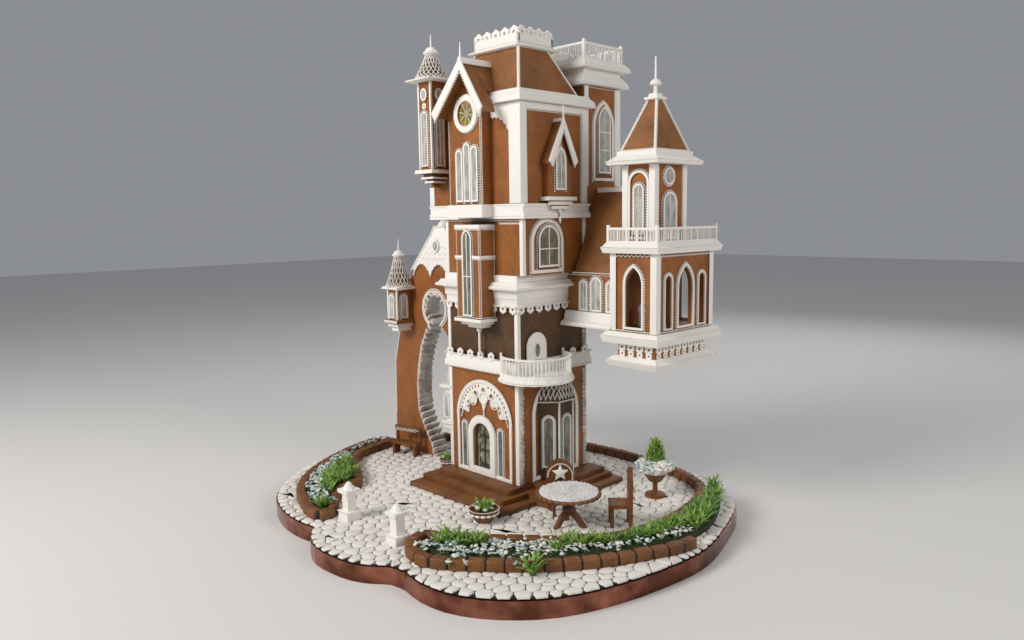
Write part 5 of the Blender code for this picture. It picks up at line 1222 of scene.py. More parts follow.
@dataclass
class BalconyStorey:
    """The flowered band, the round balcony and the storey behind it, its crust painted dark as the shade in
    its recess.
    """

    plan: Plan = HOUSE
    centre: tuple[float, float] = (0.028, 0.044)
    radius: float = 0.046
    rail_radius: float = 0.044
    start: float = -2.14
    sweep: float = 3.56
    door: float = 0.042
    eye: float = 0.208

    def band(self, trim: Trimmer) -> None:
        """The moulded band under the storey with its cut-out flowers."""
        reach = grown(self.plan, 0.0055)
        trim.icing.absorb(stacked(self.plan, ((0.0022, GROUND_TOP + 0.0003), (0.0052, GROUND_TOP + 0.003),
            (0.0055, GROUND_TOP + 0.009), (0.004, GROUND_TOP + 0.012), (0.004, BAND_TOP - 0.001),
            (0.003, BAND_TOP))))
        for side in Side:
            low, high = span_of(reach, side)
            if side is Side.FRONT:
                high = -0.002
            if side is Side.RIGHT:
                low = 0.094
            if side is Side.LEFT:
                low = 0.072
            wall = wall_of(reach, side)
            count = max(2, round((high - low) / 0.0125))
            trim.flowers(wall, BAND_TOP + 0.003, low + 0.002, high - 0.002, max(2, round(count * 0.6)),
                0.006, -0.0024)
            trim.line(wall, ((low, BAND_TOP + 0.0004), (high, BAND_TOP + 0.0004)), -0.0012, 0.0013, 0.003)
            trim.line(wall, ((low, GROUND_TOP + 0.003), (high, GROUND_TOP + 0.003)))
        trim.flowers(wall_of(reach, Side.LEFT), BAND_TOP + 0.0012, 0.01, 0.028, 2, 0.0056, -0.0022)

    def build(self) -> None:
        """Dresses the band, the balcony and the storey."""
        dress_node("icing", "balcony")
        # The second storey's dark crust is painted shade: its recess under the cornice lies in shade.
        dress_node("crust_dark", "second_storey")
        trim = Trimmer("balcony", "dark_gingerbread")
        self.band(trim)
        ring = [Vector((*polar(*self.centre, self.radius + 0.0016, a),
            0.1728)) for a in (self.start + self.sweep * k / 24 for k in range(25))]
        trim.dots.pipe(ring, 0.0011, 0.0023)
        for step in range(34):
            x, y = polar(*self.centre, self.rail_radius, self.start + self.sweep * step / 33)
            if step % 3:
                trim.icing.absorb(block(x - 0.0007, x + 0.0007, y - 0.0007, y + 0.0007, 0.18, 0.2005))
        right = wall_of(self.plan, Side.RIGHT)
        door = round_arch(self.door,  0.017, BAND_TOP + 0.0006, 0.213, 14)
        trim.icing.absorb(panel(right, door, 0.001, 0.003))
        trim.line(right, door, 0.0026, 0.0011)
        trim.icing.absorb(border(right, oval(self.door, self.eye,  0.0062, 0.0105), 0.0018, 0.0028, 0.0044))
        trim.panes.absorb(panel(right, oval(self.door, self.eye,  0.0048, 0.009), 0.0028, 0.0034))
        trim.strips(self.plan, BAND_TOP + 0.0002, SECOND_TOP, 0.004, 0.0014, ((0, 0), (1, 0), (0, 1)))
        trim.windows(self.plan, ((Side.LEFT, (0.045, 0.1)), (Side.BACK, (-0.07, -0.035, 0.0))), 0.008,
            0.208, 0.238, 0.245)
        trim.hand_over(["balcony_band"])
        stones = Batch("storey_quoins", "icing_grey", "icing")
        rng = random.Random(4)
        z = BAND_TOP + 0.0008
        while z < SECOND_TOP - 0.004:
            rise = rng.uniform(0.005, 0.0066)
            corners = [(0.13, z), (0.1376, z), (0.1376, z + rise - 0.0006), (0.13, z + rise - 0.0006)]
            stones.absorb(panel(right, corners, -GAP, rng.uniform(0.0012, 0.0019)))
            z += rise
        stones.hand_over(rounding=0.0006)


@dataclass
class MiddleStorey:
    """The moulded cornice with hanging flowers, the storey above it and its oriel."""

    plan: Plan = MID
    oriel: Plan = MID_ORIEL

    def cornice(self, trim: Trimmer) -> None:
        """The wide moulding with flowers that hang from it."""
        trim.icing.absorb(stacked(HOUSE, ((0.002, SECOND_TOP + 0.0004), (0.002, SECOND_TOP + 0.011),
            (0.0034, SECOND_TOP + 0.0112), (0.0036, 0.282), (0.006, 0.284), (0.0125, 0.285),
            (0.0125, 0.2885), (0.01, 0.2892), (0.007, 0.2935), (0.003, 0.2937), (0.003, 0.3019))))
        fascia = grown(HOUSE, 0.004)
        for side in Side:
            wall = wall_of(fascia, side)
            low, high = span_of(fascia, side)
            if side is Side.RIGHT:
                high = 0.102
            count = max(3, round((high - low) / 0.0165))
            trim.flowers(wall, SECOND_TOP - 0.0012, low, high, count, 0.0062, -0.0024)
            scallop = [(low + (high - low) * k / (count * 8),
                SECOND_TOP + 0.0012 + 0.0012 * (k % 2)) for k in range(count * 8 + 1)]
            trim.line(wall, scallop, 0.0, 0.0012, 0.0024)
            edge = wall_of(grown(HOUSE, 0.0125), side)
            trim.line(edge, ((low - 0.008, 0.2867), (high + (0.008 if side is not Side.RIGHT else 0.0),
                0.2867)), 0.0, *FINE_DOT)

    def dress_oriel(self, trim: Trimmer) -> None:
        """The oriel's plates, dotted bands and tall pointed window."""
        front = wall_of(self.oriel, Side.FRONT)
        right = wall_of(self.oriel, Side.RIGHT)
        middle = (self.oriel[0] + self.oriel[1]) / 2
        for z0, z1, reach in ((0.244, 0.2484, 0.0034), (0.3226, 0.3262, 0.0016), (0.359, 0.364, 0.0016),
                (0.2398, 0.2436, -0.003), (0.2358, 0.2394, -0.009)):
            trim.icing.absorb(block(self.oriel[0] - reach, self.oriel[1] + reach, self.oriel[2] - reach,
                self.oriel[3], z0, z1))
        outline = pointed_arch(middle, 0.0088, 0.251, 0.346, 1.5)
        trim.opening(front, outline, 0.0022, 0.0026, bars=(mullion(middle, 0.252, 0.353, 0.0007),
            (middle - 0.007, middle + 0.007, 0.3, 0.3012)))
        for wall, (low, high) in ((front, span_of(self.oriel, Side.FRONT)),
                (right, span_of(self.oriel, Side.RIGHT)), (wall_of(self.oriel, Side.LEFT),
                span_of(self.oriel, Side.LEFT))):
            for z in (0.358, 0.3216, 0.2494):
                trim.line(wall, ((low, z), (high, z)))
            for s in (low + 0.0012, high - 0.0012):
                trim.line(wall, ((s, 0.25), (s, 0.357)), 0.0002, 0.001)
        drop = ((0.0, 0.2006), (0.0015, 0.2008), (0.0016, 0.229), (0.0038, 0.232), (0.0034, 0.2366),
            (0.0, 0.2368))
        trim.icing.absorb(turned(drop, middle, (self.oriel[2] + self.oriel[3]) / 2 + 0.004, 12))

    def window(self, trim: Trimmer) -> None:
        """The broad round-headed window of the bay front with its lit jamb and bars."""
        right = wall_of(self.plan, Side.RIGHT)
        outer = round_arch(0.052, 0.0285, 0.3042, 0.3415, 16)
        trim.icing.absorb(border(right, outer, 0.004, -GAP, 0.0026))
        trim.serrate(right, outer)
        edge = round_arch(0.0524, 0.0236, 0.3094, 0.3425, 16)
        trim.line(right, edge, 0.0008, 0.0015, 0.0033)
        inner = round_arch(0.0545, 0.0185, 0.311, 0.344, 14)
        bars = ((0.0539, 0.0551, 0.3125, 0.361), (0.037, 0.072, 0.3328, 0.3342))
        trim.opening(right, inner, 0.0028, 0.003, bars=bars)

    def build(self) -> None:
        """Dresses the storey."""
        dress_node("crust", "mid_storey", "mid_oriel")
        trim = Trimmer("middle")
        self.cornice(trim)
        self.dress_oriel(trim)
        self.window(trim)
        trim.strips(self.plan, MID_FLOOR, MID_TOP - 0.0004, 0.004, 0.0014)
        trim.hem(self.plan, MID_TOP - 0.0016, 0.0013, 0.0026, (Side.FRONT, Side.LEFT))
        front = wall_of(self.plan, Side.FRONT)
        fringe = [(0.001 + 0.002 * k, MID_TOP - 0.0042 - 0.0022 * (k % 2)) for k in range(19)]
        trim.line(front, fringe, 0.0006, 0.0009, 0.0014)
        trim.windows(self.plan, ((Side.LEFT, (0.045, 0.09)), (Side.BACK, (-0.075, -0.045))), 0.0085, 0.312,
            0.344, 0.352)
        trim.hand_over(["mid_cornice"])


def add_balusters(batch: Batch, plan: Plan, z0: float, z1: float) -> None:
    """Thin balusters at an even pitch under a rail that follows a plan."""
    for side in Side:
        wall = wall_of(plan, side)
        low, high = span_of(plan, side)
        count = round((high - low) / 0.0043)
        for index in range(1, count):
            spot = wall.point(low + (high - low) * index / count, 0.0)
            batch.absorb(block(spot.x - 0.0006, spot.x + 0.0006, spot.y - 0.0006, spot.y + 0.0006, z0, z1))


@dataclass
class TurretRoof:
    """A turret's eave plate, latticed cone, mushroom cap and finial."""

    name: str
    plan: Plan
    levels: tuple[float, float, float, float, float]
    reach: float
    cap_radius: float
    replaces: str

    def build(self) -> None:
        """Models the roof."""
        z0, z1, cone_top, cap_top, tip = self.levels
        x = (self.plan[0] + self.plan[1]) / 2
        y = (self.plan[2] + self.plan[3]) / 2
        half = (self.plan[1] - self.plan[0]) / 2
        square: Plan = (x - half, x + half, y - half, y + half)
        icing = Batch(self.name + "_roof_icing")
        icing.absorb(stacked(square, ((self.reach - 0.003, z0), (self.reach, z0 + 0.0014),
            (self.reach - 0.0006, z1 - 0.0008), (self.reach - 0.0034, z1))))
        rise = cap_top - cone_top
        icing.absorb(turned(((0.0, cap_top - 0.0006), (0.0012, cap_top), (0.001, (cap_top + tip) / 2),
            (0.0004, tip), (0.0, tip)), x, y, 8))
        icing.hand_over(rounding=SKIN, replaces=[self.replaces])
        cone = turned(((0.0, z1 - 0.0005), (half + 0.0086, z1 - 0.0005), (half + 0.0066, z1 + 0.004),
            (half * 1.06, (z1 + cone_top) / 2), (half * 0.56, cone_top), (0.0, cone_top)), x, y, 20)
        hand_over(cone, self.name + "_cone", "crust_dark")
        cap = turned(((0.0, cone_top - 0.0004), (self.cap_radius * 0.72, cone_top),
            (self.cap_radius, cone_top + 0.16 * rise), (self.cap_radius * 1.02, cone_top + 0.4 * rise),
            (self.cap_radius * 0.8, cone_top + 0.5 * rise), (self.cap_radius * 0.7, cone_top + 0.74 * rise),
            (self.cap_radius * 0.4, cone_top + 0.94 * rise), (0.0, cap_top)), x, y, 16)
        hand_over(cap, self.name + "_cap", "icing")
        net = Batch(self.name + "_net")
        profile = ((half + 0.0089, z1), (half + 0.0069, z1 + 0.004),
            (half * 1.06 + 0.0003, (z1 + cone_top) / 2), (half * 0.56 + 0.0003, cone_top))
        for turn in (-1.0, 1.0):
            for start in range(18):
                line = []
                for index, (radius, z) in enumerate(profile):
                    for share in ((0.0, 0.5) if index < len(profile) - 1 else (0.0,)):
                        after = profile[min(index + 1, len(profile) - 1)]
                        angle = math.tau * start / 18 + turn * 0.42 * (index + share)
                        r = radius + (after[0] - radius) * share
                        line.append(Vector((*polar(x, y, r, angle), z + (after[1] - z) * share)))
                net.pipe(line, 0.00085, 0.0015)
        for ring_radius, z in ((half + 0.009, z1 + 0.0004), (self.cap_radius, cone_top + 0.28 * rise)):
            net.pipe(circle(x, y, z, ring_radius, 20),  0.0009, 0.0018, closed=True)
        rim = grown(square, self.reach)
        net.pipe(corners_of(rim, z0 + 0.0014), *FINE_DOT, closed=True)
        net.hand_over(angle=180.0)


@dataclass
class UpperStorey:
    """The leaning upper storey with its gabled bay, corner turret and dormer."""

    plan: Plan = UPPER
    bay: Plan = GABLE_BAY
    gable_middle: float = -0.0225
    gable_left: float = 0.053
    gable_right: float = 0.036
    gable_apex: float = 0.556
    gable_foot: float = 0.499
    gable_front: float = -0.028
    rose: tuple[float, float] = (-0.031, 0.497)

    def posts(self, trim: Trimmer) -> None:
        """White posts and bars that frame the two seen walls, and the lace bracket."""
        x0, x1, y0, y1 = self.plan
        right, front = wall_of(self.plan, Side.RIGHT), wall_of(self.plan, Side.FRONT)
        low, high = UPPER_FLOOR + 0.0002, UPPER_TOP - 0.0001
        flat = 0.0026
        for s0, s1, z0, z1 in ((y0 - 0.0024, y0 + 0.0086, low, high), (y1 - 0.0096, y1 - 0.0003, low, high),
                (y0 + 0.008, y1 - 0.009, UPPER_TOP - 0.0082, high)):
            trim.icing.absorb(plate(right, s0, s1, z0, z1, -GAP, flat))
        for s0, s1, z0, z1 in ((x1 - 0.0167, x1 + 0.0024, low, high),
                (x0 + 0.0003, x0 + 0.0092, low, 0.4122)):
            trim.icing.absorb(plate(front, s0, s1, z0, z1, -GAP, flat))
        trim.line(right, ((y0 + 0.0096, low + 0.001), (y0 + 0.0096, UPPER_TOP - 0.0092),
            (y1 - 0.0106, UPPER_TOP - 0.0092), (y1 - 0.0106, low + 0.001)), 0.0004, 0.001, 0.002)
        post = x1 - 0.0165
        lower = [(-0.005, 0.493), (-0.001, 0.4905), (0.002, 0.4925), (0.0055, 0.4895), (0.0085, 0.4915),
            (0.012, 0.4875), (0.015, 0.488), (0.0185, 0.4825), (0.021, 0.4825), (0.0238, 0.4755),
            (post, 0.475)]
        trim.icing.absorb(panel(front, lower + [(post, UPPER_TOP - 0.0003), (-0.005, UPPER_TOP - 0.0003)],
            -GAP, 0.002))
        trim.line(front, lower, 0.0014, 0.0013, 0.0023)
        trim.line(front, [(s, z + 0.004) for s, z in lower[:-1]], 0.002, 0.0009, 0.002)

    def bands(self, trim: Trimmer) -> None:
        """Dots along the band below and the cornice above."""
        for reach, z, sides in ((0.007, 0.3738, (Side.RIGHT,)), (0.002, 0.3738, (Side.FRONT, Side.LEFT)),
                (0.0066, 0.3866, (Side.RIGHT,)), (0.0018, 0.3866, (Side.FRONT, Side.LEFT))):
            for side in sides:
                low, high = span_of(self.plan, side)
                trim.line(wall_of(grown(self.plan, reach), side), ((low, z), (high, z)), 0.0, 0.0008,
                    0.0017)
        trim.line(wall_of(grown(self.plan, 0.0092), Side.RIGHT),
            ((self.plan[2], 0.508), (self.plan[3], 0.508)), 0.0, *FINE_DOT)
        trim.line(wall_of(grown(self.plan, 0.0092), Side.BACK), ((self.plan[0], 0.508), (-0.022, 0.508)),
            0.0, *FINE_DOT)

    def gable(self, trim: Trimmer) -> None:
        """The bay's rose window, lancets, rakes, ridge and slopes."""
        front = wall_of(self.bay, Side.FRONT)
        middle, height = self.rose
        trim.icing.absorb(border(front, oval(middle, height, 0.0212, 0.0222, 28), 0.007, -GAP, 0.0034))
        trim.line(front, oval(middle, height, 0.0216, 0.0226, 28), 0.001, 0.0012, 0.0024, closed=True)
        trim.line(front, oval(middle, height, 0.0148, 0.0158, 24), 0.003, *FINE_DOT, closed=True)
        glass = Batch("rose_pane", "pane_amber", "gingerbread")
        glass.absorb(panel(front, oval(middle, height, 0.0146, 0.0156, 24), -GAP, 0.0008))
        glass.hand_over()
        petals = Batch("rose_petals", "grass_dark", "leaf")
        for index in range(8):
            angle = math.tau * index / 8
            petal = [(middle + r * math.cos(angle + turn),
                height + 1.06 * r * math.sin(angle + turn)) for r,
                turn in ((0.003, -0.3), (0.0118, -0.13), (0.0118, 0.13), (0.003, 0.3))]
            petals.absorb(panel(front, petal, 0.0006, 0.0011))
        petals.hand_over()
        for index in range(16):
            angle = math.tau * (index + 0.5) / 16
            if index % 2:
                ray = [(middle + r * math.cos(angle), height + 1.06 * r * math.sin(angle)) for r in (0.002,
                    0.0142)]
                trim.line(front, ray, 0.001, 0.0007, 0.0013)
        for s, top in ((-0.014, 0.449), (0.0, 0.456), (0.0135, 0.452)):
            outline = round_arch(middle + s, 0.0064, 0.3915, top, 10)
            trim.opening(front, outline, 0.0024, 0.0026)
        peak, apex, foot = self.gable_middle, self.gable_apex, self.gable_foot
        left, right = peak - self.gable_left, peak + self.gable_right
        edge = Wall(Side.FRONT, self.gable_front)
        for end, sign, tail in ((left, -1.0, 0.004), (right, 1.0, 0.003)):
            rake = [(end + sign * 0.0015, foot + 0.0012), (peak, apex + 0.0032), (peak, apex - 0.01),
                (end - sign * tail, foot - 0.008)]
            trim.icing.absorb(panel(edge, rake, -0.0024, 0.0002))
            trim.line(edge, ((rake[3][0], rake[3][1] - 0.0012), (peak, apex - 0.0116)), -0.0008, 0.0017,
                0.0036)
            trim.line(edge, rake[:2], -0.0006, 0.0011, 0.0023)
        slopes = Batch("gable_slopes", "crust_roof", "gingerbread")
        thick = 0.0046
        for end, depth in ((left, -0.033), (right, -0.023)):
            shape = [(end, foot), (peak, apex), (peak, apex - thick), (end, foot - thick)]
            slopes.absorb(panel(edge, shape, depth, -0.0022))
        cut = 0.5208
        share = (apex - cut) / (apex - foot)
        for reach, sign in ((self.gable_left, -1.0), (self.gable_right, 1.0)):
            x = peak + sign * reach * share
            shape = [(x, cut), (peak, apex), (peak, apex - thick), (x - sign * 0.004, cut)]
            slopes.absorb(panel(edge, shape, -0.056, -0.0225))
        slopes.hand_over(rounding=SKIN)
        ridge = [(peak - 0.0042, apex - 0.003), (peak + 0.0042, apex - 0.003),
            (peak + 0.002, apex + 0.0044), (peak - 0.002, apex + 0.0044)]
        trim.icing.absorb(panel(edge, ridge, -0.056, 0.0004))
        trim.icing.absorb(turned(((0.0, apex), (0.0016, apex), (0.0012, apex + 0.01),
            (0.0005, apex + 0.0215), (0.0, apex + 0.0215)), peak, self.gable_front + 0.002, 8))
        for s in (self.bay[0] + 0.001, self.bay[1] - 0.001):
            trim.line(front, ((s, UPPER_FLOOR + 0.001), (s, 0.49)), 0.0002, 0.001, 0.002)
        side = wall_of(self.bay, Side.RIGHT)
        trim.line(side, ((self.bay[2] + 0.001, UPPER_FLOOR + 0.001), (self.bay[2] + 0.001, 0.5)), 0.0002,
            0.001, 0.002)

    def corner_turret(self, trim: Trimmer) -> None:
        """The turret's window, oval, little flower and corbel plates."""
        x0, x1, y0, y1 = CORNER_TURRET
        for wall, s in ((wall_of(CORNER_TURRET, Side.FRONT), (x0 + x1) / 2),
                (wall_of(CORNER_TURRET, Side.RIGHT), (y0 + y1) / 2),
                (wall_of(CORNER_TURRET, Side.LEFT), (y0 + y1) / 2)):
            trim.opening(wall, round_arch(s, 0.0066, 0.438, 0.5, 10), 0.0018, 0.0022,
                bars=(mullion(s, 0.439, 0.504, 0.0004),))
            trim.opening(wall, oval(s, 0.527, 0.0064, 0.008, 16), 0.0022, 0.0022, dotted=False)
            place = Matrix.Translation(wall.point(s, 0.513, 0.0)) @ wall.turn() @ Matrix.Scale(0.0042, 4)
            trim.icing.copy(SHAPES["flower"], place)
        for z0, z1, inset, reach in ((0.429, 0.4337, 0.0, 0.0053), (0.4222, 0.4248, 0.003, 0.003),
                (0.4172, 0.4198, 0.006, 0.0026)):
            grow = reach - inset
            trim.icing.absorb(block(x0 - grow, x1 + grow, y0 - grow, y1 - 0.0002, z0, z1))
        trim.strips(CORNER_TURRET, 0.4338, 0.5426, 0.0018, 0.001, ((0, 0), (1, 0)))
        TurretRoof("corner_turret", CORNER_TURRET, (0.543, 0.5468, 0.5762, 0.5868, 0.6026), 0.0118, 0.0095,
            "corner_turret_roof").build()

    def dormer(self, trim: Trimmer) -> None:
        """The dormer's window, rakes, slopes, plates and drop."""
        x0, x1, y0, y1 = DORMER
        middle = (y0 + y1) / 2
        right = wall_of(DORMER, Side.RIGHT)
        foot, apex, half = 0.4365, 0.487, 0.0238
        eave = foot + 0.0015
        trim.opening(right, pointed_arch(middle, 0.0092, 0.404, 0.439, 2.2), 0.0024, 0.0024,
            bars=(mullion(middle, 0.406, 0.464, 0.0004),))
        for sign in (-1.0, 1.0):
            rake = [(middle + sign * (half + 0.0012), eave + 0.0004), (middle, apex + 0.0022),
                (middle, apex - 0.0105), (middle + sign * (half - 0.004), foot - 0.003)]
            trim.icing.absorb(panel(right, rake, 0.0046, 0.0078))
            inner = [(rake[3][0], rake[3][1] - 0.001), (rake[2][0], rake[2][1] - 0.0016)]
            trim.line(right, inner, 0.0066, 0.0015, 0.0032)
            trim.line(right, (rake[0], rake[1]), 0.0066, 0.001, 0.0021)
        slopes = Batch("dormer_slopes", "crust_roof", "gingerbread")
        for sign in (-1.0, 1.0):
            shape = [(middle + sign * half, eave), (middle, apex), (middle, apex - 0.0042),
                (middle + sign * half, eave - 0.0036)]
            slopes.absorb(panel(right, shape, -(x1 - x0), 0.0047))
        slopes.hand_over(rounding=SKIN, replaces=["dormer_roof"])
        ridge = [(middle - 0.0022, apex - 0.0016), (middle + 0.0022, apex - 0.0016),
            (middle + 0.001, apex + 0.0026), (middle - 0.001, apex + 0.0026)]
        trim.icing.absorb(panel(right, ridge, -(x1 - x0), 0.007))
        trim.icing.absorb(turned(((0.0, apex - 0.001), (0.0015, apex - 0.001), (0.0012, apex + 0.009),
            (0.0005, apex + 0.0175), (0.0, apex + 0.0175)), x1 + 0.006, middle, 8))
        low_x = UPPER[1] + 0.0078
        for back, z0, z1, out, narrow in ((x0 + GAP, 0.3916, 0.3962, 0.0052, -0.0052),
                (low_x, 0.3864, 0.3902, 0.0034, 0.0006), (low_x, 0.3816, 0.385, 0.002, 0.0056)):
            trim.icing.absorb(block(back, x1 + out, y0 + narrow, y1 - narrow, z0, z1))
        trim.icing.absorb(turned(((0.0, 0.364), (0.0008, 0.3642), (0.0016, 0.369), (0.001, 0.374),
            (0.0016, 0.3824), (0.0, 0.3826)), low_x + 0.0018, middle, 8))

    def build(self) -> None:
        """Dresses the storey."""
        dress_node("crust", "upper_storey", "gable_bay", "corner_turret", "dormer")
        dress_node("icing", "upper_band", "upper_cornice")
        trim = Trimmer("upper", glass="pane_pale")
        self.posts(trim)
        self.bands(trim)
        self.gable(trim)
        self.corner_turret(trim)
        self.dormer(trim)
        trim.windows(self.plan, ((Side.LEFT, (0.04, 0.085)), (Side.BACK, (-0.09, -0.055))), 0.0095, 0.415,
            0.46, 0.472, 1.6)
        trim.strips(self.plan, UPPER_FLOOR + 0.0002, UPPER_TOP, 0.005, 0.0016, ((0, 1),))
        trim.hand_over(["gable_roof"])


@dataclass
class MainRoof:
    """The steep roof with piped hips and the flowered crest."""

    foot: Plan = MANSARD_FOOT
    head: Plan = MANSARD_HEAD
    wall: Plan = (-0.0548, 0.0235, 0.025, 0.0852)
    lip: Plan = (-0.0631, 0.0265, 0.022, 0.0928)

    def build(self) -> None:
        """Dresses the roof and models the crest."""
        dress_node("crust_roof", "mansard")
        hips = Batch("roof_hips")
        for right, back in ((0, 0), (1, 0), (1, 1), (0, 1)):
            low = Vector((self.foot[right], self.foot[2 + back], ROOF_FLOOR + 0.0005))
            high = Vector((self.head[right], self.head[2 + back], ROOF_TOP))
            radius = 0.0021 if (right, back) == (1, 0) else 0.0014
            hips.pipe([low, high], radius, radius * 1.25, unit="ball")
        for edge in edges_of(self.foot, ROOF_FLOOR + 0.0008):
            hips.pipe(edge, 0.0013, 0.0025)
        hips.hand_over(angle=180.0)
        trim = Trimmer("crest")
        trim.icing.absorb(stacked(self.lip, ((-0.003, ROOF_TOP + 0.0004), (0.0, ROOF_TOP + 0.0014),
            (-0.0004, 0.5758), (-0.002, 0.5768))))
        x0, x1, y0, y1 = self.wall
        for plan in ((x0, x1, y0, y0 + 0.0038), (x0, x1, y1 - 0.0038, y1), (x0, x0 + 0.0038, y0, y1),
                (x1 - 0.0038, x1, y0, y1)):
            trim.icing.absorb(block(*plan, 0.5764, 0.5882))
        for side in Side:
            low, high = span_of(self.wall, side)
            wall = wall_of(self.wall, side)
            trim.flowers(wall, 0.59, low, high, round((high - low) / 0.0165), 0.008, -0.003)
            trim.line(wall, ((low, 0.589), (high, 0.589)), -0.0018, 0.0018, 0.0037)
        trim.hem(self.lip, 0.5744, 0.0011, 0.0023)
        trim.hem(self.wall, 0.5786, 0.001, 0.0021)
        trim.hand_over(["crest"])


@dataclass
class RearTower:
    """The square tower behind, with its tall window and railed deck."""

    plan: Plan = REAR_TOWER

    def build(self) -> None:
        """Dresses the tower."""
        fence = Batch("rear_tower_balusters")
        add_balusters(fence, grown(self.plan, 0.0015), 0.569, 0.587)
        fence.hand_over()
        dress_node("crust", "rear_tower")
        dress_node("icing", "rear_tower_cornice", "rear_tower_deck")
        trim = Trimmer("rear_tower", glass="pane_pale")
        right = wall_of(self.plan, Side.RIGHT)
        middle = 0.1605
        trim.opening(right, pointed_arch(middle, 0.0205, 0.4175, 0.487, 1.7, 8), 0.0036, 0.0024, pane=False)
        inner = pointed_arch(middle + 0.0015, 0.0125, 0.427, 0.493, 1.75, 8)
        bars = ((middle - 0.01, middle + 0.013, 0.456, 0.4572),
            (middle - 0.01, middle + 0.013, 0.479, 0.4802), (middle + 0.001, middle + 0.002, 0.428, 0.512))
        trim.opening(right, inner, 0.0024, 0.0028, bars=bars)
        flat = 0.0025
        for s0, s1 in ((self.plan[2] + 0.0002, self.plan[2] + 0.0062),
                (self.plan[3] - 0.0112, self.plan[3] - 0.0002)):
            trim.icing.absorb(plate(right, s0, s1, 0.4105, 0.5357, -GAP, flat))
        trim.strips(self.plan, MID_FLOOR + 0.0004, 0.5358, 0.0045, 0.0014, ((1, 1), (0, 1)))
        for foot, spring in ((0.43, 0.485), (0.33, 0.372)):
            trim.windows(self.plan, ((Side.BACK, (0.01,)), (Side.LEFT, (0.162,))), 0.0115, foot, spring,
                spring + 0.012, 1.7)
        trim.hem(grown(self.plan, 0.0098), 0.5385, *FINE_DOT)
        trim.hem(grown(self.plan, 0.0108), 0.5595, *FINE_DOT)
        trim.hem(self.plan, 0.5342, 0.0011, 0.0023, (Side.RIGHT, Side.BACK, Side.LEFT))
        trim.hand_over()


@dataclass
class Wing:
    """The low wing that joins the house to the hanging pavilion."""

    plan: Plan = WING
    floor: float = 0.2535

    def build(self) -> None:
        """Dresses the wing."""
        dress_node("crust", "wing")
        dress_node("crust_roof", "wing_roof")
        dress_node("icing", "wing_base")
        trim = Trimmer("wing", glass="pane_pale")
        front = wall_of(self.plan, Side.FRONT)
        for middle, half, top in ((0.0602, 0.007, 0.293), (0.0805, 0.0092, 0.2975), (0.103, 0.0068, 0.293)):
            spring = top - half
            trim.opening(front, round_arch(middle, half, self.floor + 0.0008, spring, 12), 0.0024, 0.0024,
                bars=(mullion(middle, self.floor + 0.001, top - 0.002),))
        back = wall_of(self.plan, Side.BACK)
        for middle in (-0.002, 0.028, 0.058, 0.088):
            trim.opening(back, round_arch(middle, 0.008, self.floor + 0.001, 0.283, 10), 0.0024, 0.0022,
                bars=(mullion(middle, self.floor + 0.001, 0.289),))
        trim.hem(self.plan, 0.2996, 0.0011, 0.0023, (Side.FRONT, Side.BACK))
        lip = Wall(Side.FRONT, self.plan[2] - 0.0148)
        trim.line(lip, ((self.plan[0], 0.2366), (self.plan[1], 0.2366)), 0.0, *FINE_DOT)
        ridge = [Vector((0.044, 0.15, 0.4076)), Vector((0.101, 0.15, 0.4076))]
        trim.dots.pipe(ridge, 0.0014, 0.0027)
        trim.icing.absorb(block(0.0428, 0.1012, 0.1462, 0.1538, 0.4004, 0.4082))
        for y, sign in ((self.plan[2] - 0.003, 1.0), (self.plan[3] + 0.003, -1.0)):
            eave = [Vector((0.044, y - sign * 0.0004, 0.3022)), Vector((0.111, y - sign * 0.0004, 0.3022))]
            trim.dots.pipe(eave, 0.0011, 0.0023)
        trim.hand_over()


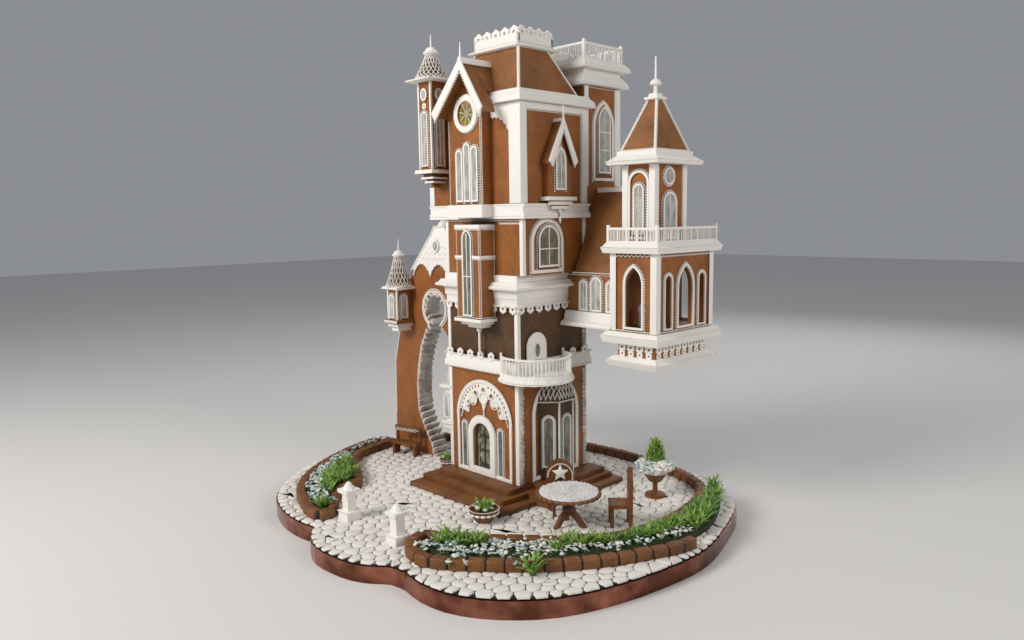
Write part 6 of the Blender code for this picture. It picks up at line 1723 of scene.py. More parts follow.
@dataclass
class Pavilion:
    """The hanging pavilion: base, open room, railed deck, upper room and spire."""

    plan: Plan = PAVILION
    upper: Plan = PAVILION_UPPER
    floor: float = 0.2353
    head: float = 0.3281

    def base(self, trim: Trimmer) -> None:
        """The stepped base with its brown band under cut-out flowers."""
        drum = grown(self.plan, -0.006)
        brown = Batch("pavilion_base_band", "crust", "gingerbread")
        for side in Side:
            wall = wall_of(drum, side)
            low, high = span_of(drum, side)
            brown.absorb(plate(wall, low - 0.0008, high + 0.0008, 0.2052, 0.2212, -GAP, 0.0009))
            count = round((high - low) / 0.0125)
            trim.flowers(wall, 0.2158, low, high, count, 0.006, 0.0008)
            trim.flowers(wall, 0.208, low, high, count, 0.0046, 0.0008)
        for reach, z in ((0.0058, 0.1998), (0.0104, 0.23)):
            trim.hem(grown(self.plan, reach), z, *FINE_DOT)
        brown.hand_over()

    def room(self, trim: Trimmer) -> None:
        """White corner posts, dotted ogee and lancet openings, and lace under the deck."""
        x0, x1, y0, y1 = self.plan
        trim.strips(self.plan, self.floor + 0.0002, self.head - 0.0002, 0.007, 0.0018)
        front, right, back = (wall_of(self.plan, side) for side in (Side.FRONT, Side.RIGHT, Side.BACK))
        mx, my, sill = (x0 + x1) / 2 + 0.001, (y0 + y1) / 2, self.floor + 0.0034
        for wall, s, half, spring in ((front, mx, 0.0145, 0.292), (right, my, 0.0175, 0.288),
                (back, mx, 0.0145, 0.295)):
            outline = pointed_arch(s, half, sill, spring, 1.75, 8)
            trim.icing.absorb(border(wall, outline, 0.0026, -0.0003, 0.0024))
            trim.serrate(wall, outline)
        for s in (my - 0.035, my + 0.0345):
            outline = round_arch(s, 0.0082, sill, 0.2962, 10)
            trim.icing.absorb(border(right, outline, 0.0018, -0.0003, 0.0022))
            trim.serrate(right, outline)
        for wall, (low, high) in ((front, (x0, x1)), (right, (y0, y1)), (back, (x0, x1)),
                (wall_of(self.plan, Side.LEFT), (y0, y1))):
            count = int((high - low) / 0.003)
            zigzag = [(low + (high - low) * k / count,
                self.head - 0.0016 - 0.0024 * (k % 2)) for k in range(count + 1)]
            trim.line(wall, zigzag, 0.0016, 0.0009, 0.0014)
            trim.line(wall, ((low, self.floor + 0.0014), (high, self.floor + 0.0014)), 0.0016, 0.001,
                0.0021)
        trim.hem(grown(self.plan, 0.0098), 0.3352, *FINE_DOT)
        candle = Batch("pavilion_candles")
        for x, y in ((x0 + 0.02, y0 + 0.03), (x0 + 0.04, y0 + 0.07)):
            candle.absorb(turned(((0.0, self.floor + 0.0032), (0.0036, self.floor + 0.0034),
                (0.003, self.floor + 0.018), (0.0044, self.floor + 0.024), (0.001, self.floor + 0.03),
                (0.0, self.floor + 0.0302)), x, y, 12))
        candle.hand_over()

    def upper_room(self, trim: Trimmer) -> None:
        """Posts, arched and round windows of the upper room."""
        ux0, ux1, uy0, uy1 = self.upper
        low, high = 0.3415, 0.4304
        trim.strips(self.upper, low, high, 0.0058, 0.0024)
        front, right, back = (wall_of(self.upper, side) for side in (Side.FRONT, Side.RIGHT, Side.BACK))
        mx, my = (ux0 + ux1) / 2, (uy0 + uy1) / 2 - 0.0012
        trim.opening(front, round_arch(mx, 0.0148, 0.3445, 0.4094, 14), 0.003, 0.0024, pane=False)
        trim.opening(front, round_arch(mx, 0.008, 0.35, 0.401, 10), 0.002, 0.0024,
            bars=(mullion(mx, 0.351, 0.408, 0.0004),))
        trim.opening(back, round_arch(mx, 0.011, 0.348, 0.403, 12), 0.0024, 0.0024)
        trim.opening(right, round_arch(my, 0.0135, 0.344, 0.386, 12), 0.0026, 0.0024,
            bars=(mullion(my, 0.345, 0.398),))
        trim.opening(right, oval(my - 0.002, 0.4172, 0.0104, 0.0104, 20), 0.0022, 0.0024)
        rose = [polar(my - 0.002, 0.4172, r, a) for a in (math.pi * k / 4 for k in range(8)) for r in (0.0,
            0.008)]
        for start, end in zip(rose[0::2], rose[1::2]):
            trim.line(right, (start, end), 0.0014, 0.0007, 0.0013)
        trim.opening(wall_of(self.upper, Side.LEFT), round_arch(my, 0.0115, 0.348, 0.403, 12), 0.0024,
            0.0024)

    def spire(self, trim: Trimmer) -> None:
        """The eaves and the steep roof with dotted hips, collars and a finial."""
        dress_node("icing", "pavilion_eaves")
        ux0, ux1, uy0, uy1 = self.upper
        cx, cy = (ux0 + ux1) / 2, (uy0 + uy1) / 2
        foot, head = grown(self.upper, 0.003), (cx - 0.006, cx + 0.006, cy - 0.006, cy + 0.006)
        slope = stacked(foot, ((0.0, 0.4466), (-0.001, 0.4478)))
        roof = Batch("pavilion_spire", "crust_roof", "gingerbread")
        roof.absorb(slope)
        start_clean()
        bpy.ops.mesh.primitive_plane_add(size=1.0)
        piece = bpy.context.active_object
        for corner in piece.data.vertices:
            right, back = corner.co.x > 0.0, corner.co.y > 0.0
            corner.co = (foot[1] if right else foot[0], foot[3] if back else foot[2], 0.447)
        all_in_edit()
        bpy.ops.mesh.extrude_region_move(TRANSFORM_OT_translate={"value": (0.0, 0.0, 0.5058 - 0.447)})
        mesh = bmesh.from_edit_mesh(piece.data)
        for corner in mesh.verts:
            if corner.co.z > 0.5:
                corner.co.x = head[1] if corner.co.x > cx else head[0]
                corner.co.y = head[3] if corner.co.y > cy else head[2]
        bmesh.update_edit_mesh(piece.data)
        close_edit()
        roof.absorb(piece)
        roof.hand_over(replaces=["pavilion_roof"])
        for hip in zip(corners_of(foot, 0.4472), corners_of(head, 0.5056)):
            trim.dots.pipe(hip, 0.0021, 0.0034, unit="ball")
        for plan, z, radius in ((foot, 0.4474, 0.0013), (grown(self.upper, 0.0164), 0.435, 0.001)):
            for edge in edges_of(plan, z):
                trim.dots.pipe(edge, radius, 0.0025 if plan is foot else 0.002)
        trim.icing.absorb(stacked(head, ((0.002, 0.5054), (0.0036, 0.5064), (0.0034, 0.509), (0.0, 0.5096),
            (-0.0004, 0.5131))))
        trim.icing.absorb(turned(((0.0, 0.5127), (0.0026, 0.5128), (0.0022, 0.5222), (0.0066, 0.5232),
            (0.0068, 0.5248), (0.006, 0.5268), (0.004, 0.529), (0.0014, 0.5302), (0.0009, 0.5558),
            (0.0, 0.5558)), cx, cy, 16))

    def build(self) -> None:
        """Dresses the pavilion."""
        dress_node("icing", "pavilion_base", "pavilion_deck")
        dress_node("crust", "pavilion_room", "pavilion_upper")
        trim = Trimmer("pavilion", glass="pane_pale")
        add_balusters(trim.icing, grown(self.plan, 0.003), 0.3416, 0.3566)
        self.base(trim)
        self.room(trim)
        self.upper_room(trim)
        self.spire(trim)
        trim.hand_over()


@dataclass
class ArchWall:
    """The free wall on the left with its keyhole passage, lace gable and two little turrets."""

    middle: float = -0.1836
    height: float = 0.243
    radius: float = 0.0235
    neck: float = 0.0205
    axis: float = -0.168
    left_jamb: Outline = field(default_factory=lambda: [(-0.206, 0.208), (-0.218, 0.186), (-0.226, 0.156),
        (-0.23, 0.124), (-0.228, 0.09), (-0.215, 0.064), (-0.2, 0.042), (-0.1935, 0.0215)])
    right_jamb: Outline = field(default_factory=lambda: [(-0.13, 0.041), (-0.129, 0.07), (-0.132, 0.13),
        (-0.142, 0.175), (-0.152, 0.2)])
    gable: Outline = field(default_factory=lambda: [(-0.234, 0.298), (-0.208, 0.326), (-0.1868, 0.3489),
        (-0.179, 0.36)])

    def ring(self, radius: float) -> Outline:
        """The round head of the keyhole, from its right neck over the top to its left neck."""
        start = -math.asin(self.neck / self.radius)
        end = math.pi - start
        return [polar(self.middle, self.height, radius, start + (end - start) * k / 24) for k in range(25)]

    def keyhole(self, trim: Trimmer) -> None:
        """The serrated ring, the piped jambs and the rough stones of the passage."""
        front, back = Wall(Side.FRONT, ARCH_WALL_Y[0]), Wall(Side.BACK, ARCH_WALL_Y[1])
        for wall in (front, back):
            for radius, depth, dot in ((self.radius + 0.0022, 0.002, 0.0017),
                    (self.radius + 0.0052, 0.0008, 0.0013)):
                trim.line(wall, self.ring(radius), depth, dot, dot * 1.95)
            trim.line(wall, self.right_jamb, 0.0008, 0.0013, 0.0026)
            trim.line(wall, self.left_jamb, 0.0008, 0.0013, 0.0026)
        outer, inner = self.ring(self.radius + 0.0034), self.ring(self.radius + 0.0002)
        for start in range(24):
            face = [outer[start], outer[start + 1], inner[start + 1], inner[start]]
            trim.icing.absorb(panel(front, face, -GAP, 0.0022), panel(back, face, -GAP, 0.0018))
        stones = Batch("passage_stones", "icing_grey", "cobble")
        rng = random.Random(61)
        path = [Vector((s, 0.0, z)) for s, z in self.ring(self.radius - 0.002)[8:] + self.left_jamb]
        shift = Vector((0.0022, 0.0, 0.0))
        for index, (place, heading) in enumerate(along(path, 0.0096)):
            down = Matrix.Rotation(math.atan2(heading.x, -heading.z) + math.pi, 4, "Y")
            at = place + (shift if index > 6 else Vector()) + Vector((0.0, 0.0658, 0.0))
            size = Matrix.Diagonal((0.0042, 0.0256 * rng.uniform(0.94, 1.04), 0.0099, 1.0))
            turn = Matrix.Rotation(rng.uniform(-0.05, 0.05), 4, "X")
            stones.copy(SHAPES["brick"], Matrix.Translation(at) @ down @ turn @ size
                @ Matrix.Translation((0.0, 0.0, -0.5)))
        stones.hand_over(replaces=["arch_lining"])

    def lace(self, trim: Trimmer) -> None:
        """The scalloped lace that fills the gable, with its oval window and knob."""
        front, back = Wall(Side.FRONT, ARCH_WALL_Y[0]), Wall(Side.BACK, ARCH_WALL_Y[1])
        right = [(2 * self.axis - s, z) for s, z in reversed(self.gable)]
        outline = self.gable + right
        hem = [(-0.111, 0.298)]
        for index in range(37):
            swing = abs(math.sin(math.pi * index / 12))
            hem.append((-0.112 - 0.118 * index / 36, 0.2905 + 0.0165 * swing ** 0.8 + 0.0016 * (index % 2)))
        skirt = outline + hem + [(-0.23, 0.298)]
        hem = hem[1:]
        for wall, sheet in ((front, 0.002), (back, 0.0016)):
            trim.icing.absorb(panel(wall, skirt, -GAP, sheet))
            trim.line(wall, outline, sheet + 0.0003, 0.0015, 0.0028)
            trim.line(wall, hem, sheet + 0.0002, 0.0014, 0.0026)
            for row, count in ((0.313, 7), (0.321, 6), (0.329, 4)):
                half = 0.0118 * count / 2
                for index in range(count):
                    s = self.axis - half + 0.0118 * (index + 0.5)
                    loop = [(s + 0.0046 * math.cos(a),
                        row + 0.0038 * math.sin(a)) for a in (math.pi * k / 6 for k in range(7))]
                    trim.line(wall, loop, sheet + 0.0002, 0.0009, 0.0017)
        trim.opening(front, oval(self.axis - 0.008, 0.3334, 0.008, 0.0092, 18), 0.0026, 0.004)
        trim.icing.absorb(turned(((0.0, 0.3575), (0.008, 0.358), (0.0096, 0.3606), (0.0078, 0.3634),
            (0.0066, 0.366), (0.003, 0.3694), (0.0, 0.37)), self.axis, 0.061, 10))
        rim = [(-0.2862, 0.074), (-0.2843, 0.156), (-0.2713, 0.204)]
        trim.line(front, rim, -0.0002, 0.0014, 0.0027)
        for y in (0.0528, 0.0692):
            trim.dots.pipe([Vector((s, y, z + 0.001)) for s, z in outline], 0.0015, 0.0028)

    def turrets(self, trim: Trimmer) -> None:
        """The bracketed turret near the gable and the low one beside the steps."""
        x0, x1, y0, y1 = ARCH_TURRET
        front = wall_of(ARCH_TURRET, Side.FRONT)
        middle = (x0 + x1) / 2
        trim.opening(front, round_arch(middle, 0.0062, 0.2268, 0.256, 10), 0.0018, 0.0022,
            bars=(mullion(middle, 0.2275, 0.26, 0.0004),))
        for side in (Side.LEFT, Side.RIGHT):
            wall = wall_of(ARCH_TURRET, side)
            trim.opening(wall, round_arch((y0 + y1) / 2 - 0.002, 0.006, 0.2268, 0.256, 10), 0.0018, 0.0022)
        for z0, z1, grow in ((0.2197, 0.2243, 0.005), (0.2142, 0.2199, 0.0012), (0.2074, 0.2142, -0.003)):
            trim.icing.absorb(block(x0 - grow, x1 + grow, y0 - grow, y1 - 0.0002, z0, z1))
        trim.strips(ARCH_TURRET, 0.2242, 0.2686, 0.0018, 0.001, ((0, 0), (1, 0)))
        TurretRoof("arch_turret", (x0, x1, 0.0298, 0.0524), (0.269, 0.274, 0.3165, 0.327, 0.343), 0.008,
            0.0092, "arch_turret_roof").build()
        low = Batch("side_turret_icing", "icing_grey", "icing")
        sx0, sx1, sy0, sy1 = SIDE_TURRET
        cx, cy = (sx0 + sx1) / 2, (sy0 + sy1) / 2
        low.absorb(turned(((0.0, 0.1484), (0.0096, 0.1486), (0.0066, 0.16), (0.004, 0.17), (0.0052, 0.1716),
            (0.0014, 0.175), (0.0, 0.1756)), cx, cy, 16))
        low.hand_over(rounding=SKIN)
        for side in (Side.FRONT, Side.LEFT, Side.RIGHT):
            wall = wall_of(SIDE_TURRET, side)
            s = cx if side is Side.FRONT else cy
            trim.opening(wall, round_arch(s, 0.0052, 0.104, 0.131, 8), 0.0016, 0.0014)
        for z in (0.147, 0.0965, 0.0906):
            trim.hem(grown(SIDE_TURRET, 0.0026), z, 0.001, 0.002, (Side.FRONT, Side.LEFT, Side.RIGHT))

    def build(self) -> None:
        """Dresses the arch wall and its turrets."""
        dress_node("crust", "arch_wall", "arch_turret")
        dress_node("icing", "side_turret")
        trim = Trimmer("arch", glass="pane_pale")
        self.keyhole(trim)
        self.lace(trim)
        self.turrets(trim)
        trim.hand_over(["arch_lace"])


# The board and the garden
PLANTER_PATH: Outline = [(-0.288, 0.04), (-0.272, -0.022), (-0.242, -0.054), (-0.2, -0.077), (-0.164, -0.1),
    (-0.148, -0.137), (-0.12, -0.162), (-0.0965, -0.178), (-0.093, -0.193), (-0.109, -0.1985),
    (-0.143, -0.189), (-0.185, -0.171), (-0.222, -0.142), (-0.26, -0.094), (-0.288, -0.042),
    (-0.306, 0.012), (-0.302, 0.04)]
RING_PATH: Outline = [(0.05, -0.147), (0.066, -0.137), (0.096, -0.116), (0.15, -0.072), (0.195, -0.018),
    (0.212, 0.045), (0.21, 0.1), (0.199, 0.148), (0.181, 0.183), (0.158, 0.203), (0.123, 0.219),
    (0.071, 0.231), (0.016, 0.236), (-0.04, 0.233), (-0.1, 0.221), (-0.16, 0.196), (-0.215, 0.156),
    (-0.252, 0.115), (-0.27, 0.085)]
OUTER_PATH: Outline = [(0.0475, -0.1625), (0.054, -0.177), (0.073, -0.187), (0.102, -0.187),
    (0.142, -0.159), (0.199, -0.104), (0.231, -0.054), (0.257, 0.004), (0.263, 0.03)]
FRONT_BED: Outline = [(0.062, -0.164), (0.078, -0.173), (0.101, -0.173), (0.134, -0.15), (0.188, -0.098),
    (0.219, -0.049), (0.243, 0.005), (0.253, 0.045), (0.25, 0.09), (0.236, 0.132), (0.215, 0.172),
    (0.188, 0.203), (0.174, 0.21), (0.192, 0.188), (0.208, 0.15), (0.219, 0.101), (0.221, 0.044),
    (0.205, -0.022), (0.158, -0.079), (0.102, -0.124), (0.07, -0.147)]
FOOT = 0.0213
STEPS: Plan = (-0.116, 0.06, -0.052, 0.161)


def board_outline() -> Outline:
    """The board's rim as seen from above, in the layout frame, read from its CAD node."""
    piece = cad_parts["board"]
    top = max(v.co.z for v in piece.data.vertices)
    ring = {(round(v.co.x, 5), round(v.co.y, 5)) for v in piece.data.vertices if v.co.z > top - 0.0005}
    ordered = sorted(ring, key=lambda p: math.atan2(p[1], p[0]))
    return [(x - LAYOUT_SHIFT.x, y - LAYOUT_SHIFT.y) for x, y in ordered]


def nearest(x: float, y: float, path: Sequence[tuple[float, float]], closed: bool = False) -> float:
    """How far a plan point is from a path."""
    pairs = list(zip(path, path[1:])) + ([(path[-1], path[0])] if closed else [])
    best = 1.0
    for (ax, ay), (bx, by) in pairs:
        dx, dy = bx - ax, by - ay
        share = max(0.0, min(1.0, ((x - ax) * dx + (y - ay) * dy) / max(dx * dx + dy * dy, 1e-12)))
        best = min(best, math.hypot(x - ax - share * dx, y - ay - share * dy))
    return best


@dataclass
class Board:
    """The copper-covered board with its close-set iced cobbles."""

    pitch: float = 0.0152
    joint: float = 0.001

    def cell(self, seed: tuple[float, float], others: Sequence[tuple[float, float]]) -> Outline:
        """The outline of one cobble: the places nearer to its seed than to another, less the joint.

        Args:
            seed: The middle of the cobble.
            others: The middles of the cobbles around it.

        Returns:
            Its corners, rounded.
        """
        reach = self.pitch
        ring = [polar(*seed, reach, math.tau * k / 12) for k in range(12)]
        for x, y in others:
            dx, dy = x - seed[0], y - seed[1]
            gap = math.hypot(dx, dy)
            limit = gap / 2 - self.joint / 2
            side = [((px - seed[0]) * dx + (py - seed[1]) * dy) / gap - limit for px, py in ring]
            cut: Outline = []
            for index, (px, py) in enumerate(ring):
                nx, ny = ring[(index + 1) % len(ring)]
                here, there = side[index], side[(index + 1) % len(ring)]
                if here <= 0.0:
                    cut.append((px, py))
                if here * there < 0.0:
                    share = here / (here - there)
                    cut.append((px + (nx - px) * share, py + (ny - py) * share))
            ring = cut
        rounded: Outline = []
        for index, (px, py) in enumerate(ring):
            nx, ny = ring[(index + 1) % len(ring)]
            length = math.hypot(nx - px, ny - py)
            if length > 0.0003:
                near = min(0.3, 0.0024 / length)
                rounded += [(px + (nx - px) * near, py + (ny - py) * near),
                    (nx + (px - nx) * near, ny + (py - ny) * near)]
        return rounded

    def evened(self, seeds: Outline, core: Outline, rounds: int = 2) -> Outline:
        """Moves each seed toward the middle of its own cell, so no cell ends in a long sliver.

        Args:
            seeds: The middles of the cobbles.
            core: The outline the middles stay inside.
            rounds: How often all of them are moved.

        Returns:
            The moved middles.
        """
        for _ in range(rounds):
            moved: Outline = []
            for seed in seeds:
                near = [p for p in seeds if p is not seed and abs(p[0] - seed[0]) < 2.2 * self.pitch
                    and abs(p[1] - seed[1]) < 2.2 * self.pitch]
                ring = self.cell(seed, near)
                if not ring:
                    continue
                x = sum(p[0] for p in ring) / len(ring)
                y = sum(p[1] for p in ring) / len(ring)
                moved.append((x, y) if inside(x, y, core) else seed)
            seeds = moved
        return seeds

    def build(self) -> None:
        """Lays the dark bed and the cobbles."""
        dress_node("foil", "board")
        rim = board_outline()
        paved = [(x * 0.988, y * 0.988) for x, y in rim]
        bed = slab(paved, BOARD_TOP + 0.0001, BOARD_TOP + 0.0016)
        hand_over(bed, "paving_bed", "joint", ["paving"])
        rng = random.Random(12)
        seeds: Outline = []
        row, y = 0, -0.27
        while y < 0.28:
            x = -0.34 + (self.pitch / 2 if row % 2 else 0.0)
            while x < 0.3:
                seeds.append((x + rng.uniform(-0.34, 0.34) * self.pitch,
                    y + rng.uniform(-0.3, 0.3) * self.pitch))
                x += self.pitch
            y += self.pitch * 0.84
            row += 1
        limit = [(x * 0.9935, y * 0.9935) for x, y in rim]
        core = [(x * 0.975, y * 0.975) for x, y in rim]
        drawn: Outline = []
        for x, y in seeds:
            share = 1.0
            while share > 0.955 and not inside(x * share, y * share, core):
                share -= 0.005
            if inside(x * share, y * share, core):
                crowded = any(math.hypot(x * share - p[0],
                    y * share - p[1]) < 0.58 * self.pitch for p in drawn)
                if not crowded:
                    drawn.append((x * share, y * share))
        seeds = self.evened(drawn, core)
        stones = Batch("cobbles", "cobble", "cobble")
        for seed in seeds:
            covered = in_plan(*seed, STEPS, -0.015) or not inside(*seed, limit)
            if covered:
                continue
            near = [p for p in seeds if p is not seed and math.hypot(p[0] - seed[0],
                p[1] - seed[1]) < 2.2 * self.pitch]
            outline = []
            for px, py in self.cell(seed, near):
                share = 1.0
                while share > 0.1 and not inside(seed[0] + (px - seed[0]) * share,
                        seed[1] + (py - seed[1]) * share, limit):
                    share -= 0.03
                outline.append((seed[0] + (px - seed[0]) * share, seed[1] + (py - seed[1]) * share))
            level = BOARD_TOP + 0.0012
            stones.copy(Unit.taken_from(flat_shape([Vector((px, py, level)) for px, py in outline])),
                Matrix.Identity(4))
        piece = stones.join()
        start_clean()
        piece.select_set(True)
        bpy.context.view_layer.objects.active = piece
        all_in_edit()
        bpy.ops.mesh.extrude_region_move(TRANSFORM_OT_translate={"value": (0.0, 0.0, 0.0017)})
        bpy.ops.mesh.inset(thickness=0.0006, depth=0.0006, use_individual=True)
        bpy.ops.mesh.inset(thickness=0.0012, depth=0.0004, use_individual=True)
        close_edit()
        hand_over(piece, "cobbles", "cobble", angle=60.0)


@dataclass
class Curbs:
    """The three brick-built curbs of the garden."""

    half: float = 0.0058
    height: float = 0.0135
    brick: float = 0.019

    def wall(self, name: str, path: Outline, closed: bool, node: str, seed: int) -> None:
        """Lays one curb of rounded bricks along a path.

        Args:
            name: The curb's name.
            path: The points its middle line passes.
            closed: Whether it runs round.
            node: The CAD node it stands for.
            seed: Start of the random draws.
        """
        rng = random.Random(seed)
        bricks = Batch(name + "_bricks", "crust_brick", "dark_gingerbread")
        line = [Vector((x, y, FOOT)) for x, y in smooth_path(path, 6, closed)]
        for place, heading in along(line, self.brick, closed):
            turn = Matrix.Rotation(math.atan2(heading.y, heading.x) + rng.uniform(-0.02, 0.02), 4, "Z")
            size = (self.brick * rng.uniform(0.93, 0.99), 2 * self.half * rng.uniform(0.96, 1.02),
                self.height * rng.uniform(0.93, 1.0), 1.0)
            bricks.copy(SHAPES["brick"], Matrix.Translation(place - Vector((0.0, 0.0,
                0.0006))) @ turn @ Matrix.Diagonal(size))
        bricks.hand_over(replaces=[node], angle=50.0)
        filler = Batch(name + "_joints", "joint", "dark_gingerbread")
        for place, heading in along(line, 0.006, closed):
            turn = Matrix.Rotation(math.atan2(heading.y, heading.x), 4, "Z")
            size = Matrix.Diagonal((0.0064, 2 * self.half * 0.78, self.height * 0.8, 1.0))
            filler.copy(SHAPES["brick"], Matrix.Translation(place) @ turn @ size)
        filler.hand_over()

    def build(self) -> None:
        """Lays the curbs."""
        self.wall("planter_left", PLANTER_PATH, True, "planter_left", 3)
        self.wall("ring_wall", RING_PATH, False, "ring_wall", 4)
        self.wall("planter_front", OUTER_PATH, False, "planter_front", 5)


@dataclass
class Planting:
    """Grass tufts and piped blossoms in the beds and pots."""

    rng: random.Random = field(default_factory=lambda: random.Random(8))
    light: Batch = field(default_factory=lambda: Batch("grass_light", "grass", "leaf"))
    dark: Batch = field(default_factory=lambda: Batch("grass_deep", "grass_dark", "leaf"))
    white: Batch = field(default_factory=lambda: Batch("blossoms_white"))
    blue: Batch = field(default_factory=lambda: Batch("blossoms_blue", "icing_blue", "icing"))
    mint: Batch = field(default_factory=lambda: Batch("blossoms_mint", "icing_mint", "icing"))

    def tuft(self, x: float, y: float, z: float, height: float, blades: int, spread: float,
            wide: float = 1.0, batch: Batch | None = None) -> None:
        """One tuft of leaves that fan out from a point."""
        rng = self.rng
        for index in range(blades):
            lean = spread * rng.uniform(0.15, 1.0)
            angle = math.tau * (index + rng.uniform(-0.4, 0.4)) / blades
            length = height * rng.uniform(0.7, 1.0)
            turn = Matrix.Rotation(angle, 4, "Z") @ Matrix.Rotation(-lean, 4, "X")
            size = Matrix.Diagonal((length * 0.9 * wide, length, length, 1.0))
            home = batch or (self.light if rng.random() < 0.62 else self.dark)
            home.copy(SHAPES[f"blade{rng.randrange(2)}"], Matrix.Translation((x, y, z)) @ turn @ size)

    def blossom(self, x: float, y: float, z: float, radius: float, blue: bool) -> None:
        """One blossom, tilted a little."""
        tilt = Matrix.Rotation(self.rng.uniform(-0.6, 0.6), 4,
            "X") @ Matrix.Rotation(self.rng.uniform(-0.6, 0.6), 4, "Y")
        place = Matrix.Translation((x, y, z)) @ tilt @ Matrix.Scale(radius, 4)
        tinted = self.blue if self.rng.random() < 0.4 else self.mint
        (tinted if blue else self.white).copy(SHAPES["blossom"], place)

    def grassy(self, x: float, y: float) -> bool:
        """Whether a place in the beds has tall grass, and not blossoms."""
        if x < 0.0:
            return nearest(x, y, PLANTER_PATH[9:], False) > 0.029 or x > -0.118
        if 0.118 < x < 0.172 and y < -0.06:
            return False
        if x < 0.076:
            return False
        return nearest(x, y, RING_PATH) < nearest(x, y, OUTER_PATH) + (0.004 if x > 0.15 else 0.0)

    def bed(self, outline: Outline, level: float, pitch: float, node: str) -> None:
        """Fills a bed with soil, grass and blossoms.

        Args:
            outline: Its plan outline.
            level: Height of its soil.
            pitch: How far apart its tufts are.
            node: The CAD node it stands for.
        """
        hand_over(slab(outline, FOOT, level), node + "_soil", "soil", [node])
        xs, ys = [p[0] for p in outline], [p[1] for p in outline]
        rng = self.rng
        y = min(ys)
        while y < max(ys):
            x = min(xs)
            while x < max(xs):
                px, py = x + rng.uniform(-0.4, 0.4) * pitch, y + rng.uniform(-0.4, 0.4) * pitch
                if inside(px, py, outline) and nearest(px, py, outline, True) > 0.0015:
                    if self.grassy(px, py):
                        self.tuft(px, py, level - 0.0006, rng.uniform(0.0135, 0.02), 10, 0.42, 1.7)
                    else:
                        self.tuft(px, py, level - 0.0006, rng.uniform(0.005, 0.0085), 5, 1.1, 1.3)
                        for _ in range(5):
                            self.blossom(px + rng.uniform(-0.5, 0.5) * pitch,
                                py + rng.uniform(-0.5, 0.5) * pitch, level + rng.uniform(0.0025, 0.007),
                                rng.uniform(0.0015, 0.0025), rng.random() < (0.7 if px < 0.095 else 0.4))
                x += pitch
            y += pitch

    def trail(self, x: float, y: float, top: float, radius: float, count: int) -> None:
        """Blossoms that trail over a curb."""
        for _ in range(count):
            angle, reach = self.rng.uniform(0, math.tau), radius * self.rng.random() ** 0.5
            px, py = polar(x, y, reach, angle)
            z = top - 0.45 * reach + self.rng.uniform(-0.001, 0.002)
            self.blossom(px, py, z, self.rng.uniform(0.0018, 0.003), self.rng.random() < 0.5)
            self.tuft(px, py, z - 0.003, 0.006, 3, 1.1)

    def build(self) -> None:
        """Plants the beds, the pots and the urn."""
        middle = smooth_path(PLANTER_PATH, 4, True)
        shrunk = []
        for index, (x, y) in enumerate(middle):
            before, after = middle[index - 1], middle[(index + 1) % len(middle)]
            dx, dy = after[0] - before[0], after[1] - before[1]
            length = max(math.hypot(dx, dy), 1e-9)
            for sign in (1.0, -1.0):
                px, py = x - sign * dy / length * 0.0062, y + sign * dx / length * 0.0062
                if inside(px, py, middle):
                    shrunk.append((px, py))
                    break
        self.bed(shrunk, FOOT + 0.009, 0.0082, "bed_left")
        self.bed(smooth_path(FRONT_BED, 3, True),  FOOT + 0.008, 0.0085, "bed_front")
        for x, y in ((0.072, -0.18), (0.125, -0.17), (0.169, -0.128), (-0.115, -0.17)):
            self.trail(x, y, FOOT + 0.015, 0.013, 16)
        self.tuft(0.1885, -0.129, FOOT + 0.0004, 0.022, 15, 0.55, 2.0, self.light)
        self.tuft(0.1865, -0.127, FOOT + 0.0004, 0.025, 9, 0.3, 2.0, self.light)
        for batch, angle in ((self.light, 180.0), (self.dark, 180.0), (self.white, 50.0), (self.blue, 50.0),
                (self.mint, 50.0)):
            batch.hand_over(angle=angle)


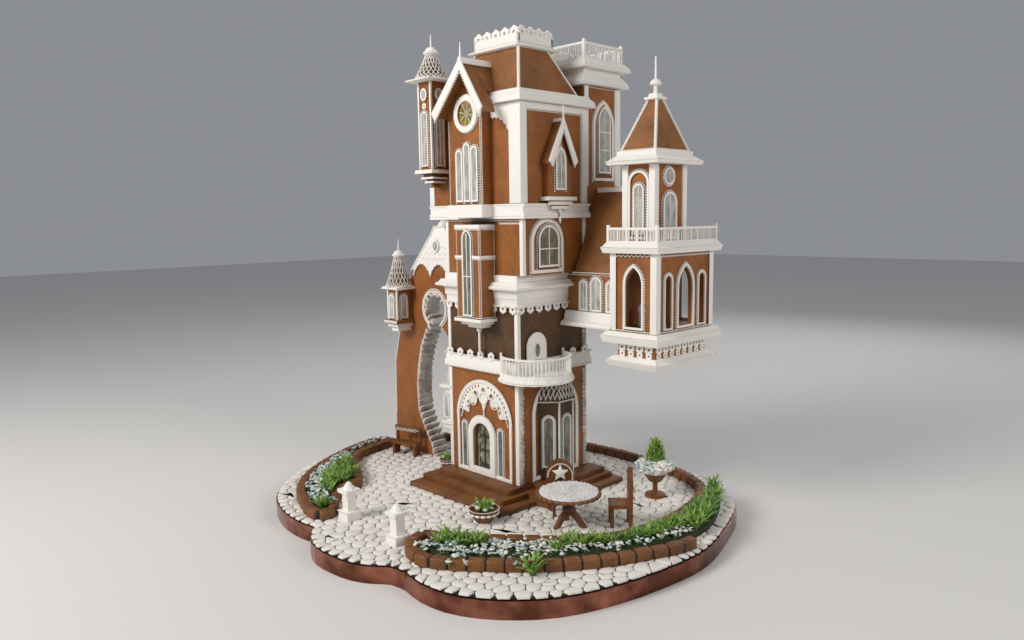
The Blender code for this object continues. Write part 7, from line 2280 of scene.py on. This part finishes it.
@dataclass
class Pots:
    """The bowls with scalloped icing rims, the urn and their plants."""

    def pot(self, name: str, x: float, y: float, foot: float, height: float, radius: float,
            planting: Planting) -> None:
        """One bowl with a scalloped rim and a tuft."""
        bowl = turned(((0.0, foot), (radius * 0.46, foot), (radius * 0.56, foot + height * 0.12),
            (radius * 0.84, foot + height * 0.5), (radius * 0.96, foot + height * 0.86),
            (radius, foot + height), (radius * 0.84, foot + height), (radius * 0.8, foot + height * 0.84),
            (0.0, foot + height * 0.82)), x, y, 28)
        hand_over(bowl, name + "_bowl", "crust_brick", [name])
        rim = Batch(name + "_rim")
        for index in range(16):
            angle = math.tau * index / 16
            at = Vector((*polar(x, y, radius * 0.97, angle), foot + height * 0.72))
            turn = Matrix.Rotation(angle, 4, "Z")
            size = Matrix.Diagonal((0.0009, radius * 0.18, height * 0.11, 1.0))
            rim.copy(SHAPES["ball"], Matrix.Translation(at) @ turn @ size)
        rim.pipe(circle(x, y, foot + height, radius, 24),  0.0007, 0.0016, closed=True)
        rim.hand_over(angle=180.0)
        for index in range(8):
            angle = math.tau * index / 8
            planting.tuft(*polar(x, y, radius * 0.4, angle), foot + height * 0.8, height * 0.85, 4, 0.5,
                1.6, planting.light)
        planting.tuft(x, y, foot + height * 0.8, height * 1.25, 12, 0.3, 1.5, planting.light)
        for index in range(7):
            angle = math.tau * index / 7 + 0.3
            planting.blossom(*polar(x, y, radius * 0.62, angle), foot + height * (1.1 + 0.12 * (index % 2)),
                radius * 0.15, index % 3 == 0)

    def build(self, planting: Planting) -> None:
        """Makes the pots."""
        for name, x, y, radius in (("pot_front", 0.0492, -0.0667, 0.018),
                ("pot_side", -0.14, 0.035, 0.012)):
            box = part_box(name)
            height = 0.0165 if name == "pot_front" else 0.013
            self.pot(name, x, y, max(box[0][2], FOOT) - 0.0002, height, radius, planting)
        dress_node("crust_brick", "urn")
        x, y = 0.1428, 0.1384
        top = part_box("urn")[1][2]
        crown = Batch("urn_tuft", "grass", "fresh_leaf")
        for layer in range(9):
            rise = 0.0075 + 0.0032 * layer
            out = 0.0096 * (1.0 - (layer / 9.0) ** 2)
            for index in range(12):
                angle = math.tau * (index + 0.5 * (layer % 2)) / 12
                planting.tuft(*polar(x, y, out, angle), top + rise, 0.0105, 2, 0.42, 1.8, crown)
        crown.hand_over(replaces=["urn_plant"], angle=180.0)
        mound = turned(((0.0, top - 0.003), (0.015, top - 0.003), (0.0215, top + 0.003),
            (0.0205, top + 0.008), (0.012, top + 0.011), (0.0, top + 0.0115)), x, y, 20)
        hand_over(mound, "urn_icing", "icing")
        for radius, rise, count in ((0.015, -0.001, 12), (0.0205, 0.002, 16), (0.0232, 0.0066, 18),
                (0.0196, 0.0106, 15), (0.0145, 0.0124, 12)):
            for index in range(count):
                angle = math.tau * (index + planting.rng.uniform(-0.2, 0.2)) / count
                blue = rise > 0.005 and planting.rng.random() < 0.6
                planting.blossom(*polar(x, y, radius, angle), top + rise, 0.0037, blue)


@dataclass
class Furniture:
    """The table, the two chairs, the bench and the gateposts."""

    def star(self, at: Matrix, radius: float) -> bpy.types.Object:
        """A flat five-pointed star."""
        rim = [Vector((0.0, -math.sin(a) * r, math.cos(a) * r)) for a,
            r in ((math.pi * k / 5, radius if k % 2 == 0 else radius * 0.45) for k in range(10))]
        piece = flat_shape([at @ p for p in rim])
        all_in_edit()
        out = (at.to_3x3() @ Vector((1.0, 0.0, 0.0))) * 0.0016
        bpy.ops.mesh.extrude_region_move(TRANSFORM_OT_translate={"value": out})
        close_edit()
        return piece

    def build(self) -> None:
        """Dresses the furniture."""
        dress_node("crust_brick", "side_chair", "table", "star_chair", "bench")
        dress_node("icing", "gatepost_left", "gatepost_right")
        icing = Batch("furniture_icing")
        dots = Batch("furniture_dots")
        edge = Batch("table_scallops", "crust_brick", "dark_gingerbread")
        tx, ty, top, radius = 0.129, -0.008, FOOT + 0.04, 0.0355
        disc = turned(((0.0, top - 0.0004), (radius - 0.002, top - 0.0004), (radius - 0.0016, top + 0.001),
            (radius - 0.003, top + 0.0018), (0.0, top + 0.0019)), tx, ty, 40)
        hand_over(disc, "table_sugar", "sugar_top")
        grains = Batch("table_grains", "sugar_top", "icing")
        rng = random.Random(33)
        for _ in range(520):
            angle, reach = rng.uniform(0.0, math.tau), (radius - 0.0026) * rng.random() ** 0.5
            at = Vector((*polar(tx, ty, reach, angle), top + 0.0019))
            grains.copy(SHAPES["bead"], Matrix.Translation(at) @ Matrix.Scale(rng.uniform(0.0007, 0.0014),
                4))
        grains.hand_over(angle=180.0)
        for index in range(26):
            angle = math.tau * index / 26
            at = Vector((*polar(tx, ty, radius - 0.0004, angle), top - 0.0012))
            edge.copy(SHAPES["ball"], Matrix.Translation(at) @ Matrix.Rotation(angle, 4,
                "Z") @ Matrix.Diagonal((0.0024, 0.0046, 0.0028, 1.0)))
        edge.hand_over(angle=180.0)
        seat = Matrix.Translation((0.0985, 0.013, 0.0)) @ Matrix.Rotation(math.radians(-38.0), 4, "Z")
        icing.absorb(self.star(seat @ Matrix.Translation((-0.0088, 0.0, FOOT + 0.048)), 0.0105))
        arch = [seat @ Vector((-0.0086, y, z)) for y, z in round_arch(0.0, 0.015, FOOT + 0.026,
            FOOT + 0.044, 12)]
        dots.pipe(arch[1:],  0.001, 0.0021)
        chair = Matrix.Translation((0.17, 0.034, 0.0)) @ Matrix.Rotation(math.radians(44.0), 4, "Z")
        for height in (0.043, 0.033):
            for x in (0.0154, 0.0106):
                bar = [chair @ Vector((x, y, FOOT + height)) for y in (-0.009, 0.009)]
                dots.pipe(bar, 0.0014, 0.0021)
        bench = Matrix.Translation((-0.234, 0.033, 0.0)) @ Matrix.Rotation(math.radians(15.0), 4, "Z")
        for y in (-0.003, 0.003):
            curl = [bench @ Vector((-0.02 + 0.04 * k / 24, y,
                FOOT + 0.038 + 0.0014 * math.sin(k * math.pi / 2))) for k in range(25)]
            dots.pipe(curl, 0.0007, 0.0011)
        for x, y in ((-0.0727, -0.1703), (0.028, -0.174)):
            for half, z in ((0.01, FOOT + 0.0105), (0.0095, FOOT + 0.035)):
                plan = (x - half, x + half, y - half, y + half)
                dots.pipe(corners_of(plan, z),  0.0009, 0.002, closed=True)
        icing.hand_over(rounding=SKIN)
        dots.hand_over(angle=180.0)


# The studio


@dataclass
class Studio:
    """The pale floor, the soft lights and the camera at the photograph's viewing angle."""

    focal: float = 800.0
    width: float = 1024.0
    position: Vector = field(default_factory=lambda: Vector((0.7175, -0.662, 0.372)) + LAYOUT_SHIFT)
    heading: float = math.radians(46.0)
    pitch: float = math.radians(7.3)
    roll: float = math.radians(-0.85)

    def floor(self) -> None:
        """The plain pale floor."""
        start_clean()
        bpy.ops.mesh.primitive_plane_add(size=12.0, location=(0.0, 0.0, 0.0))
        plane = bpy.context.active_object
        plane.name = "floor"
        material = bpy.data.materials.new("floor")
        material.use_nodes = True
        shader = material.node_tree.nodes["Principled BSDF"]
        shader.inputs["Base Color"].default_value = (0.72, 0.71, 0.69, 1.0)
        shader.inputs["Roughness"].default_value = 0.75
        plane.data.materials.append(material)

    def lamp(self, name: str, place: Vector, target: Vector, size: float, power: float,
            tint: tuple[float, float, float]) -> None:
        """One soft square light that faces a target."""
        data = bpy.data.lights.new(name, "AREA")
        data.shape = "SQUARE"
        data.size = size
        data.energy = power
        data.color = tint
        lamp = bpy.data.objects.new(name, data)
        lamp.location = place
        lamp.rotation_euler = (target - place).to_track_quat("-Z", "Y").to_euler()
        bpy.context.scene.collection.objects.link(lamp)

    def camera(self) -> None:
        """The camera, with the photograph's angle, height and lean."""
        level = Vector((-math.sin(self.heading), math.cos(self.heading), 0.0))
        right = Vector((math.cos(self.heading), math.sin(self.heading), 0.0))
        ahead = math.cos(self.pitch) * level - math.sin(self.pitch) * UP
        down = -(math.sin(self.pitch) * level + math.cos(self.pitch) * UP)
        c, s = math.cos(self.roll), math.sin(self.roll)
        right, down = c * right - s * down, s * right + c * down
        data = bpy.data.cameras.new("photo_angle")
        data.sensor_width = 36.0
        data.lens = 36.0 * self.focal / self.width
        data.clip_start = 0.02
        camera = bpy.data.objects.new("photo_angle", data)
        axes = Matrix((right, -down, -ahead)).transposed()
        camera.matrix_world = Matrix.Translation(self.position) @ axes.to_4x4()
        bpy.context.scene.collection.objects.link(camera)
        bpy.context.scene.camera = camera

    def build(self) -> None:
        """Sets the floor, the lights and the camera."""
        self.camera()
        self.floor()
        middle = Vector((0.0, 0.0, 0.24))
        self.lamp("key", Vector((-0.35, -1.55, 1.25)), middle, 0.7, 27.0, (1.0, 0.965, 0.92))
        self.lamp("side", Vector((1.65, 0.2, 0.95)), middle, 0.6, 7.5, (1.0, 0.96, 0.91))
        self.lamp("back", Vector((-0.3, 1.6, 1.2)), middle, 1.4, 7.0, (1.0, 0.97, 0.93))
        world = bpy.data.worlds.new("studio")
        world.use_nodes = True
        sky = world.node_tree.nodes["Background"]
        sky.inputs["Color"].default_value = (0.9, 0.93, 1.0, 1.0)
        sky.inputs["Strength"].default_value = 0.29
        bpy.context.scene.world = world
        bpy.context.scene.view_settings.view_transform = "Standard"


def main() -> None:
    """Builds the house, its garden and the studio."""
    logging.basicConfig(level=logging.INFO, format="%(message)s")
    make_finishes()
    make_shapes()
    for part in (GroundStorey(), BalconyStorey(), MiddleStorey(), UpperStorey(), MainRoof(), RearTower(),
            Wing(), Pavilion(), ArchWall(), Board(), Curbs(), Furniture()):
        part.build()
        log.info("%s is in place", type(part).__name__)
    planting = Planting()
    Pots().build(planting)
    planting.build()
    Studio().build()


if __name__ == "__main__":
    main()
